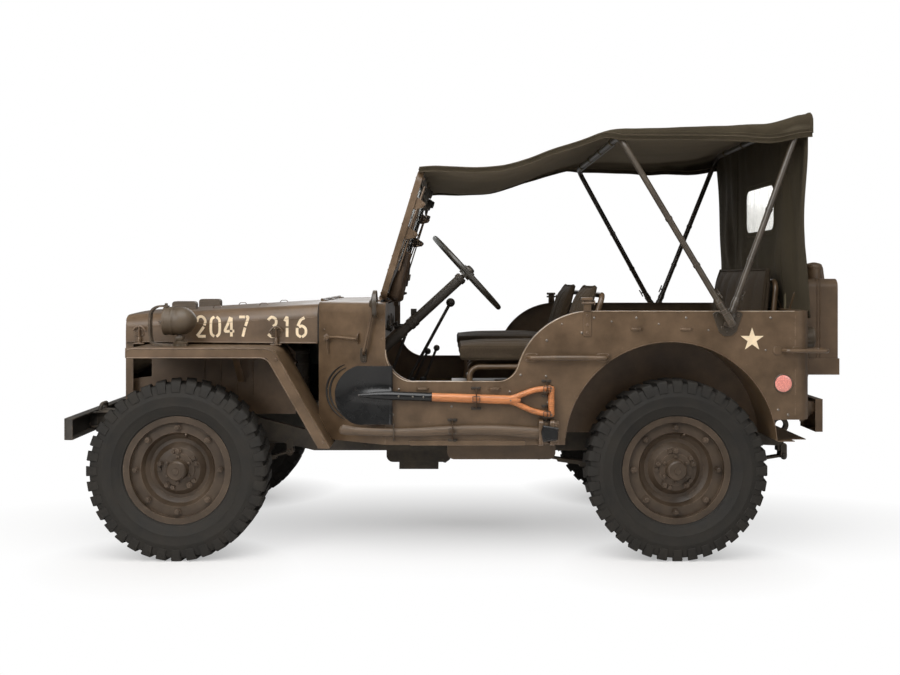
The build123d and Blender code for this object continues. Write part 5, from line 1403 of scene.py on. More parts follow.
def rounded(half_a: float, half_b: float, corner: float, steps: int = 5,
            centre: tuple[float, float] = (0.0, 0.0)) -> list[tuple[float, float]]:
    """Outline of a rectangle with round corners."""
    points = []
    for quarter, (a, b) in enumerate(((1, 1), (-1, 1), (-1, -1), (1, -1))):
        for k in range(steps + 1):
            angle = (quarter + k / steps) * math.pi / 2
            points.append((centre[0] + a * (half_a - corner) + corner * math.cos(angle),
                           centre[1] + b * (half_b - corner) + corner * math.sin(angle)))
    return points


def heads(repeater: Repeater, name: str, part: bpy.types.Mesh, places: list[tuple[Vector, Vector]],
          finish: str = "body_paint", body: str = "car") -> bpy.types.Object:
    """Stand bolt or rivet heads on points.

    Args:
        repeater: Builder of repeated parts.
        name: Name of the piece.
        part: One head, standing on Z 0.
        places: Point and facing of each.
        finish: Key of the finish.
        body: CAD body that carries them.

    Returns:
        The piece.
    """
    rows = [(point, facing.normalized(), facing.orthogonal().normalized()) for point, facing in places]
    return make_piece(name, repeater.on_points(rows, part, finish), finish, body)


LEFT = Vector((0, 1, 0))
AHEAD = Vector((1, 0, 0))
BACK = -AHEAD
# Half width of the tub, wheelbase, height of the axles and station of the rear panel, as in the CAD
SKIN = 0.729
WHEELBASE = 2.032
AXLE_HEIGHT = 0.3675
TAIL = 2.565


def cowl_half(station: float) -> float:
    """Half width of the flared cowl at a station."""
    return 0.545 + 0.184 * (station - 0.561) / 0.289


def hood_half(station: float) -> float:
    """Half width of the hood at a station."""
    return 0.432 + 0.109 * (station + 0.285) / 0.840


def hood_rise(station: float) -> float:
    """Rise of the hood's top from its nose to a station."""
    return 0.049 * (station + 0.285) / 0.840


def cowl_out(side: int) -> Vector:
    """Direction that the flared side of the cowl faces."""
    return Vector((0.537, side * 0.844, 0))


# Tools on the left side


@dataclass
class Shovel:
    """Short shovel: dished black blade, riveted socket, split ash handle and cross grip."""

    tip: float = 0.648
    heel: float = 0.880
    half: float = 0.118
    nose: float = 0.1224
    y: float = 0.7463
    z: float = 0.680
    droop: float = 0.024

    def line(self, station: float) -> float:
        """Height of the handle's middle line, which droops to the rear."""
        return self.z - self.droop * max(station - 0.85, 0) / 0.66

    def blade(self) -> bpy.types.Mesh:
        """Dished blade with rolled treads at its heel."""
        work = bmesh.new()
        rows, columns, grid = 40, 28, []
        for i in range(rows + 1):
            share = i / rows
            station = self.tip + 0.001 + (self.heel - self.tip - 0.001) * share ** 1.4
            reach = station - self.tip
            wide = self.half if reach > 0.09 else math.sqrt(self.nose ** 2 - (self.nose - reach) ** 2)
            line = []
            for j in range(columns + 1):
                v = -1 + 2 * j / columns
                hollow = -0.014 * (1 - v * v) * math.sin(math.pi * min(reach / 0.24, 0.8))
                ridge = 0.015 * math.exp(-(v * wide / 0.019) ** 2) * min(max((reach - 0.05) / 0.10, 0), 1)
                tread = 0.009 * min(max((reach - 0.222) / 0.010, 0), 1) ** 2 * min(abs(v) / 0.3, 1)
                dent = noise.noise(Vector((station * 14, v * 2, 2.0))) * 0.0012
                line.append(work.verts.new(at(station, self.y + hollow + ridge + tread + dent, self.z + v * wide)))
            grid.append(line)
        for i in range(rows):
            for j in range(columns):
                work.faces.new((grid[i][j], grid[i][j + 1], grid[i + 1][j + 1], grid[i + 1][j]))
        return with_modifiers(finish_mesh(work, outward=False), ("SOLIDIFY", {"thickness": 0.0024, "offset": 0.0}))

    def build(self, repeater: Repeater) -> None:
        """Build blade, socket, handle and grip."""
        blade = make_piece("shovel_blade", self.blade(), "tool_steel", smooth=50)
        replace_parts(blade, "shovel")
        socket = Kit("shovel_socket", "tool_steel", smooth=50)
        stations = [0.742, 0.775, 0.815, 0.860, 0.885, 0.940, 1.000, 1.030, 1.034]
        sizes = [0.25, 0.55, 0.85, 1.02, 1.05, 1.05, 1.04, 1.03, 0.96]
        socket.rod([at(s, self.y + 0.001, self.line(s)) for s in stations], 0.0172, scales=sizes, sides=18)
        socket.turned([(0.0165, 0), (0.0188, 0.001), (0.0188, 0.007), (0.0165, 0.008)],
                      at(1.030, self.y, self.line(1.030)), BACK)
        socket.done()
        heads(repeater, "shovel_rivets", dome_head(0.0042, 0.0035),
              [(at(s, self.y + 0.0180, self.line(s)), LEFT) for s in (0.905, 0.962, 1.004)], "bright_steel")
        wood = Kit("shovel_handle", "tool_wood", smooth=60)
        shaft = [1.028, 1.10, 1.18, 1.26, 1.33, 1.375, 1.392]
        wood.rod([at(s, self.y, self.line(s)) for s in shaft], 0.0168, sides=18,
                 scales=[0.98, 1.0, 1.02, 1.04, 1.08, 1.0, 0.5])
        for side in Side:
            rise = [(1.330, 0.004), (1.365, 0.010), (1.400, 0.024), (1.440, 0.040), (1.480, 0.049), (1.516, 0.053)]
            path = smooth_path([at(s, self.y, self.line(s) + side * r) for s, r in rise], 6)
            wood.rod(path, 0.0118, sides=14, flat=0.9, scales=[1.05] * (len(path) - 4) + [1.06, 1.10, 1.12, 0.9])
        grip = at(1.516, self.y, self.line(1.516))
        wood.turned([(0, -0.061), (0.0105, -0.060), (0.0128, -0.052), (0.0122, -0.025), (0.0128, 0),
                     (0.0122, 0.025), (0.0128, 0.052), (0.0105, 0.060), (0, 0.061)], grip, UP)
        wood.done()
        heads(repeater, "shovel_grip_rivets", dome_head(0.0036, 0.003),
              [(grip + LEFT * 0.0125 + UP * h, LEFT) for h in (-0.053, 0.053)]
              + [(at(1.352, self.y + 0.0178, self.line(1.352)), LEFT)], "bright_steel")


@dataclass
class Axe:
    """Long handled axe: curved olive handle, head in a sheath of folded sheet."""

    y: float = 0.7443

    def build(self, repeater: Repeater) -> None:
        """Build handle, head and sheath."""
        rows = [(0.668, 0.548, 0.55), (0.676, 0.545, 1.15), (0.694, 0.541, 1.22), (0.730, 0.537, 0.98),
                (0.800, 0.533, 0.92), (0.885, 0.531, 0.98), (0.980, 0.533, 1.06), (1.080, 0.538, 1.12),
                (1.190, 0.541, 1.18), (1.300, 0.540, 1.24), (1.390, 0.534, 1.30), (1.475, 0.527, 1.34),
                (1.500, 0.526, 1.30)]
        path = smooth_path([at(s, self.y, z) for s, z, _ in rows], 4)
        sizes = [along_table([(s, size) for s, _, size in rows], FRONT_AXLE_X - p.x) for p in path]
        wood = Kit("axe_handle", "painted_wood", smooth=60)
        wood.rod(path, 0.0118, sides=18, flat=1.42, scales=sizes)
        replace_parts(wood.done(), "axe")
        head = Kit("axe_head", "tool_steel")
        head.plate([(0.002, -0.030), (0.060, -0.022), (0.064, 0.026), (0.002, 0.036), (-0.006, 0.010)],
                   at(1.478, self.y + 0.0145, 0.528), BACK, UP, 0.028, 0.004)
        head.done()
        sheath = Kit("axe_sheath", "body_paint")
        for low, high in ((1.474, 1.502), (1.518, 1.546)):
            sheath.strap([at(low, SKIN, 0.575), at(low, SKIN + 0.031, 0.571), at(low, SKIN + 0.031, 0.490),
                          at(low, SKIN, 0.486)], 0.0035, 0.020, UP, 0.004)
            sheath.plate(rounded((high - low) / 2, 0.041, 0.005, 3), at((low + high) / 2, SKIN + 0.0275, 0.530),
                         BACK, UP, 0.0025)
        sheath.block(at(1.510, SKIN + 0.004, 0.530), (0.076, 0.006, 0.092), 0.002)
        sheath.block(at(1.510, SKIN + 0.014, 0.489), (0.070, 0.026, 0.005), 0.0015)
        sheath.done()
        heads(repeater, "sheath_bolts", hex_head(0.0055, 0.005),
              [(at(s, SKIN + 0.0315, z), LEFT) for s in (1.488, 1.532) for z in (0.502, 0.558)])
        clips = Kit("tool_clips", "chassis")
        leather = Kit("tool_straps", "bag_leather", smooth=50)
        clips.strap([at(0.885, SKIN - 0.006, 0.500), at(0.885, self.y + 0.0150, 0.505),
                     at(0.885, self.y + 0.0150, 0.557), at(0.885, SKIN - 0.004, 0.562)], 0.012, 0.003, AHEAD, 0.010)
        for station, low, high, reach in ((1.120, 0.512, 0.566, 0.0205), (1.498, 0.590, 0.622, 0.0205),
                                          (1.498, 0.690, 0.722, 0.0205), (1.215, 0.640, 0.694, 0.022)):
            leather.strap([at(station, SKIN + 0.001, low - 0.012), at(station, SKIN + 0.004, low - 0.004),
                           at(station, self.y + reach, low + 0.006), at(station, self.y + reach, high - 0.006),
                           at(station, SKIN + 0.004, high + 0.004), at(station, SKIN + 0.001, high + 0.014)],
                          0.020, 0.0026, AHEAD, 0.010)
            middle = (low + high) / 2
            clips.buckle(at(station, self.y + reach + 0.002, middle), BACK * 0.014, UP * 0.011, 0.0016, sides=6)
            for z in (low - 0.014, high + 0.014):
                clips.staple(at(station, SKIN, z), BACK, LEFT, 0.019, 0.015, 0.005, 0.010, 0.002, 0.003)
        clips.done()
        leather.done()


@dataclass
class Markings:
    """Cream star on both sides and plain stencilled numbers on the hood."""

    star_place: tuple[float, float] = (2.325, 0.902)
    star_radius: float = 0.049
    digits: str = "2047 316"
    digit_tall: float = 0.083
    digit_pitch: float = 0.062
    # Strokes of each digit in a box one wide and one tall, gaps between them as on a stencil
    strokes: dict[str, list[list[tuple[float, float]]]] = field(default_factory=lambda: {
        "0": [[(0.40, 1), (0.12, 0.86), (0.06, 0.5), (0.12, 0.14), (0.40, 0)],
              [(0.60, 1), (0.88, 0.86), (0.94, 0.5), (0.88, 0.14), (0.60, 0)]],
        "1": [[(0.28, 0.80), (0.52, 1.0), (0.52, 0.54)], [(0.52, 0.46), (0.52, 0.0)]],
        "2": [[(0.08, 0.74), (0.24, 0.97), (0.62, 1.0), (0.90, 0.80), (0.82, 0.56)],
              [(0.76, 0.48), (0.34, 0.18), (0.08, 0.02)], [(0.20, 0.0), (0.94, 0.0)]],
        "3": [[(0.08, 0.84), (0.40, 1.0), (0.80, 0.90), (0.84, 0.66), (0.56, 0.53)],
              [(0.60, 0.47), (0.90, 0.34), (0.84, 0.08), (0.44, 0.0), (0.08, 0.14)]],
        "4": [[(0.58, 1.0), (0.34, 0.64), (0.06, 0.28), (0.52, 0.28)], [(0.68, 0.96), (0.68, 0.34)],
              [(0.68, 0.22), (0.68, 0.0)], [(0.78, 0.28), (0.96, 0.28)]],
        "6": [[(0.80, 0.98), (0.44, 0.86), (0.16, 0.56)], [(0.10, 0.46), (0.12, 0.14), (0.46, 0.0)],
              [(0.56, 0.0), (0.90, 0.16), (0.90, 0.42), (0.56, 0.56), (0.28, 0.50)]],
        "7": [[(0.06, 1.0), (0.60, 1.0)], [(0.70, 1.0), (0.92, 0.98), (0.66, 0.54)], [(0.62, 0.46), (0.40, 0.0)]],
    })

    def ribbon(self, work: bmesh.types.BMesh, path: list[Vector], width: float, out: Vector) -> None:
        """Add a flat painted stroke along a path."""
        rows = []
        for index, point in enumerate(path):
            ahead = (path[min(index + 1, len(path) - 1)] - path[max(index - 1, 0)]).normalized()
            side = out.cross(ahead) * width / 2
            rows.append([work.verts.new(point + side), work.verts.new(point - side)])
        for first, second in zip(rows, rows[1:]):
            work.faces.new((first[0], first[1], second[1], second[0]))

    def build(self) -> None:
        """Build stars and numbers."""
        star = bmesh.new()
        for side in Side:
            rim = []
            for k, angle in enumerate(turns(10, math.pi / 2)):
                reach = self.star_radius * (1 if k % 2 == 0 else 0.382)
                rim.append(at(self.star_place[0] - reach * math.cos(angle), side * (SKIN + 0.0004),
                              self.star_place[1] + reach * math.sin(angle)))
            middle = star.verts.new(at(self.star_place[0], side * (SKIN + 0.0006), self.star_place[1]))
            corners = [star.verts.new(p) for p in rim]
            for k in range(10):
                star.faces.new((middle, corners[k], corners[(k + 1) % 10])[::side])
        make_piece("star_markings", finish_mesh(star, outward=False), "star_paint", smooth=None)
        work = bmesh.new()
        low, first = 0.902, 0.030
        for side in Side:
            out = Vector((0.129, side, 0)).normalized()
            for index, digit in enumerate(self.digits):
                for stroke in self.strokes.get(digit, []):
                    points = []
                    for spot in smooth_path([Vector((a, b, 0)) for a, b in stroke], 5):
                        place = first + (index + spot.x * 0.72) * self.digit_pitch
                        if side < 0:
                            place = first + (len(self.digits) - index - spot.x * 0.72 - 0.28) * self.digit_pitch
                        points.append(at(place, side * (hood_half(place) + 0.0006), low + spot.y * self.digit_tall))
                    self.ribbon(work, points, 0.0115, out)
        make_piece("hood_numbers", finish_mesh(work, outward=False), "star_paint", "hood", smooth=None)


@dataclass
class HoodAndCowl:
    """Catches, hooks and welt of the hood, and the hold-down arms of the cowl."""

    def build(self, repeater: Repeater) -> None:
        """Build the fittings."""
        catches, hooks, pads = Kit("hood_catches", "body_paint"), Kit("hood_hooks", "body_paint", "hood"), []
        for side in Side:
            for station in (-0.218, 0.380):
                y = side * (hood_half(station) + 0.015)
                out = LEFT * side
                foot = at(station, y, 0.868)
                catches.block(foot + UP * 0.003, (0.046, 0.024, 0.006), 0.0015)
                catches.rod([foot, foot + UP * 0.075], 0.0042, sides=12)
                catches.turned([(0.0042, 0), (0.0075, 0.002), (0.0075, 0.020), (0.0055, 0.024), (0.0042, 0.026)],
                               foot + UP * 0.004, UP, 16)
                catches.rod([foot + UP * 0.066 + AHEAD * 0.026 - UP * 0.008, foot + UP * 0.073 + AHEAD * 0.014,
                             foot + UP * 0.077, foot + UP * 0.073 - AHEAD * 0.014,
                             foot + UP * 0.066 - AHEAD * 0.026 - UP * 0.008], 0.0046, bend=0.010)
                hooks.block(at(station, side * (hood_half(station) + 0.002), 0.918), (0.044, 0.004, 0.034), 0.001)
                hooks.block(at(station, side * (hood_half(station) + 0.0045), 0.926), (0.030, 0.006, 0.008), 0.0015)
                pads += [(at(station + a, side * (hood_half(station) + 0.0042), 0.908), out) for a in (-0.015, 0.015)]
        catches.done()
        for side in Side:
            for station in (0.085, 0.290):
                foot = at(station, side * 0.300, 0.996 + hood_rise(station))
                hooks.staple(foot, BACK, UP, 0.020, 0.013, 0.010, 0.012, 0.003, 0.005)
        for side in Side:
            hem = [at(s, side * (hood_half(s) + 0.0015), 0.8775) for s in (-0.278, 0.0, 0.3, 0.548)]
            hooks.rod(hem, 0.0030, sides=8)
            shoulder = [at(s, side * (hood_half(s) - 0.0005), 0.936 + hood_rise(s))
                        for s in (-0.270, 0.0, 0.3, 0.545)]
            hooks.rod(shoulder, 0.0016, sides=6)
        hooks.done()
        heads(repeater, "hood_rivets", dome_head(0.0032, 0.0022), pads, "body_paint", "hood")
        welt = Kit("cowl_welt", "rubber")
        section = [(-0.545, 0.884), (-0.5455, 0.99), (-0.534, 1.028), (-0.504, 1.0445), (-0.42, 1.0475)]
        for side in Side:
            welt.rod([at(0.5590, -side * y, z) for y, z in section], 0.0024, bend=0.02, sides=8)
        welt.done()
        self.cowl(repeater)

    def cowl(self, repeater: Repeater) -> None:
        """Hold-down arms, screws, and dark arcs round the shovel's tip that are painted shade of the recess there."""
        arm = Kit("hold_down_arms", "body_paint")
        bolts = []
        for side in Side:
            knob = at(0.600, side * (cowl_half(0.600) + 0.016), 0.902)
            arm.turned([(0, 0.019), (0.008, 0.018), (0.010, 0.012), (0.0065, 0.006), (0.0065, -0.012),
                        (0.016, -0.014), (0.016, -0.019)], knob, LEFT * side, 20)
            arm.rod([knob - UP * 0.004, knob - UP * 0.030, at(0.604, side * (cowl_half(0.604) + 0.012), 0.836)], 0.0034)
            arm.rod([knob + UP * 0.002, at(0.650, side * (cowl_half(0.650) + 0.020), 0.906),
                     at(0.728, side * (cowl_half(0.728) + 0.010), 0.900)], 0.0068, flat=0.8, sides=12)
            arm.strap([at(0.738, side * (cowl_half(0.738) + 0.001), 0.885),
                       at(0.733, side * (cowl_half(0.733) + 0.013), 0.893),
                       at(0.733, side * (cowl_half(0.733) + 0.013), 0.912),
                       at(0.738, side * (cowl_half(0.738) + 0.001), 0.920)], 0.018, 0.0025, AHEAD, 0.006)
            out = cowl_out(side)
            bolts += [(at(s, side * cowl_half(s), z), out) for s, z in (
                (0.585, 0.935), (0.585, 0.520), (0.836, 0.980), (0.836, 0.905), (0.600, 0.690), (0.836, 0.512))]
        arm.done()
        heads(repeater, "cowl_screws", dome_head(0.0045, 0.003), bolts)
        # Black arcs round the shovel's tip: painted shade of the recess, drawn in the rubber finish.
        recess = Kit("shovel_recess", "rubber", smooth=60)
        for reach in (0.108, 0.122):
            points = []
            for k in range(25):
                angle = math.radians(112) + math.radians(136) * k / 24
                station = 0.725 + reach * math.cos(angle) * 1.05
                points.append(at(station, cowl_half(station) + 0.0015, 0.680 + reach * math.sin(angle)))
            recess.rod(points, 0.0042, scales=[0.3 + 0.9 * math.sin(math.pi * k / 24) for k in range(25)], sides=8)
        recess.done()


@dataclass
class Lamps:
    """Lenses, bezels and guards of all lamps."""

    front: float = 0.289

    def build(self, repeater: Repeater) -> None:
        """Build the lamp fittings."""
        glass, red = Kit("lamp_lenses", "lamp_glass", smooth=50), Kit("red_lenses", "red_lens", smooth=50)
        trim = Kit("lamp_bezels", "lamp_paint")
        for side in Side:
            for y, z, radius in ((0.302, 0.815, 0.086), (0.302, 0.660, 0.033)):
                place = at(-self.front, side * y, z)
                glass.turned([(0, 0.0135), (radius * 0.35, 0.0125), (radius * 0.70, 0.008), (radius * 0.86, 0.0025),
                              (radius * 0.86, -0.001), (0, -0.001)], place, AHEAD, 48)
                trim.turned([(radius * 0.985, -0.006), (radius * 0.985, 0.0035), (radius * 0.95, 0.0072),
                             (radius * 0.88, 0.0060), (radius * 0.855, 0.0015), (radius * 0.855, -0.001)],
                            place, AHEAD, 48)
                if radius < 0.05:
                    trim.strap([place + Vector((0.004, -0.030, 0.004)), place + Vector((0.015, -0.022, 0.024)),
                                place + Vector((0.017, 0.0, 0.032)), place + Vector((0.015, 0.022, 0.024)),
                                place + Vector((0.004, 0.030, 0.004))], 0.018, 0.0016, Vector((0.3, -1, 0.4)), 0.014)
            for k in range(13):
                shift = -0.066 + k * 0.011
                tall = 0.070 * math.sqrt(max(1 - (shift / 0.074) ** 2, 0.04))
                bow = 0.0145 - 0.011 * (shift / 0.074) ** 2
                line = [at(-self.front, side * 0.302 + shift, 0.815 + tall * t) + AHEAD * (
                    bow - 0.011 * (tall * t / 0.074) ** 2 - 0.001) for t in (-0.96, -0.6, 0.0, 0.6, 0.96)]
                glass.rod(line, 0.0016, sides=6, bend=0.004)
        self.driving_lamp(trim, glass)
        for side in Side:
            centre = at(TAIL + 0.038, side * 0.610, 0.905)
            trim.turned([(0.0435, -0.004), (0.0450, 0.001), (0.0430, 0.006), (0.0385, 0.007), (0.036, 0.002)],
                        centre, BACK, 40)
            trim.block(centre + BACK * 0.0025, (0.003, 0.066, 0.006), 0.001)
            trim.block(centre + BACK * 0.0025 + UP * 0.032, (0.003, 0.040, 0.008), 0.001)
            for low, tall in ((0.015, 0.008), (-0.015, 0.010)):
                red.plate(rounded(0.023, tall, 0.006, 4), centre + UP * low + BACK * 0.0005, -LEFT, UP, 0.0035,
                          0.001)
        for side in Side:
            for spot, way in ((at(2.4505, side * SKIN, 0.7257), LEFT * side),
                              (at(2.5652, side * 0.560, 0.760), BACK)):
                red.turned([(0, 0.0058), (0.018, 0.0055), (0.030, 0.0045), (0.0335, 0.0028), (0.0335, 0.0), (0, 0.0)],
                           spot, way, 44)
                trim.turned([(0.0390, -0.0005), (0.0390, 0.0022), (0.0370, 0.0042), (0.0345, 0.0038),
                             (0.0330, 0.0015)], spot, way, 44)
        for kit in (glass, trim, red):
            kit.done()

    @staticmethod
    def driving_lamp(trim: Kit, glass: Kit) -> None:
        """Slit, visor and hoop guard of the lamp on the left fender."""
        face = at(-0.072, 0.585, 0.972)
        trim.turned([(0.0585, -0.008), (0.0600, -0.002), (0.0585, 0.003), (0.0520, 0.004), (0.0500, -0.001)],
                    face, AHEAD, 44)
        trim.plate(rounded(0.045, 0.030, 0.020, 6, (0, 0.016)), face, LEFT, UP, 0.004, 0.001)
        glass.plate(rounded(0.030, 0.007, 0.005, 4, (0, -0.022)), face, LEFT, UP, 0.003, 0.001)
        trim.strap([face + Vector((0.002, -0.036, -0.012)), face + Vector((0.012, -0.030, -0.004)),
                    face + Vector((0.012, 0.030, -0.004)), face + Vector((0.002, 0.036, -0.012))],
                   0.026, 0.0018, UP, 0.012)
        trim.turned([(0.0595, -0.006), (0.0612, 0.0), (0.0595, 0.006)], face + BACK * 0.034, AHEAD, 44)
        for side in Side:
            guard = [(0.020, 0.872), (-0.060, 0.8725), (-0.118, 0.878), (-0.132, 0.905), (-0.134, 0.975),
                     (-0.128, 1.012), (-0.104, 1.031), (-0.070, 1.034)]
            path = smooth_path([at(s, 0.585 + side * 0.012, z) for s, z in guard], 6)
            sweep(trim.work, path, strap_profile(0.006, 0.014), LEFT)
        trim.block(at(-0.068, 0.585, 1.0325), (0.022, 0.034, 0.007), 0.002)
        trim.turned([(0, 0.010), (0.006, 0.009), (0.007, 0.0), (0.007, -0.014)], at(-0.068, 0.585, 1.036), UP, 12)
        trim.turned([(0.030, 0.0), (0.031, 0.004), (0.020, 0.012), (0.014, 0.026), (0.0125, 0.038)],
                    at(-0.010, 0.585, 0.876), UP, 28)
        trim.block(at(-0.010, 0.585, 0.900), (0.030, 0.044, 0.016), 0.003)


@dataclass
class Screen:
    """Windshield fittings: glazing strips, tilt arms, wipers, clamps and canvas cuffs."""

    rake: float = math.radians(17.0)
    half: float = 0.618

    def spot(self, y: float, tall: float, out: float) -> Vector:
        """Point of the raked frame: across, up the frame and ahead of its middle plane."""
        s, c = math.sin(self.rake), math.cos(self.rake)
        return at(0.829, y, 1.056) + Vector((-s * tall + c * out, 0, c * tall + s * out))

    def build(self, repeater: Repeater) -> None:
        """Build the fittings."""
        up = self.spot(0, 1, 0) - self.spot(0, 0, 0)
        out = self.spot(0, 0, 1) - self.spot(0, 0, 0)
        strips, dark = Kit("glazing_strips", "rubber"), Kit("wiper_gear", "chassis")
        steel = Kit("windshield_fittings", "body_paint")
        for side in Side:
            for face in (-0.0042, 0.0042):
                outline = rounded(0.272, 0.170, 0.016, 6)
                path = [self.spot(side * 0.299 + a, 0.347 + b, face) for a, b in outline]
                sweep(strips.work, path, strap_profile(0.0055, 0.009), out, closed=True)
            for tall, reach in ((0.300, 0.052), (0.428, 0.046)):
                y = side * (self.half - 0.012)
                steel.plate([(-0.010, -0.030), (0.018, -0.026), (reach, -0.010), (reach + 0.006, 0.004),
                             (reach - 0.006, 0.014), (0.016, 0.022), (-0.010, 0.034)],
                            self.spot(y, tall, -0.006), -out, up, 0.004)
                steel.turned([(0, 0.014), (0.007, 0.013), (0.009, 0.0), (0.009, -0.006)],
                             self.spot(y + side * 0.003, tall + 0.003, -0.006 - reach + 0.004), LEFT * side, 14)
            for y in (0.598, 0.606):
                steel.rod([self.spot(side * y, 0.14, -0.030 + (y - 0.598) * 2), self.spot(side * y, 0.505, -0.032)],
                          0.0035, sides=8)
            foot = at(0.829, side * 0.455, 1.050)
            steel.block(foot + UP * 0.004, (0.060, 0.070, 0.008), 0.002)
            steel.turned([(0.011, 0.0), (0.011, 0.050), (0.0, 0.052)], foot + LEFT * -0.025 + UP * 0.034, LEFT, 18)
            wing = foot + BACK * 0.052 + UP * 0.022
            steel.rod([foot + UP * 0.014, wing + AHEAD * 0.010], 0.0042)
            steel.turned([(0.005, -0.010), (0.0085, -0.008), (0.0085, 0.006), (0, 0.008)], wing, BACK, 14)
            for way in (-1, 1):
                steel.rod([wing, wing + LEFT * way * 0.014 + BACK * 0.004, wing + LEFT * way * 0.020 + BACK * 0.012],
                          0.0034, bend=0.006, sides=8, flat=1.6)
            motor = self.spot(side * 0.330, 0.492, -0.030)
            dark.block(motor, (0.040, 0.074, 0.052), 0.006, frame_of(out))
            dark.turned([(0.0, 0.034), (0.016, 0.032), (0.019, 0.020), (0.019, 0.0)], motor + up * 0.006, -out, 20)
            dark.rod([motor - up * 0.024, motor - up * 0.050 - out * 0.006, motor - up * 0.060 - out * 0.020], 0.0045)
            dark.turned([(0.0, 0.012), (0.009, 0.010), (0.010, -0.006), (0.0, -0.008)],
                        motor - up * 0.060 - out * 0.022, -out, 14)
            dark.rod([motor + LEFT * side * 0.036, motor + LEFT * side * 0.16 + up * 0.010,
                      self.spot(side * 0.592, 0.50, -0.022)], 0.0032, bend=0.03, sides=8)
            pivot = self.spot(side * 0.330, 0.505, 0.016)
            dark.turned([(0.010, -0.004), (0.012, 0.0), (0.010, 0.010), (0.0, 0.012)], pivot, out, 16)
            tip = self.spot(side * 0.330 - 0.105, 0.300, 0.012)
            dark.rod([pivot + out * 0.006, self.spot(side * 0.330 - 0.055, 0.400, 0.014), tip], 0.0030, flat=1.5)
            blade = [self.spot(side * 0.330 - 0.030, 0.205, 0.0075), self.spot(side * 0.330 - 0.180, 0.395, 0.0075)]
            sweep(dark.work, blade, strap_profile(0.004, 0.010), out)
        for y, tall in ((0.0, 0.40), (0.0, 0.20), (0.0, 0.52)):
            steel.block(self.spot(y, tall, -0.016), (0.005, 0.036, 0.020), 0.0015, frame_of(out))
        steel.rod([self.spot(-0.60, 0.533, -0.018), self.spot(0.60, 0.533, -0.018)], 0.0060, sides=10)
        steel.rod([self.spot(-0.575, 0.150, 0.0135), self.spot(0.575, 0.150, 0.0135)], 0.0035, sides=8)
        cloth = Kit("top_front_cuffs", "canvas", smooth=60)
        for y in (-0.52, -0.26, 0.0, 0.26, 0.52):
            cloth.strap([self.spot(y, 0.552, -0.030), self.spot(y, 0.520, -0.028), self.spot(y, 0.488, -0.020)],
                        0.034, 0.0025, -out, 0.012)
        cloth.done()
        bolts = [(self.spot(side * 0.598, tall, 0.0128), out) for side in Side
                 for tall in (0.03, 0.13, 0.19, 0.33, 0.46, 0.53)]
        bolts += [(self.spot(y, 0.030, 0.0128), out) for y in (-0.45, -0.30, -0.15, 0.0, 0.15, 0.30, 0.45)]
        bolts += [(self.spot(y, 0.160, 0.0128), out) for y in (-0.50, -0.25, 0.25, 0.50)]
        heads(repeater, "windshield_screws", dome_head(0.0045, 0.003), bolts)
        for kit in (strips, steel, dark):
            kit.done()
        self.foot_seal()

    def foot_seal(self) -> None:
        """Rubber seal between the frame's foot and the cowl."""
        seal = Kit("windshield_seal", "rubber", smooth=60)
        seal.rod([at(0.829, -0.600, 1.0545), at(0.829, 0.600, 1.0545)], 0.0062, sides=10, flat=0.8)
        seal.done()


@dataclass
class Bag:
    """Limp hide bag hanging behind the windshield, with straps and buckles."""

    y: float = 0.495

    def build(self) -> None:
        """Build the bag."""
        screen = Screen()
        work = bmesh.new()
        rows, columns, grid = 46, 40, []
        for i in range(rows + 1):
            share = i / rows
            tall = 0.232 - 0.226 * share
            belly = 0.62 + 0.38 * math.sin(math.pi * min(share * 0.72 + 0.16, 1)) ** 0.8
            close = min(share / 0.05, (1 - share) / 0.09, 1.0) ** 0.5
            ring = []
            for angle in turns(columns):
                a, b = math.cos(angle), math.sin(angle)
                wide = 0.094 * belly * (abs(a) ** 0.75) * (1 if a > 0 else -1) * close
                deep = (0.027 * (0.45 + 0.9 * share) * (abs(b) ** 0.8) * (1 if b > 0 else -1)) * close
                fold = noise.noise(Vector((wide * 26, share * 2.4, b * 1.5))) * 0.0075
                fold += noise.noise(Vector((wide * 60, share * 6, 4 + b))) * 0.0028
                out = -0.0135 - 0.030 + deep + fold * (0.6 if b > 0 else 1.0)
                ring.append(work.verts.new(screen.spot(self.y + wide, tall, min(out, -0.0145))))
            grid.append(ring)
        for first, second in zip(grid, grid[1:]):
            for j in range(columns):
                work.faces.new((first[j], first[(j + 1) % columns], second[(j + 1) % columns], second[j]))
        work.faces.new(grid[0])
        work.faces.new(grid[-1][::-1])
        mesh = with_modifiers(finish_mesh(work), ("SUBSURF", {"levels": 1, "render_levels": 1}))
        bag = make_piece("hide_bag", mesh, "bag_leather", smooth=80)
        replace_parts(bag, "hanging_bag")
        straps = Kit("bag_straps", "strap_hide", smooth=60)
        for y in (-0.045, 0.040):
            straps.strap([screen.spot(self.y + y, 0.300, -0.018), screen.spot(self.y + y, 0.235, -0.040),
                          screen.spot(self.y + y, 0.170, -0.066), screen.spot(self.y + y, 0.085, -0.078)],
                         0.022, 0.003, (screen.spot(0, 0, -1) - screen.spot(0, 0, 0)), 0.03)
        straps.strap([screen.spot(self.y + 0.088, 0.225, -0.040), screen.spot(self.y + 0.092, 0.120, -0.052),
                      screen.spot(self.y + 0.075, 0.020, -0.050)], 0.018, 0.003, LEFT, 0.05)
        trim = straps.done()
        buckle = Kit("bag_buckles", "bow_steel")
        for y in (-0.045, 0.040):
            low, high = screen.spot(self.y + y, 0.112, -0.0795), screen.spot(self.y + y, 0.136, -0.0765)
            buckle.buckle((low + high) / 2, LEFT * 0.014, (high - low) / 2, 0.0019)
        made = buckle.done()
        for piece in (trim, made):
            attach(piece, bag)


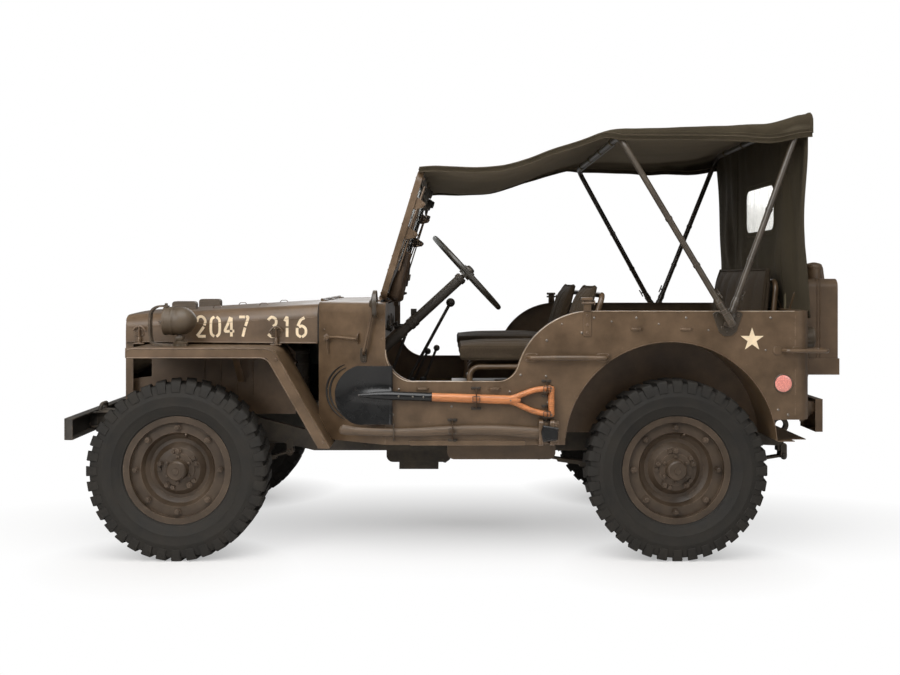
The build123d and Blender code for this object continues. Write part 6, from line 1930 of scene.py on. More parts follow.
@dataclass
class TubFittings:
    """Rivets, bow rest, handle flanges, loops and stiffeners on the tub's sides."""

    rivets: tuple[tuple[float, float], ...] = (
        (1.499, 0.899), (1.496, 0.755), (1.394, 0.760), (1.351, 0.692), (1.504, 0.649), (1.117, 0.633),
        (1.122, 0.579), (0.905, 0.702), (1.640, 0.930), (1.690, 0.990), (1.860, 0.990), (2.060, 0.990),
        (2.400, 0.990), (0.880, 0.600), (1.340, 0.520), (2.470, 0.600), (2.430, 0.620),
    )

    def build(self, repeater: Repeater) -> None:
        """Build the fittings."""
        plates, bolts, worn = Kit("tub_side_fittings", "body_paint"), [], []
        for side in Side:
            out, y = LEFT * side, side * SKIN
            worn += [(at(s, y, z), out) for s, z in self.rivets]
            for low, high in ((1.410, 1.470), (1.698, 1.758)):
                middle = (low + high) / 2
                plates.plate(rounded((high - low) / 2, 0.017, 0.012, 4), at(middle, y, 0.830), -AHEAD * side, UP,
                             0.0030)
                bolts += [(at(s, y + side * 0.003, z), out) for s in (middle - 0.020, middle + 0.020)
                          for z in (0.820, 0.840)]
            grip = [at(s, side * (SKIN + 0.026), 0.830) for s in (1.470, 1.520, 1.580, 1.640, 1.690)]
            plates.rod(grip, 0.0092, scales=[0.95, 1.15, 1.2, 1.15, 0.95], sides=14)
            self.bow_rest(plates, side, bolts)
            for station in (1.000, 1.290, 1.860, 2.060):
                z = 0.945 if station > 1.5 else 0.705
                plates.staple(at(station, y, z), BACK, out, 0.024, 0.016, 0.010, 0.009, 0.0025, 0.004)
            plates.plate(rounded(0.235, 0.010, 0.009, 4), at(1.180, y, 0.487), -AHEAD * side, UP, 0.005)
            for station in (2.428, 2.503):
                plates.plate(rounded(0.016, 0.016, 0.008, 4), at(station, y, 0.858), -AHEAD * side, UP, 0.003)
            self.arch_flange(plates, side)
            self.fender_details(plates, side, bolts)
        plates.done()
        heads(repeater, "tub_bolts", hex_head(0.0050, 0.0042), bolts)
        heads(repeater, "tub_rivets", dome_head(0.0055, 0.0034), worn, "bright_steel")

    @staticmethod
    def bow_rest(plates: Kit, side: int, bolts: list) -> None:
        """Upright bracket with its clamp box above the rim."""
        y = side * SKIN
        plates.plate(rounded(0.016, 0.062, 0.006, 4), at(1.662, y, 0.978), -AHEAD * side, UP, 0.004)
        plates.block(at(1.662, y + side * 0.003, 1.042), (0.030, 0.016, 0.050), 0.003)
        plates.block(at(1.660, y + side * 0.001, 1.066), (0.044, 0.034, 0.012), 0.003)
        plates.rod([at(1.638, y + side * 0.012, 1.050), at(1.686, y + side * 0.012, 1.050)], 0.0050, sides=10)
        plates.ring(at(1.690, y + side * 0.012, 1.050), AHEAD, 0.009, 0.0022)
        bolts += [(at(1.662, y + side * 0.004, z), LEFT * side) for z in (0.930, 0.962, 1.000)]

    @staticmethod
    def arch_flange(plates: Kit, side: int) -> None:
        """Rolled flange round the wheel arch."""
        points = []
        for k in range(49):
            angle = math.radians(2 + 160 * k / 48)
            z = 0.4666 + 0.4265 * math.sin(angle)
            points.append(at(1.9985 - 0.4265 * math.cos(angle), side * (SKIN - 0.004), z))
        points = [p for p in points if p.z > 0.482]
        sweep(plates.work, points, strap_profile(0.012, 0.004), (points[1] - points[0]).cross(LEFT))

    @staticmethod
    def fender_details(plates: Kit, side: int, bolts: list) -> None:
        """Rolled bead of the fender, its stays and the ribs of the apron."""
        y = side * (SKIN - 0.001)
        lip = [at(-0.1935, y, 0.832), at(-0.1935, y, 0.866), at(0.396, y, 0.866), at(0.6245, y, 0.468)]
        plates.rod(lip, 0.0034, bend=0.035, sides=8)
        low = [at(-0.190, side * (SKIN - 0.002), 0.829), at(0.372, side * (SKIN - 0.002), 0.829),
               at(0.581, side * (SKIN - 0.002), 0.466)]
        plates.rod(low, 0.0028, bend=0.03, sides=8)
        for station in (0.045, 0.115, 0.185, 0.255):
            plates.rod([at(station, side * 0.3765, 0.800), at(station, side * 0.3765, 0.640)], 0.0075, flat=0.6,
                       scales=[0.4, 0.4], sides=8)
        plates.strap([at(0.205, side * 0.378, 0.700), at(0.205, side * 0.560, 0.852), at(0.205, side * 0.640, 0.8625)],
                     0.030, 0.004, AHEAD.cross(Vector((0, side * 0.77, 0.64))), 0.02)
        bolts += [(at(s, side * (SKIN + 0.0003), z), LEFT * side) for s, z in ((0.410, 0.822), (0.600, 0.490))]
        bolts += [(at(s, side * 0.470, 0.8682), UP) for s in (-0.150, 0.050, 0.250)]


@dataclass
class BowFittings:
    """Pivot brackets, sockets, wing screws and straps of the top bows."""

    pivot: tuple[float, float] = (2.226, 0.975)
    bows: tuple[tuple[float, float], ...] = ((1.799, 1.727), (2.540, 1.795))

    def build(self, repeater: Repeater) -> None:
        """Build the fittings."""
        steel, bolts, web = Kit("bow_brackets", "bow_steel"), [], Kit("bow_straps", "webbing", smooth=60)
        for side in Side:
            out, y = LEFT * side, side * SKIN
            steel.plate([(-0.060, 0.030), (-0.048, 0.040), (0.048, 0.040), (0.060, 0.030), (0.034, -0.042),
                         (0.014, -0.058), (-0.014, -0.058), (-0.034, -0.042)], at(*self.spot(0, 0, y)), -AHEAD * side,
                        UP, 0.006, 0.0015)
            bolts += [(at(self.pivot[0] + a, y + side * 0.006, self.pivot[1] + b), out)
                      for a, b in ((-0.042, 0.026), (0.042, 0.026), (0.0, -0.042), (-0.022, -0.024), (0.022, -0.024))]
            for (station, z), foot, top_y in zip(self.bows, (0.775, 0.747), (0.684, 0.680)):
                base = at(self.pivot[0], side * foot, self.pivot[1])
                ahead = (at(station, side * top_y, z) - base).normalized()
                turn = frame_of(ahead, out)
                steel.block(base + ahead * 0.012, (0.066, 0.030, 0.020), 0.004, turn)
                for reach, radius in ((0.046, 0.0168), (0.078, 0.0160)):
                    steel.turned([(0.0127, -0.009), (radius, -0.008), (radius, 0.008), (0.0127, 0.009)],
                                 base + ahead * reach, ahead, 24)
                steel.turned([(0.0128, 0.030), (0.0142, 0.034), (0.0142, 0.098), (0.0128, 0.102)], base, ahead, 24)
                knob = base + ahead * 0.118 + ahead.cross(out).normalized() * 0.020
                steel.rod([base + ahead * 0.118, knob], 0.0042)
                for way in (-1, 1):
                    steel.rod([knob, knob + ahead * way * 0.012, knob + ahead * way * 0.019 + (
                        knob - base).cross(out).cross(ahead).normalized() * 0.004], 0.0033, bend=0.006, sides=8)
                for reach in (0.30, 0.55):
                    middle = base.lerp(at(station, side * top_y, z), reach)
                    steel.turned([(0.0126, -0.007), (0.0146, -0.006), (0.0146, 0.006), (0.0126, 0.007)],
                                 middle, ahead, 20)
            hub = at(self.pivot[0], side * 0.7866, self.pivot[1])
            steel.turned([(0, 0.0), (0.010, -0.001), (0.0125, -0.006), (0.0125, -0.014), (0.0, -0.016)], hub, out, 6)
        steel.rod([at(1.799, -0.560, 1.706), at(1.799, 0.560, 1.706)], 0.0030, sides=6)
        for y in (-0.50, -0.17, 0.17, 0.50):
            for station, z in self.bows:
                loop = [at(station + 0.0152 * math.cos(a), y, z + 0.0152 * math.sin(a)) for a in turns(12)]
                sweep(web.work, loop, strap_profile(0.026, 0.0022), BACK, closed=True)
        steel.done()
        web.done()
        heads(repeater, "bow_bolts", hex_head(0.0058, 0.005), bolts, "bow_steel")

    def spot(self, a: float, b: float, y: float) -> Point:
        """Station, side and height of a point near the pivot."""
        return self.pivot[0] + a, y, self.pivot[1] + b


@dataclass
class RearFittings:
    """Fuel can, spare carrier, bumperettes and hook in detail."""

    spare: tuple[float, float] = (-0.372, 0.862)
    gap: float = 0.092
    half: float = 0.0825

    def build(self, repeater: Repeater) -> None:
        """Build the fittings."""
        self.can(repeater)
        steel, bolts = Kit("spare_carrier", "body_paint"), []
        middle = at(TAIL + self.gap + self.half, *self.spare)
        for angle in turns(3, math.pi / 2):
            way = Vector((0, math.cos(angle), math.sin(angle)))
            steel.plate([(0.0, -0.020), (0.126, -0.012), (0.130, 0.0), (0.126, 0.012), (0.0, 0.020)],
                        middle + BACK * 0.0415, way, way.cross(BACK), 0.006, 0.001)
            bolts += [(middle + BACK * 0.0475 + way * 0.074, BACK)]
        steel.turned([(0, 0.052), (0.012, 0.051), (0.016, 0.046), (0.030, 0.045), (0.034, 0.0415)], middle, BACK, 28)
        for y, z in ((-0.135, 0.055), (0.135, 0.055), (-0.135, -0.055), (0.135, -0.055)):
            bolts.append((at(TAIL + 0.006, self.spare[0] + y, self.spare[1] + z), BACK))
        for side in Side:
            for y in (0.460, 0.580):
                for z in (0.606, 0.630):
                    bolts.append((at(TAIL + 0.0845, side * y, z), BACK))
                steel.plate([(0, 0), (0.066, 0), (0.012, -0.046), (0, -0.046)],
                            at(TAIL, side * y - 0.003, 0.600), BACK, UP, 0.006)
        steel.turned([(0.030, -0.002), (0.034, 0.004), (0.034, 0.022), (0.028, 0.028), (0, 0.030)],
                     at(TAIL, 0.285, 0.700), BACK, 28)
        steel.block(at(TAIL + 0.014, 0.285, 0.738), (0.028, 0.030, 0.010), 0.002)
        for y in (-0.06, 0.06, 0.640, -0.640):
            steel.staple(at(TAIL, y, 0.966), LEFT, BACK, 0.022, 0.015, 0.010, 0.010, 0.0025, 0.004)
        steel.done()
        hook = Kit("hook_latch", "chassis")
        hook.block(at(TAIL + 0.095, 0, 0.500), (0.052, 0.024, 0.012), 0.003)
        hook.rod([at(TAIL + 0.070, -0.016, 0.492), at(TAIL + 0.070, 0.016, 0.492)], 0.005)
        hook.rod([at(TAIL + 0.115, 0, 0.506), at(TAIL + 0.125, 0, 0.516), at(TAIL + 0.128, 0, 0.530)],
                 0.004)
        for side in Side:
            chain = [at(TAIL + 0.012, side * 0.045, 0.455), at(TAIL + 0.030, side * 0.055, 0.435),
                     at(TAIL + 0.012, side * 0.040, 0.420)]
            hook.rod(smooth_path(chain, 5), 0.006, bend=0.004)
        hook.done()
        bolts += [(at(TAIL + 0.012, side * 0.045, z), BACK) for side in Side for z in (0.480, 0.440)]
        heads(repeater, "rear_bolts", hex_head(0.0068, 0.0058), bolts)

    def can(self, repeater: Repeater) -> None:
        """Pressed cross, seam, cap and strap of the fuel can."""
        can = Kit("can_pressings", "body_paint", smooth=50)
        front, rear = TAIL + 0.008, TAIL + 0.168
        for station in (rear, front):
            for a, b in (((0.250, 0.800), (0.518, 1.100)), ((0.518, 0.800), (0.250, 1.100))):
                ends = [at(station, y, z) for y, z in (a, b)]
                path = [ends[0].lerp(ends[1], t) for t in (0, 0.06, 0.5, 0.94, 1)]
                can.rod(path, 0.010, scales=[0.15, 0.9, 1.0, 0.9, 0.15], sides=10)
            outline = rounded(0.152, 0.178, 0.030, 6, (0.384, 0.9495))
            path = [at(station, y, z) for y, z in outline]
            sweep(can.work, path, round_profile(0.0036, 8), AHEAD, closed=True)
        middle = (front + rear) / 2
        outline = rounded(0.172, 0.1975, 0.034, 7, (0.384, 0.9495))
        for shift in (-0.006, 0.006):
            path = [at(middle + shift, y, z) for y, z in outline]
            sweep(can.work, path, round_profile(0.0026, 6), AHEAD, closed=True)
        spout = at(middle, 0.494, 1.194)
        can.turned([(0.0285, -0.006), (0.0310, -0.002), (0.0310, 0.010), (0.0270, 0.014), (0.0, 0.016)], spout, UP, 28)
        can.rod([spout + Vector((-0.030, 0, -0.010)), spout + Vector((-0.034, 0, 0.012)), spout + Vector((0, 0, 0.020)),
                 spout + Vector((0.034, 0, 0.012)), spout + Vector((0.030, 0, -0.010))], 0.0040, bend=0.012)
        can.block(spout + Vector((0.0, -0.030, 0.006)), (0.030, 0.014, 0.012), 0.003)
        can.done()
        web = Kit("can_strap", "webbing", smooth=60)
        y = 0.384
        web.strap([at(TAIL + 0.001, y, 0.800), at(TAIL + 0.001, y, 1.146), at(front + 0.010, y, 1.1485),
                   at(rear - 0.010, y, 1.1485), at(rear + 0.0125, y, 1.138), at(rear + 0.0125, y, 0.806)],
                  0.030, 0.0026, BACK, 0.020)
        web.done()
        buckle = Kit("can_buckle", "bow_steel")
        place = at(rear + 0.0155, y, 0.905)
        buckle.buckle(place, LEFT * 0.019, UP * 0.013, 0.0022)
        buckle.rod([place - LEFT * 0.019, place + LEFT * 0.019], 0.0022, sides=8)
        buckle.done()
        places = [(at(TAIL + 0.174, s, 0.775), BACK) for s in (0.230, 0.307, 0.461, 0.538)]
        heads(repeater, "can_holder_rivets", dome_head(0.0045, 0.003), places)


@dataclass
class Underbody:
    """Spring clamps, shackles, shock absorbers, covers and joints below the car."""

    def build(self, repeater: Repeater) -> None:
        """Build the fittings."""
        dark, bolts = Kit("suspension_fittings", "chassis"), []
        for station, half, eye in ((0.0, 0.415, 0.398), (WHEELBASE, 0.533, 0.380)):
            for side in Side:
                y = side * 0.345
                for a in (-0.036, 0.036):
                    for b in (-0.024, 0.024):
                        dark.rod([at(station + a, y + b, 0.286), at(station + a, y + b, 0.372)], 0.0062, sides=8)
                        bolts.append((at(station + a, y + b, 0.2830), -UP))
                    arch = [at(station + a, y - 0.024, 0.368), at(station + a, y - 0.020, 0.404),
                            at(station + a, y + 0.020, 0.404), at(station + a, y + 0.024, 0.368)]
                    dark.rod(arch, 0.0062, bend=0.016, sides=8)
                for way in (-1, 1):
                    place = at(station + way * half, y, eye)
                    for b in (-1, 1):
                        dark.plate(rounded(0.013, 0.036, 0.012, 5), place + LEFT * (b * 0.0235) + UP * 0.016,
                                   AHEAD * -b, UP, 0.006)
                        dark.turned([(0.0, 0.036), (0.008, 0.035), (0.010, 0.030), (0.010, 0.0)], place, LEFT * b, 12)
                foot = at(station + 0.070, side * 0.400, 0.305)
                head = at(station + 0.190, side * 0.400, 0.560 if station < 1 else 0.505)
                if station > 1:
                    foot, head = at(station - 0.070, side * 0.400, 0.305), at(station - 0.260, side * 0.392, 0.478)
                ahead = (head - foot).normalized()
                reach = (head - foot).length
                dark.turned([(0, 0.0), (0.017, 0.003), (0.020, 0.012), (0.020, reach * 0.52), (0.0165, reach * 0.53),
                             (0.007, reach * 0.54), (0.007, reach * 0.60), (0.024, reach * 0.58),
                             (0.024, reach * 0.985), (0.012, reach), (0, reach)], foot, ahead, 20)
                for end in (foot, head):
                    dark.turned([(0, -0.030), (0.011, -0.030), (0.012, 0.012), (0, 0.013)], end, LEFT * side, 14)
        for x, way in ((0.0, 1), (WHEELBASE, -1)):
            middle = at(x, -0.190, AXLE_HEIGHT)
            dark.turned([(0.098, 0.052), (0.101, 0.060), (0.088, 0.074), (0.050, 0.098), (0, 0.106)], middle,
                        AHEAD * way, 36)
            for angle in turns(10):
                spoke = (LEFT * math.cos(angle) + UP * math.sin(angle)) * 0.094
                bolts.append((middle + AHEAD * way * 0.060 + spoke, AHEAD * way))
            for reach in (0.203, 0.214):
                joint = at(x + way * reach, -0.190, AXLE_HEIGHT)
                dark.rod([joint - UP * 0.040, joint + UP * 0.040], 0.011, sides=12)
                dark.rod([joint - LEFT * 0.040, joint + LEFT * 0.040], 0.011, sides=12)
        for s, y, z in ((0.900, -0.10, 0.2715), (0.960, 0.06, 0.2715), (1.040, -0.05, 0.2715), (0.860, -0.25, 0.3055),
                        (1.090, -0.25, 0.3055), (1.090, 0.09, 0.3055)):
            bolts.append((at(s, y, z), -UP))
        for station in (0.75, 0.95, 1.25, 1.45, 2.30):
            for side in Side:
                bolts += [(at(station, side * 0.3718, z), LEFT * side) for z in (0.425, 0.468)]
        dark.done()
        heads(repeater, "frame_bolts", hex_head(0.0075, 0.0065), bolts, "chassis")
        self.bumper(repeater)

    @staticmethod
    def bumper(repeater: Repeater) -> None:
        """Gussets and bolts of the front bumper."""
        plates, bolts = Kit("bumper_gussets", "chassis"), []
        for side in Side:
            for height in (0.5660, 0.5025):
                outline = [(0.0, -0.110), (0.012, -0.120), (0.012, 0.040), (0.0, 0.048), (-0.175, 0.022),
                           (-0.175, -0.022)]
                plates.plate([(a, side * b) for a, b in outline][::side], at(-0.434, side * 0.349, height),
                             AHEAD, LEFT, 0.005, 0.001)
            bolts += [(at(-0.4545, side * y, z), AHEAD) for y in (0.330, 0.370) for z in (0.515, 0.555)]
            bolts += [(at(s, side * y, 0.571), UP) for s, y in ((-0.424, 0.300), (-0.424, 0.420), (-0.300, 0.349),
                                                               (-0.350, 0.349))]
            plates.rod([at(-0.405, side * 0.310, 0.5785), at(-0.400, side * 0.310, 0.6030),
                        at(-0.400, side * 0.388, 0.6030), at(-0.405, side * 0.388, 0.5785)],
                       0.0085, bend=0.022, sides=12)
        plates.done()
        heads(repeater, "bumper_bolts", dome_head(0.0100, 0.0055), bolts, "bumper_paint")


@dataclass
class Interior:
    """Dials, pedals, lever boots, steering hub, mirror, battery and oil filter."""

    panel: float = 0.831

    def build(self, repeater: Repeater) -> None:
        """Build the fittings."""
        faces, trim = Kit("dial_faces", "dial_face"), Kit("dial_bezels", "bow_steel")
        dark = Kit("cabin_fittings", "chassis")
        needles = Kit("dial_needles", "star_paint", smooth=20)
        for y, z, radius in ((0.0, 0.935, 0.040), (0.098, 0.955, 0.027), (-0.098, 0.955, 0.027),
                             (0.165, 0.935, 0.027), (-0.165, 0.935, 0.027)):
            place = at(self.panel, y, z)
            faces.turned([(0, 0.0018), (radius * 0.9, 0.0018), (radius * 0.9, -0.001), (0, -0.001)], place, BACK, 32)
            trim.turned([(radius * 0.90, 0.0), (radius * 0.92, 0.0055), (radius, 0.0045), (radius * 1.03, 0.0)],
                        place, BACK, 32)
            way = Vector((0, -0.6, 0.8)) * radius * 0.62
            needles.rod([place + BACK * 0.0026 - way * 0.2, place + BACK * 0.0026 + way], 0.0008, sides=5)
            for k in range(9):
                angle = math.radians(225 - k * 33.75)
                way = Vector((0, math.cos(angle), math.sin(angle))) * radius
                needles.rod([place + BACK * 0.0021 + way * 0.70, place + BACK * 0.0021 + way * 0.84], 0.0007, sides=4)
        for y in (0.240, 0.280, 0.320, -0.240, -0.280):
            dark.turned([(0.0, 0.026), (0.009, 0.025), (0.011, 0.020), (0.0065, 0.014), (0.0045, 0.010), (0.0045, 0)],
                        at(self.panel, y, 0.925), BACK, 16)
        for y, z in ((0.455, 0.930), (-0.420, 0.935)):
            trim.plate(rounded(0.045, 0.026, 0.003, 2), at(self.panel, y, z), -LEFT, UP, 0.0012, 0.0002)
        for y in (0.455, 0.320, 0.235):
            foot = at(0.775, y, 0.640)
            dark.rod([at(0.700, y, 0.560), foot + Vector((0.02, 0, -0.01)), foot], 0.0075, bend=0.03)
            if y > 0.3:
                dark.plate(rounded(0.028, 0.024, 0.009, 4), foot, -LEFT, Vector((0.45, 0, 0.89)), 0.006, 0.0012)
            else:
                dark.plate(rounded(0.022, 0.060, 0.018, 5), foot - UP * 0.02, -LEFT, Vector((0.55, 0, 0.83)),
                           0.006, 0.0012)
        boots = Kit("lever_boots", "rubber", smooth=60)
        for station, y in ((0.905, 0.010), (0.935, -0.060), (0.985, -0.100)):
            radius = 0.034 if y > 0 else 0.024
            boots.turned([(radius, 0.0), (radius, 0.006), (radius * 0.82, 0.010), (radius * 0.86, 0.015),
                          (radius * 0.66, 0.020), (radius * 0.70, 0.026), (0.012, 0.034), (0.0, 0.036)],
                         at(station, y, 0.6405), UP, 24)
        boots.done()
        near, far = self.panel + 0.004, self.panel + 0.050
        dark.rod([at(near, -0.335, 0.905), at(far, -0.335, 0.905), at(far, -0.505, 0.905), at(near, -0.505, 0.905)],
                 0.0085, bend=0.03, sides=12)
        dark.strap([at(0.840, 0.060, 0.700), at(0.905, 0.060, 0.880)], 0.014, 0.006, LEFT)
        dark.turned([(0, 0.03), (0.010, 0.028), (0.012, 0.01), (0.009, 0.0)], at(0.905, 0.060, 0.880), UP, 14)
        for kit in (faces, trim, dark, needles):
            kit.done()
        self.column()
        self.mirror()
        self.engine_bay()

    @staticmethod
    def column() -> None:
        """Horn button and twin rods along the spokes of the steering wheel, collars of the column."""
        lean = math.radians(42.5)
        down = Vector((math.cos(lean), 0, -math.sin(lean)))
        hub = at(1.185, 0.360, 1.173)
        wheel = Kit("steering_hub_cap", "steering_rim", "steering_wheel", smooth=50)
        wheel.turned([(0.0, 0.032), (0.014, 0.031), (0.020, 0.026), (0.021, 0.0195), (0.030, 0.019), (0.0315, 0.012),
                      (0.029, 0.0)], hub, -down, 32)
        first, second = LEFT, down.cross(LEFT)
        for angle in turns(3, math.pi / 2):
            way = first * math.cos(angle) + second * math.sin(angle)
            for shift in (-0.0075, 0.0075):
                side = down.cross(way) * shift
                wheel.rod([hub + way * 0.028 + side * 0.8, hub + way * 0.190 + side * 1.2], 0.0034, sides=8)
        wheel.done()
        collar = Kit("column_collars", "chassis")
        for reach in (0.040, 0.310, 0.330, 0.620):
            collar.turned([(0.0222, -0.010), (0.0262, -0.008), (0.0262, 0.008), (0.0222, 0.010)], hub + down * reach,
                          down, 24)
        collar.strap([hub + down * 0.315 - LEFT * 0.030, hub + down * 0.315 - LEFT * 0.030 + UP * 0.055],
                     0.026, 0.004, LEFT)
        collar.done()

    @staticmethod
    def engine_bay() -> None:
        """Battery with its clamp on the right, oil filter on the left."""
        cell, steel = Kit("battery", "rubber"), Kit("battery_clamp", "chassis")
        centre = at(0.430, -0.275, 0.742)
        cell.block(centre, (0.222, 0.150, 0.205), 0.006)
        cell.block(centre + UP * 0.106, (0.206, 0.134, 0.012), 0.003)
        for k in range(3):
            place = centre + AHEAD * (k - 1) * 0.066 + UP * 0.110
            cell.turned([(0.015, 0.0), (0.016, 0.008), (0.010, 0.012), (0, 0.012)], place, UP, 18)
        for way in (-1, 1):
            post = centre + AHEAD * way * 0.088 + LEFT * 0.045 + UP * 0.104
            steel.turned([(0.0105, 0.0), (0.0095, 0.020), (0, 0.021)], post, UP, 16)
            steel.block(post + UP * 0.011, (0.034, 0.024, 0.013), 0.003)
        for way in (-1, 1):
            steel.rod([centre + Vector((way * 0.118, 0, -0.105)), centre + Vector((way * 0.118, 0, 0.120))], 0.0042)
        steel.block(centre + UP * 0.116, (0.250, 0.020, 0.007), 0.002)
        steel.block(centre - UP * 0.110, (0.262, 0.176, 0.014), 0.003)
        steel.block(centre - UP * 0.152, (0.250, 0.150, 0.074), 0.004)
        for way in (-1, 1):
            steel.strap([centre + Vector((way * 0.09, -0.080, -0.110)), centre + Vector((way * 0.09, -0.100, -0.150)),
                         at(0.430 - way * 0.09, -0.376, 0.575)], 0.030, 0.005, UP, 0.02)
        filter_at = at(0.430, 0.272, 0.640)
        steel.turned([(0, 0.0), (0.040, 0.002), (0.052, 0.010), (0.056, 0.022), (0.056, 0.176), (0.060, 0.180),
                      (0.060, 0.190), (0.050, 0.200), (0.022, 0.207), (0.012, 0.222), (0, 0.224)], filter_at, UP, 40)
        for reach in (0.060, 0.140):
            steel.turned([(0.0563, -0.009), (0.0590, -0.008), (0.0590, 0.008), (0.0563, 0.009)],
                         filter_at + UP * reach, UP, 40)
            steel.strap([filter_at + Vector((0, 0.050, reach)), filter_at + Vector((0, 0.0985, reach))],
                        0.03, 0.004, UP)
        for reach, far in ((0.035, 0.60), (0.165, 0.80)):
            pipe = [filter_at + Vector((0.0, -0.050, reach)), filter_at + Vector((0.02, -0.072, reach)),
                    filter_at + Vector((0.10, -0.088, far - 0.640)), filter_at + Vector((0.16, -0.100, far - 0.640))]
            steel.rod(smooth_path(pipe, 6), 0.0050, bend=0.002, sides=8)
        cell.done()
        steel.done()

    @staticmethod
    def mirror() -> None:
        """Glass, rim and arm fittings of the mirror."""
        centre = at(0.807, 0.722, 1.046)
        glass = Kit("mirror_glass", "mirror_glass", smooth=40)
        glass.turned([(0, 0.0082), (0.030, 0.0080), (0.0500, 0.0072), (0.0500, 0.006), (0, 0.006)], centre, BACK, 40)
        glass.done()
        rim = Kit("mirror_rim", "bow_steel")
        rim.turned([(0.0545, -0.007), (0.0560, 0.002), (0.0555, 0.008), (0.0520, 0.0095), (0.0495, 0.0078)], centre,
                   BACK, 40)
        rim.turned([(0.052, 0.006), (0.040, 0.011), (0.018, 0.014), (0.010, 0.022), (0, 0.023)], centre, AHEAD, 32)
        foot = at(0.760, cowl_half(0.760), 0.836)
        out = cowl_out(Side.LEFT)
        rim.plate(rounded(0.016, 0.030, 0.012, 5), foot, Vector((-0.844, 0.537, 0)), UP, 0.005)
        for z in (-0.018, 0.018):
            rim.turned([(0.0062, 0.004), (0.0062, 0.009), (0, 0.010)], foot + UP * z, out, 6)
        rim.done()


@dataclass
class Radiator:
    """Fins of the radiator core, its cap and pipes, and the bolts of the grille."""

    def build(self, repeater: Repeater) -> None:
        """Build the fins and small parts."""
        fin = bmesh.new()
        add_block(fin, Vector(), (0.0012, 0.012, 0.305))
        places = [(at(-0.2165, -0.216 + k * 0.0060, 0.738), AHEAD, UP) for k in range(73)]
        part = finish_mesh(fin, "fin")
        part.transform(Matrix.Rotation(math.pi / 2, 4, "Y"))
        make_piece("radiator_fins", repeater.on_points(places, part, "chassis"), "chassis", smooth=None)
        small = Kit("radiator_tubes", "chassis")
        for k in range(13):
            z = 0.600 + k * 0.0235
            small.rod([at(-0.2185, -0.215, z), at(-0.2185, 0.215, z)], 0.0022, sides=5)
        small.turned([(0.030, 0.0), (0.033, 0.002), (0.033, 0.009), (0.026, 0.013), (0, 0.014)],
                     at(-0.186, 0, 0.950), UP, 24)
        for side in Side:
            small.block(at(-0.2510, side * 0.2300, 0.765), (0.064, 0.003, 0.370), 0.0008)
        small.block(at(-0.2510, 0.0, 0.592), (0.064, 0.457, 0.003), 0.0008)
        small.done()
        bolts = [(at(-0.2852, side * y, z), AHEAD) for side in Side
                 for y, z in ((0.400, 0.600), (0.400, 0.780), (0.400, 0.930), (0.215, 0.940), (0.215, 0.595))]
        heads(repeater, "grille_bolts", dome_head(0.0050, 0.003), bolts)
        rim = Kit("grille_beads", "body_paint", smooth=50)
        for k in range(9):
            y = (k - 4) * 0.042
            outline = rounded(0.0135, 0.1335, 0.0134, 5, (y, 0.775))
            sweep(rim.work, [at(-0.2852, a, b) for a, b in outline], round_profile(0.0024, 6), AHEAD, closed=True)
        rim.done()


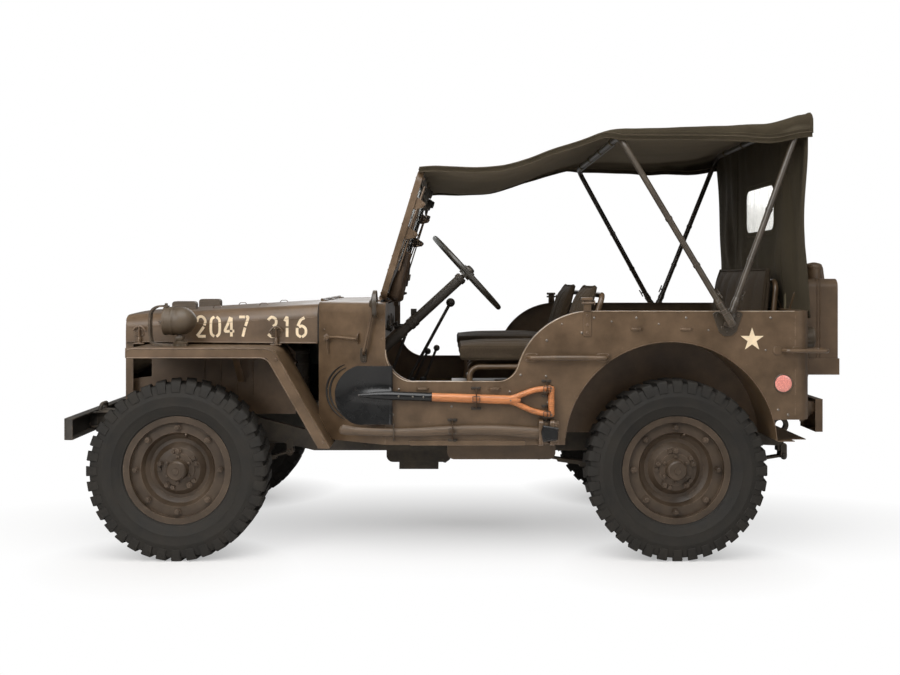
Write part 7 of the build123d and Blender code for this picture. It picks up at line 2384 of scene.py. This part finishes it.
@dataclass
class EngineDetails:
    """Head, plugs, manifolds, fan, belt, generator and water pipes of the engine."""

    front: float = -0.110
    top: float = 0.880

    def build(self, repeater: Repeater) -> None:
        """Build the engine's outer parts."""
        cast, black = Kit("engine_castings", "engine_paint", smooth=40), Kit("fan_belt", "rubber")
        rust = Kit("engine_manifold", "exhaust_steel", smooth=50)
        bolts = [(at(self.front + 0.045 + k * 0.066, y, self.top + 0.033), UP)
                 for k in range(8) for y in (-0.092, 0.072)]
        cast.block(at(0.165, -0.010, self.top + 0.016), (0.530, 0.190, 0.034), 0.008)
        cast.block(at(0.165, -0.010, self.top + 0.002), (0.548, 0.300, 0.008), 0.002)
        cap = at(0.165, -0.205, 0.866)
        cast.turned([(0.030, -0.100), (0.030, 0.0), (0.042, 0.006), (0.042, 0.040), (0.036, 0.050), (0.018, 0.054),
                     (0, 0.054)], cap, UP, 28)
        for k in range(4):
            foot = at(self.front + 0.080 + k * 0.130, -0.030, self.top + 0.033)
            cast.turned([(0.012, 0), (0.012, 0.010), (0.008, 0.011), (0.0075, 0.034), (0.004, 0.036), (0, 0.045)],
                        foot, UP, 12)
        cast.turned([(0.034, 0), (0.034, 0.010), (0.026, 0.014), (0.024, 0.040), (0, 0.041)],
                    at(-0.070, 0.030, self.top + 0.030), UP, 24)
        high = [at(-0.070, 0.030, 0.925), at(-0.076, 0.030, 0.946), at(-0.110, 0.030, 0.950), at(-0.158, 0.030, 0.946)]
        cast.rod(smooth_path(high, 6), 0.0215, bend=0.002, sides=18)
        low = [at(-0.100, -0.110, 0.600), at(-0.125, -0.150, 0.602), at(-0.140, -0.180, 0.604),
               at(-0.158, -0.185, 0.605)]
        cast.rod(smooth_path(low, 6), 0.020, bend=0.002, sides=18)
        self.drive(cast, black)
        self.manifold(cast, rust)
        for kit in (cast, black, rust):
            kit.done()
        bolts += [(at(self.front + 0.06 + k * 0.070, y, z), LEFT * side) for side, y in ((-1, -0.165), (1, 0.165))
                  for k in range(7) for z in (0.580, 0.850)]
        heads(repeater, "engine_bolts", hex_head(0.0075, 0.0065), bolts, "engine_paint")

    def drive(self, cast: Kit, black: Kit) -> None:
        """Fan, pulleys, belt and generator."""
        hub = at(-0.136, 0.0, 0.680)
        for angle in turns(4, math.pi / 4):
            way = Vector((0, math.cos(angle), math.sin(angle)))
            across = (AHEAD.cross(way) + AHEAD * 0.30).normalized()
            cast.plate([(0.035, -0.018), (0.080, -0.032), (0.160, -0.036), (0.166, 0.0), (0.160, 0.036), (0.080, 0.032),
                        (0.035, 0.018)], hub, way, across, 0.0018, 0.0004)
        cast.turned([(0.0, -0.010), (0.044, -0.010), (0.044, 0.006), (0.0, 0.008)], hub, AHEAD, 28)
        pulleys = ((0.0, 0.680, 0.048), (0.0, 0.545, 0.055), (-0.226, 0.745, 0.036))
        spots = []
        for y, z, radius in pulleys:
            cast.turned([(0.0, -0.008), (radius, -0.008), (radius * 0.86, -0.001), (radius * 0.86, 0.001),
                         (radius, 0.008), (0.0, 0.008)], at(-0.118, y, z), AHEAD, 32)
            spots += [(y + radius * 0.97 * math.cos(a), z + radius * 0.97 * math.sin(a))
                      for a in turns(28)]
        belt = [at(-0.118, y, z) for y, z in outer_line(spots)]
        sweep(black.work, belt, strap_profile(0.009, 0.010), AHEAD, closed=True)
        cast.turned([(0.0, -0.096), (0.040, -0.096), (0.050, -0.088), (0.052, -0.080), (0.052, -0.050), (0.054, -0.048),
                     (0.054, 0.070), (0.052, 0.072), (0.046, 0.086), (0.020, 0.092), (0, 0.092)],
                    at(-0.010, -0.226, 0.745), AHEAD, 36)
        for shift in (-0.05, 0.05):
            cast.strap([at(-0.010 + shift, -0.226, 0.694), at(-0.010 + shift, -0.164, 0.660)], 0.022, 0.007, UP)

    @staticmethod
    def manifold(cast: Kit, rust: Kit) -> None:
        """Exhaust and intake runs, carburettor and its air pipe."""
        rust.rod([at(-0.050, 0.205, 0.735), at(0.345, 0.205, 0.735), at(0.365, 0.205, 0.640), at(0.370, 0.200, 0.560)],
                 0.028, bend=0.05, sides=16)
        for k in range(4):
            rust.rod([at(-0.030 + k * 0.120, 0.163, 0.745), at(-0.030 + k * 0.120, 0.205, 0.738)], 0.024, sides=14)
            rust.block(at(-0.030 + k * 0.120, 0.169, 0.745), (0.072, 0.010, 0.060), 0.003)
        cast.rod([at(0.010, 0.163, 0.810), at(0.010, 0.205, 0.808), at(0.285, 0.205, 0.808), at(0.285, 0.163, 0.810)],
                 0.021, bend=0.03, sides=16)
        throat = at(0.150, 0.212, 0.825)
        cast.turned([(0.034, 0.0), (0.034, 0.008), (0.020, 0.012), (0.022, 0.040), (0.036, 0.044), (0.038, 0.078),
                     (0.030, 0.084), (0.024, 0.100), (0, 0.101)], throat, UP, 26)
        cast.block(throat + Vector((0.045, 0.0, 0.052)), (0.050, 0.048, 0.040), 0.008)
        pipe = [throat + UP * 0.096, throat + Vector((-0.020, -0.020, 0.135)), at(0.225, 0.090, 0.962),
                at(0.330, -0.050, 0.962), at(0.420, -0.110, 0.945), at(0.470, -0.120, 0.900)]
        cast.rod(smooth_path(pipe, 7), 0.0235, bend=0.002, sides=18)
        cast.turned([(0.0, -0.150), (0.058, -0.150), (0.062, -0.140), (0.062, -0.030), (0.066, -0.026), (0.066, -0.010),
                     (0.050, 0.004), (0.024, 0.012), (0, 0.014)], at(0.475, -0.110, 0.890), UP, 36)


def outer_line(spots: list[tuple[float, float]]) -> list[tuple[float, float]]:
    """Shortest closed line round all points."""
    spots = sorted(set(spots))
    halves = []
    for run in (spots, spots[::-1]):
        line = []
        for spot in run:
            while len(line) > 1 and ((line[-1][0] - line[-2][0]) * (spot[1] - line[-2][1])
                                     - (line[-1][1] - line[-2][1]) * (spot[0] - line[-2][0])) <= 1e-9:
                line.pop()
            line.append(spot)
        halves += line[:-1]
    return halves


@dataclass
class RimHighlightsAndWear:
    """Bright line along the rim of the tub, partly rubbed paint and partly a painted highlight of the lit edge, and the
    rivets below it.
    """

    def rim(self) -> list[tuple[float, float]]:
        """Station and height of points along the rim from the cowl to the rear corner."""
        entry_z, corner_z, rim_z, back, top, foot = 0.732, 0.860, 1.015, 1.303, 1.679, 0.085
        line = [(0.957 - 0.107 * math.sin(a), corner_z - 0.128 * math.cos(a)) for a in (
            math.pi / 2 * (1 - k / 10) for k in range(11))]
        run, rise = top - back, rim_z - entry_z
        both = (run * run + rise * rise) / (2 * rise)
        angle = math.asin(run / both)
        line += [(back + foot * math.sin(angle * k / 8), entry_z + foot * (1 - math.cos(angle * k / 8)))
                 for k in range(9)]
        wide = both - foot
        line += [(top - wide * math.sin(angle * (1 - k / 16)), rim_z - wide * (1 - math.cos(angle * (1 - k / 16))))
                 for k in range(1, 17)]
        return line + [(2.495, rim_z)]

    def build(self, repeater: Repeater) -> None:
        """Build the bright lines: rubbed paint with a painted highlight."""
        bright = Kit("rubbed_rims", "worn_and_highlit_edge", smooth=60)
        for side in Side:
            path = [at(s, side * (SKIN + 0.0003), z + 0.0012) for s, z in self.rim()]
            sweep(bright.work, path, round_profile(0.0019, 8), UP)
        bright.done()
        places = [(at(s, side * SKIN, z), LEFT * side) for side in Side
                  for s, z in ((1.560, 0.965), (1.760, 0.975), (1.950, 0.965), (2.150, 0.940), (2.380, 0.860))]
        heads(repeater, "rim_rivets", dome_head(0.0042, 0.0026), places, "bright_steel")


# Camera and light


@dataclass
class Studio:
    """Pale floor, soft lights and the camera at the photograph's place."""

    camera_place: Point = (0.091, 5.06, 1.150)
    lens: float = 43.08
    shift_x: float = 0.0056
    shift_y: float = -0.0661

    def build(self) -> None:
        """Build floor, lights, world and camera."""
        scene = bpy.context.scene
        scene.view_settings.view_transform = "Standard"
        data = bpy.data.cameras.new("camera")
        data.lens, data.sensor_width = self.lens, 36.0
        data.shift_x, data.shift_y = self.shift_x, self.shift_y
        camera = bpy.data.objects.new("camera", data)
        camera.location = self.camera_place
        camera.rotation_euler = (math.radians(90), 0, math.radians(180))
        scene.collection.objects.link(camera)
        scene.camera = camera
        self.floor()
        self.lights()
        self.world()

    def white_mix(self, graph: Graph, shader: bpy.types.NodeSocket, share: bpy.types.NodeSocket) -> None:
        """Let camera rays see a part of a surface as plain white."""
        path = graph.add("ShaderNodeLightPath")
        seen = graph.math("MAXIMUM", path.outputs["Is Camera Ray"], path.outputs["Is Transmission Ray"])
        glow = graph.add("ShaderNodeEmission", {"Color": (1, 1, 1, 1), "Strength": 1.0})
        mixed = graph.add("ShaderNodeMixShader", {0: graph.math("MULTIPLY", seen, share), 1: shader,
                                                  2: glow.outputs[0]})
        out = next(n for n in graph.tree.nodes if n.type == "OUTPUT_MATERIAL")
        graph.tree.links.new(mixed.outputs[0], out.inputs[0])

    def floor(self) -> None:
        """Pale floor that keeps the car's rendered shadow and fades to the backdrop; under the car and round the tyres
        it is darker by painted shade.
        """
        work = bmesh.new()
        bmesh.ops.create_grid(work, x_segments=1, y_segments=1, size=30)
        mesh = finish_mesh(work, "studio_floor", outward=False)
        material = bpy.data.materials.new("studio_floor")
        material.use_nodes = True
        shader = material.node_tree.nodes["Principled BSDF"]
        shader.inputs["Base Color"].default_value = (0.72, 0.70, 0.68, 1)
        shader.inputs["Roughness"].default_value = 0.9
        graph = Graph(material.node_tree)
        place = graph.add("ShaderNodeTexCoord").outputs["Object"]
        spread = graph.stretched(place, (0.50, 1.30, 0.0))
        reach = graph.add("ShaderNodeVectorMath", {0: spread}, operation="LENGTH").outputs["Value"]
        middle = graph.add("ShaderNodeMapping", {"Vector": place, "Location": (-0.165, 0.0, 0.0)}).outputs[0]
        mirrored = graph.add("ShaderNodeVectorMath", {0: middle}, operation="ABSOLUTE").outputs[0]
        from_wheel = graph.add("ShaderNodeVectorMath", {0: mirrored, 1: (1.016, 0.62, 0.0)}, operation="SUBTRACT")
        near = graph.add("ShaderNodeVectorMath", {0: from_wheel.outputs[0]}, operation="LENGTH").outputs["Value"]
        # The white share is lowered in an ellipse under the car and round each tyre, so the floor there shows the
        # rendered shadow plus painted shade.
        share = graph.math("MINIMUM", graph.span(reach, 0.05, 1.25, 0.42, 1.0), graph.span(near, 0.05, 0.62, 0.34, 1.0))
        self.white_mix(graph, shader.outputs[0], share)
        mesh.materials.append(material)
        floor = bpy.data.objects.new("studio_floor", mesh)
        bpy.context.scene.collection.objects.link(floor)

    def lights(self) -> None:
        """Soft boxes: overhead, front left, and low fills."""
        for place, aim, size, power in (
            ((0.4, 2.3, 3.9), (0.0, 0.1, 0.7), 3.6, 190.0),
            ((3.4, 4.4, 2.6), (0.4, 0.0, 0.8), 2.4, 110.0),
            ((-4.2, 4.2, 2.6), (-0.6, 0.0, 0.9), 2.4, 46.0),
            ((0.0, -4.8, 3.4), (0.0, 0.0, 0.8), 3.5, 80.0),
        ):
            data = bpy.data.lights.new("soft_box", "AREA")
            data.shape, data.size, data.energy = "SQUARE", size, power
            lamp = bpy.data.objects.new("soft_box", data)
            lamp.location = place
            lamp.rotation_euler = (Vector(aim) - Vector(place)).to_track_quat("-Z", "Y").to_euler()
            bpy.context.scene.collection.objects.link(lamp)

    def world(self) -> None:
        """White backdrop for the camera, a mild grey for the light."""
        world = bpy.data.worlds.new("studio")
        bpy.context.scene.world = world
        world.use_nodes = True
        graph = Graph(world.node_tree)
        path = graph.add("ShaderNodeLightPath")
        mild = world.node_tree.nodes["Background"]
        mild.inputs["Color"].default_value = (1, 1, 1, 1)
        mild.inputs["Strength"].default_value = 0.20
        white = graph.add("ShaderNodeBackground", {"Color": (1, 1, 1, 1), "Strength": 1.0})
        seen = graph.math("MAXIMUM", path.outputs["Is Camera Ray"], path.outputs["Is Transmission Ray"])
        mixed = graph.add("ShaderNodeMixShader", {0: seen, 1: mild.outputs[0], 2: white.outputs[0]})
        graph.tree.links.new(mixed.outputs[0], world.node_tree.nodes["World Output"].inputs[0])


def main() -> None:
    """Build the car's looks in order."""
    logging.basicConfig(level=logging.INFO, format="%(message)s")
    build_finishes()
    repeater = Repeater()
    Studio().build()
    Wheels().build(repeater)
    CanvasTop().build(repeater)
    RearCurtain().build(repeater)
    Seats().build()
    for part in (Shovel(), Axe(), HoodAndCowl(), Lamps(), Screen(), TubFittings(), BowFittings(), RearFittings(),
                 Underbody(), Interior(), Radiator(), EngineDetails(), RimHighlightsAndWear()):
        part.build(repeater)
    Markings().build()
    Bag().build()
    bpy.context.view_layer.update()


if __name__ == "__main__":
    main()
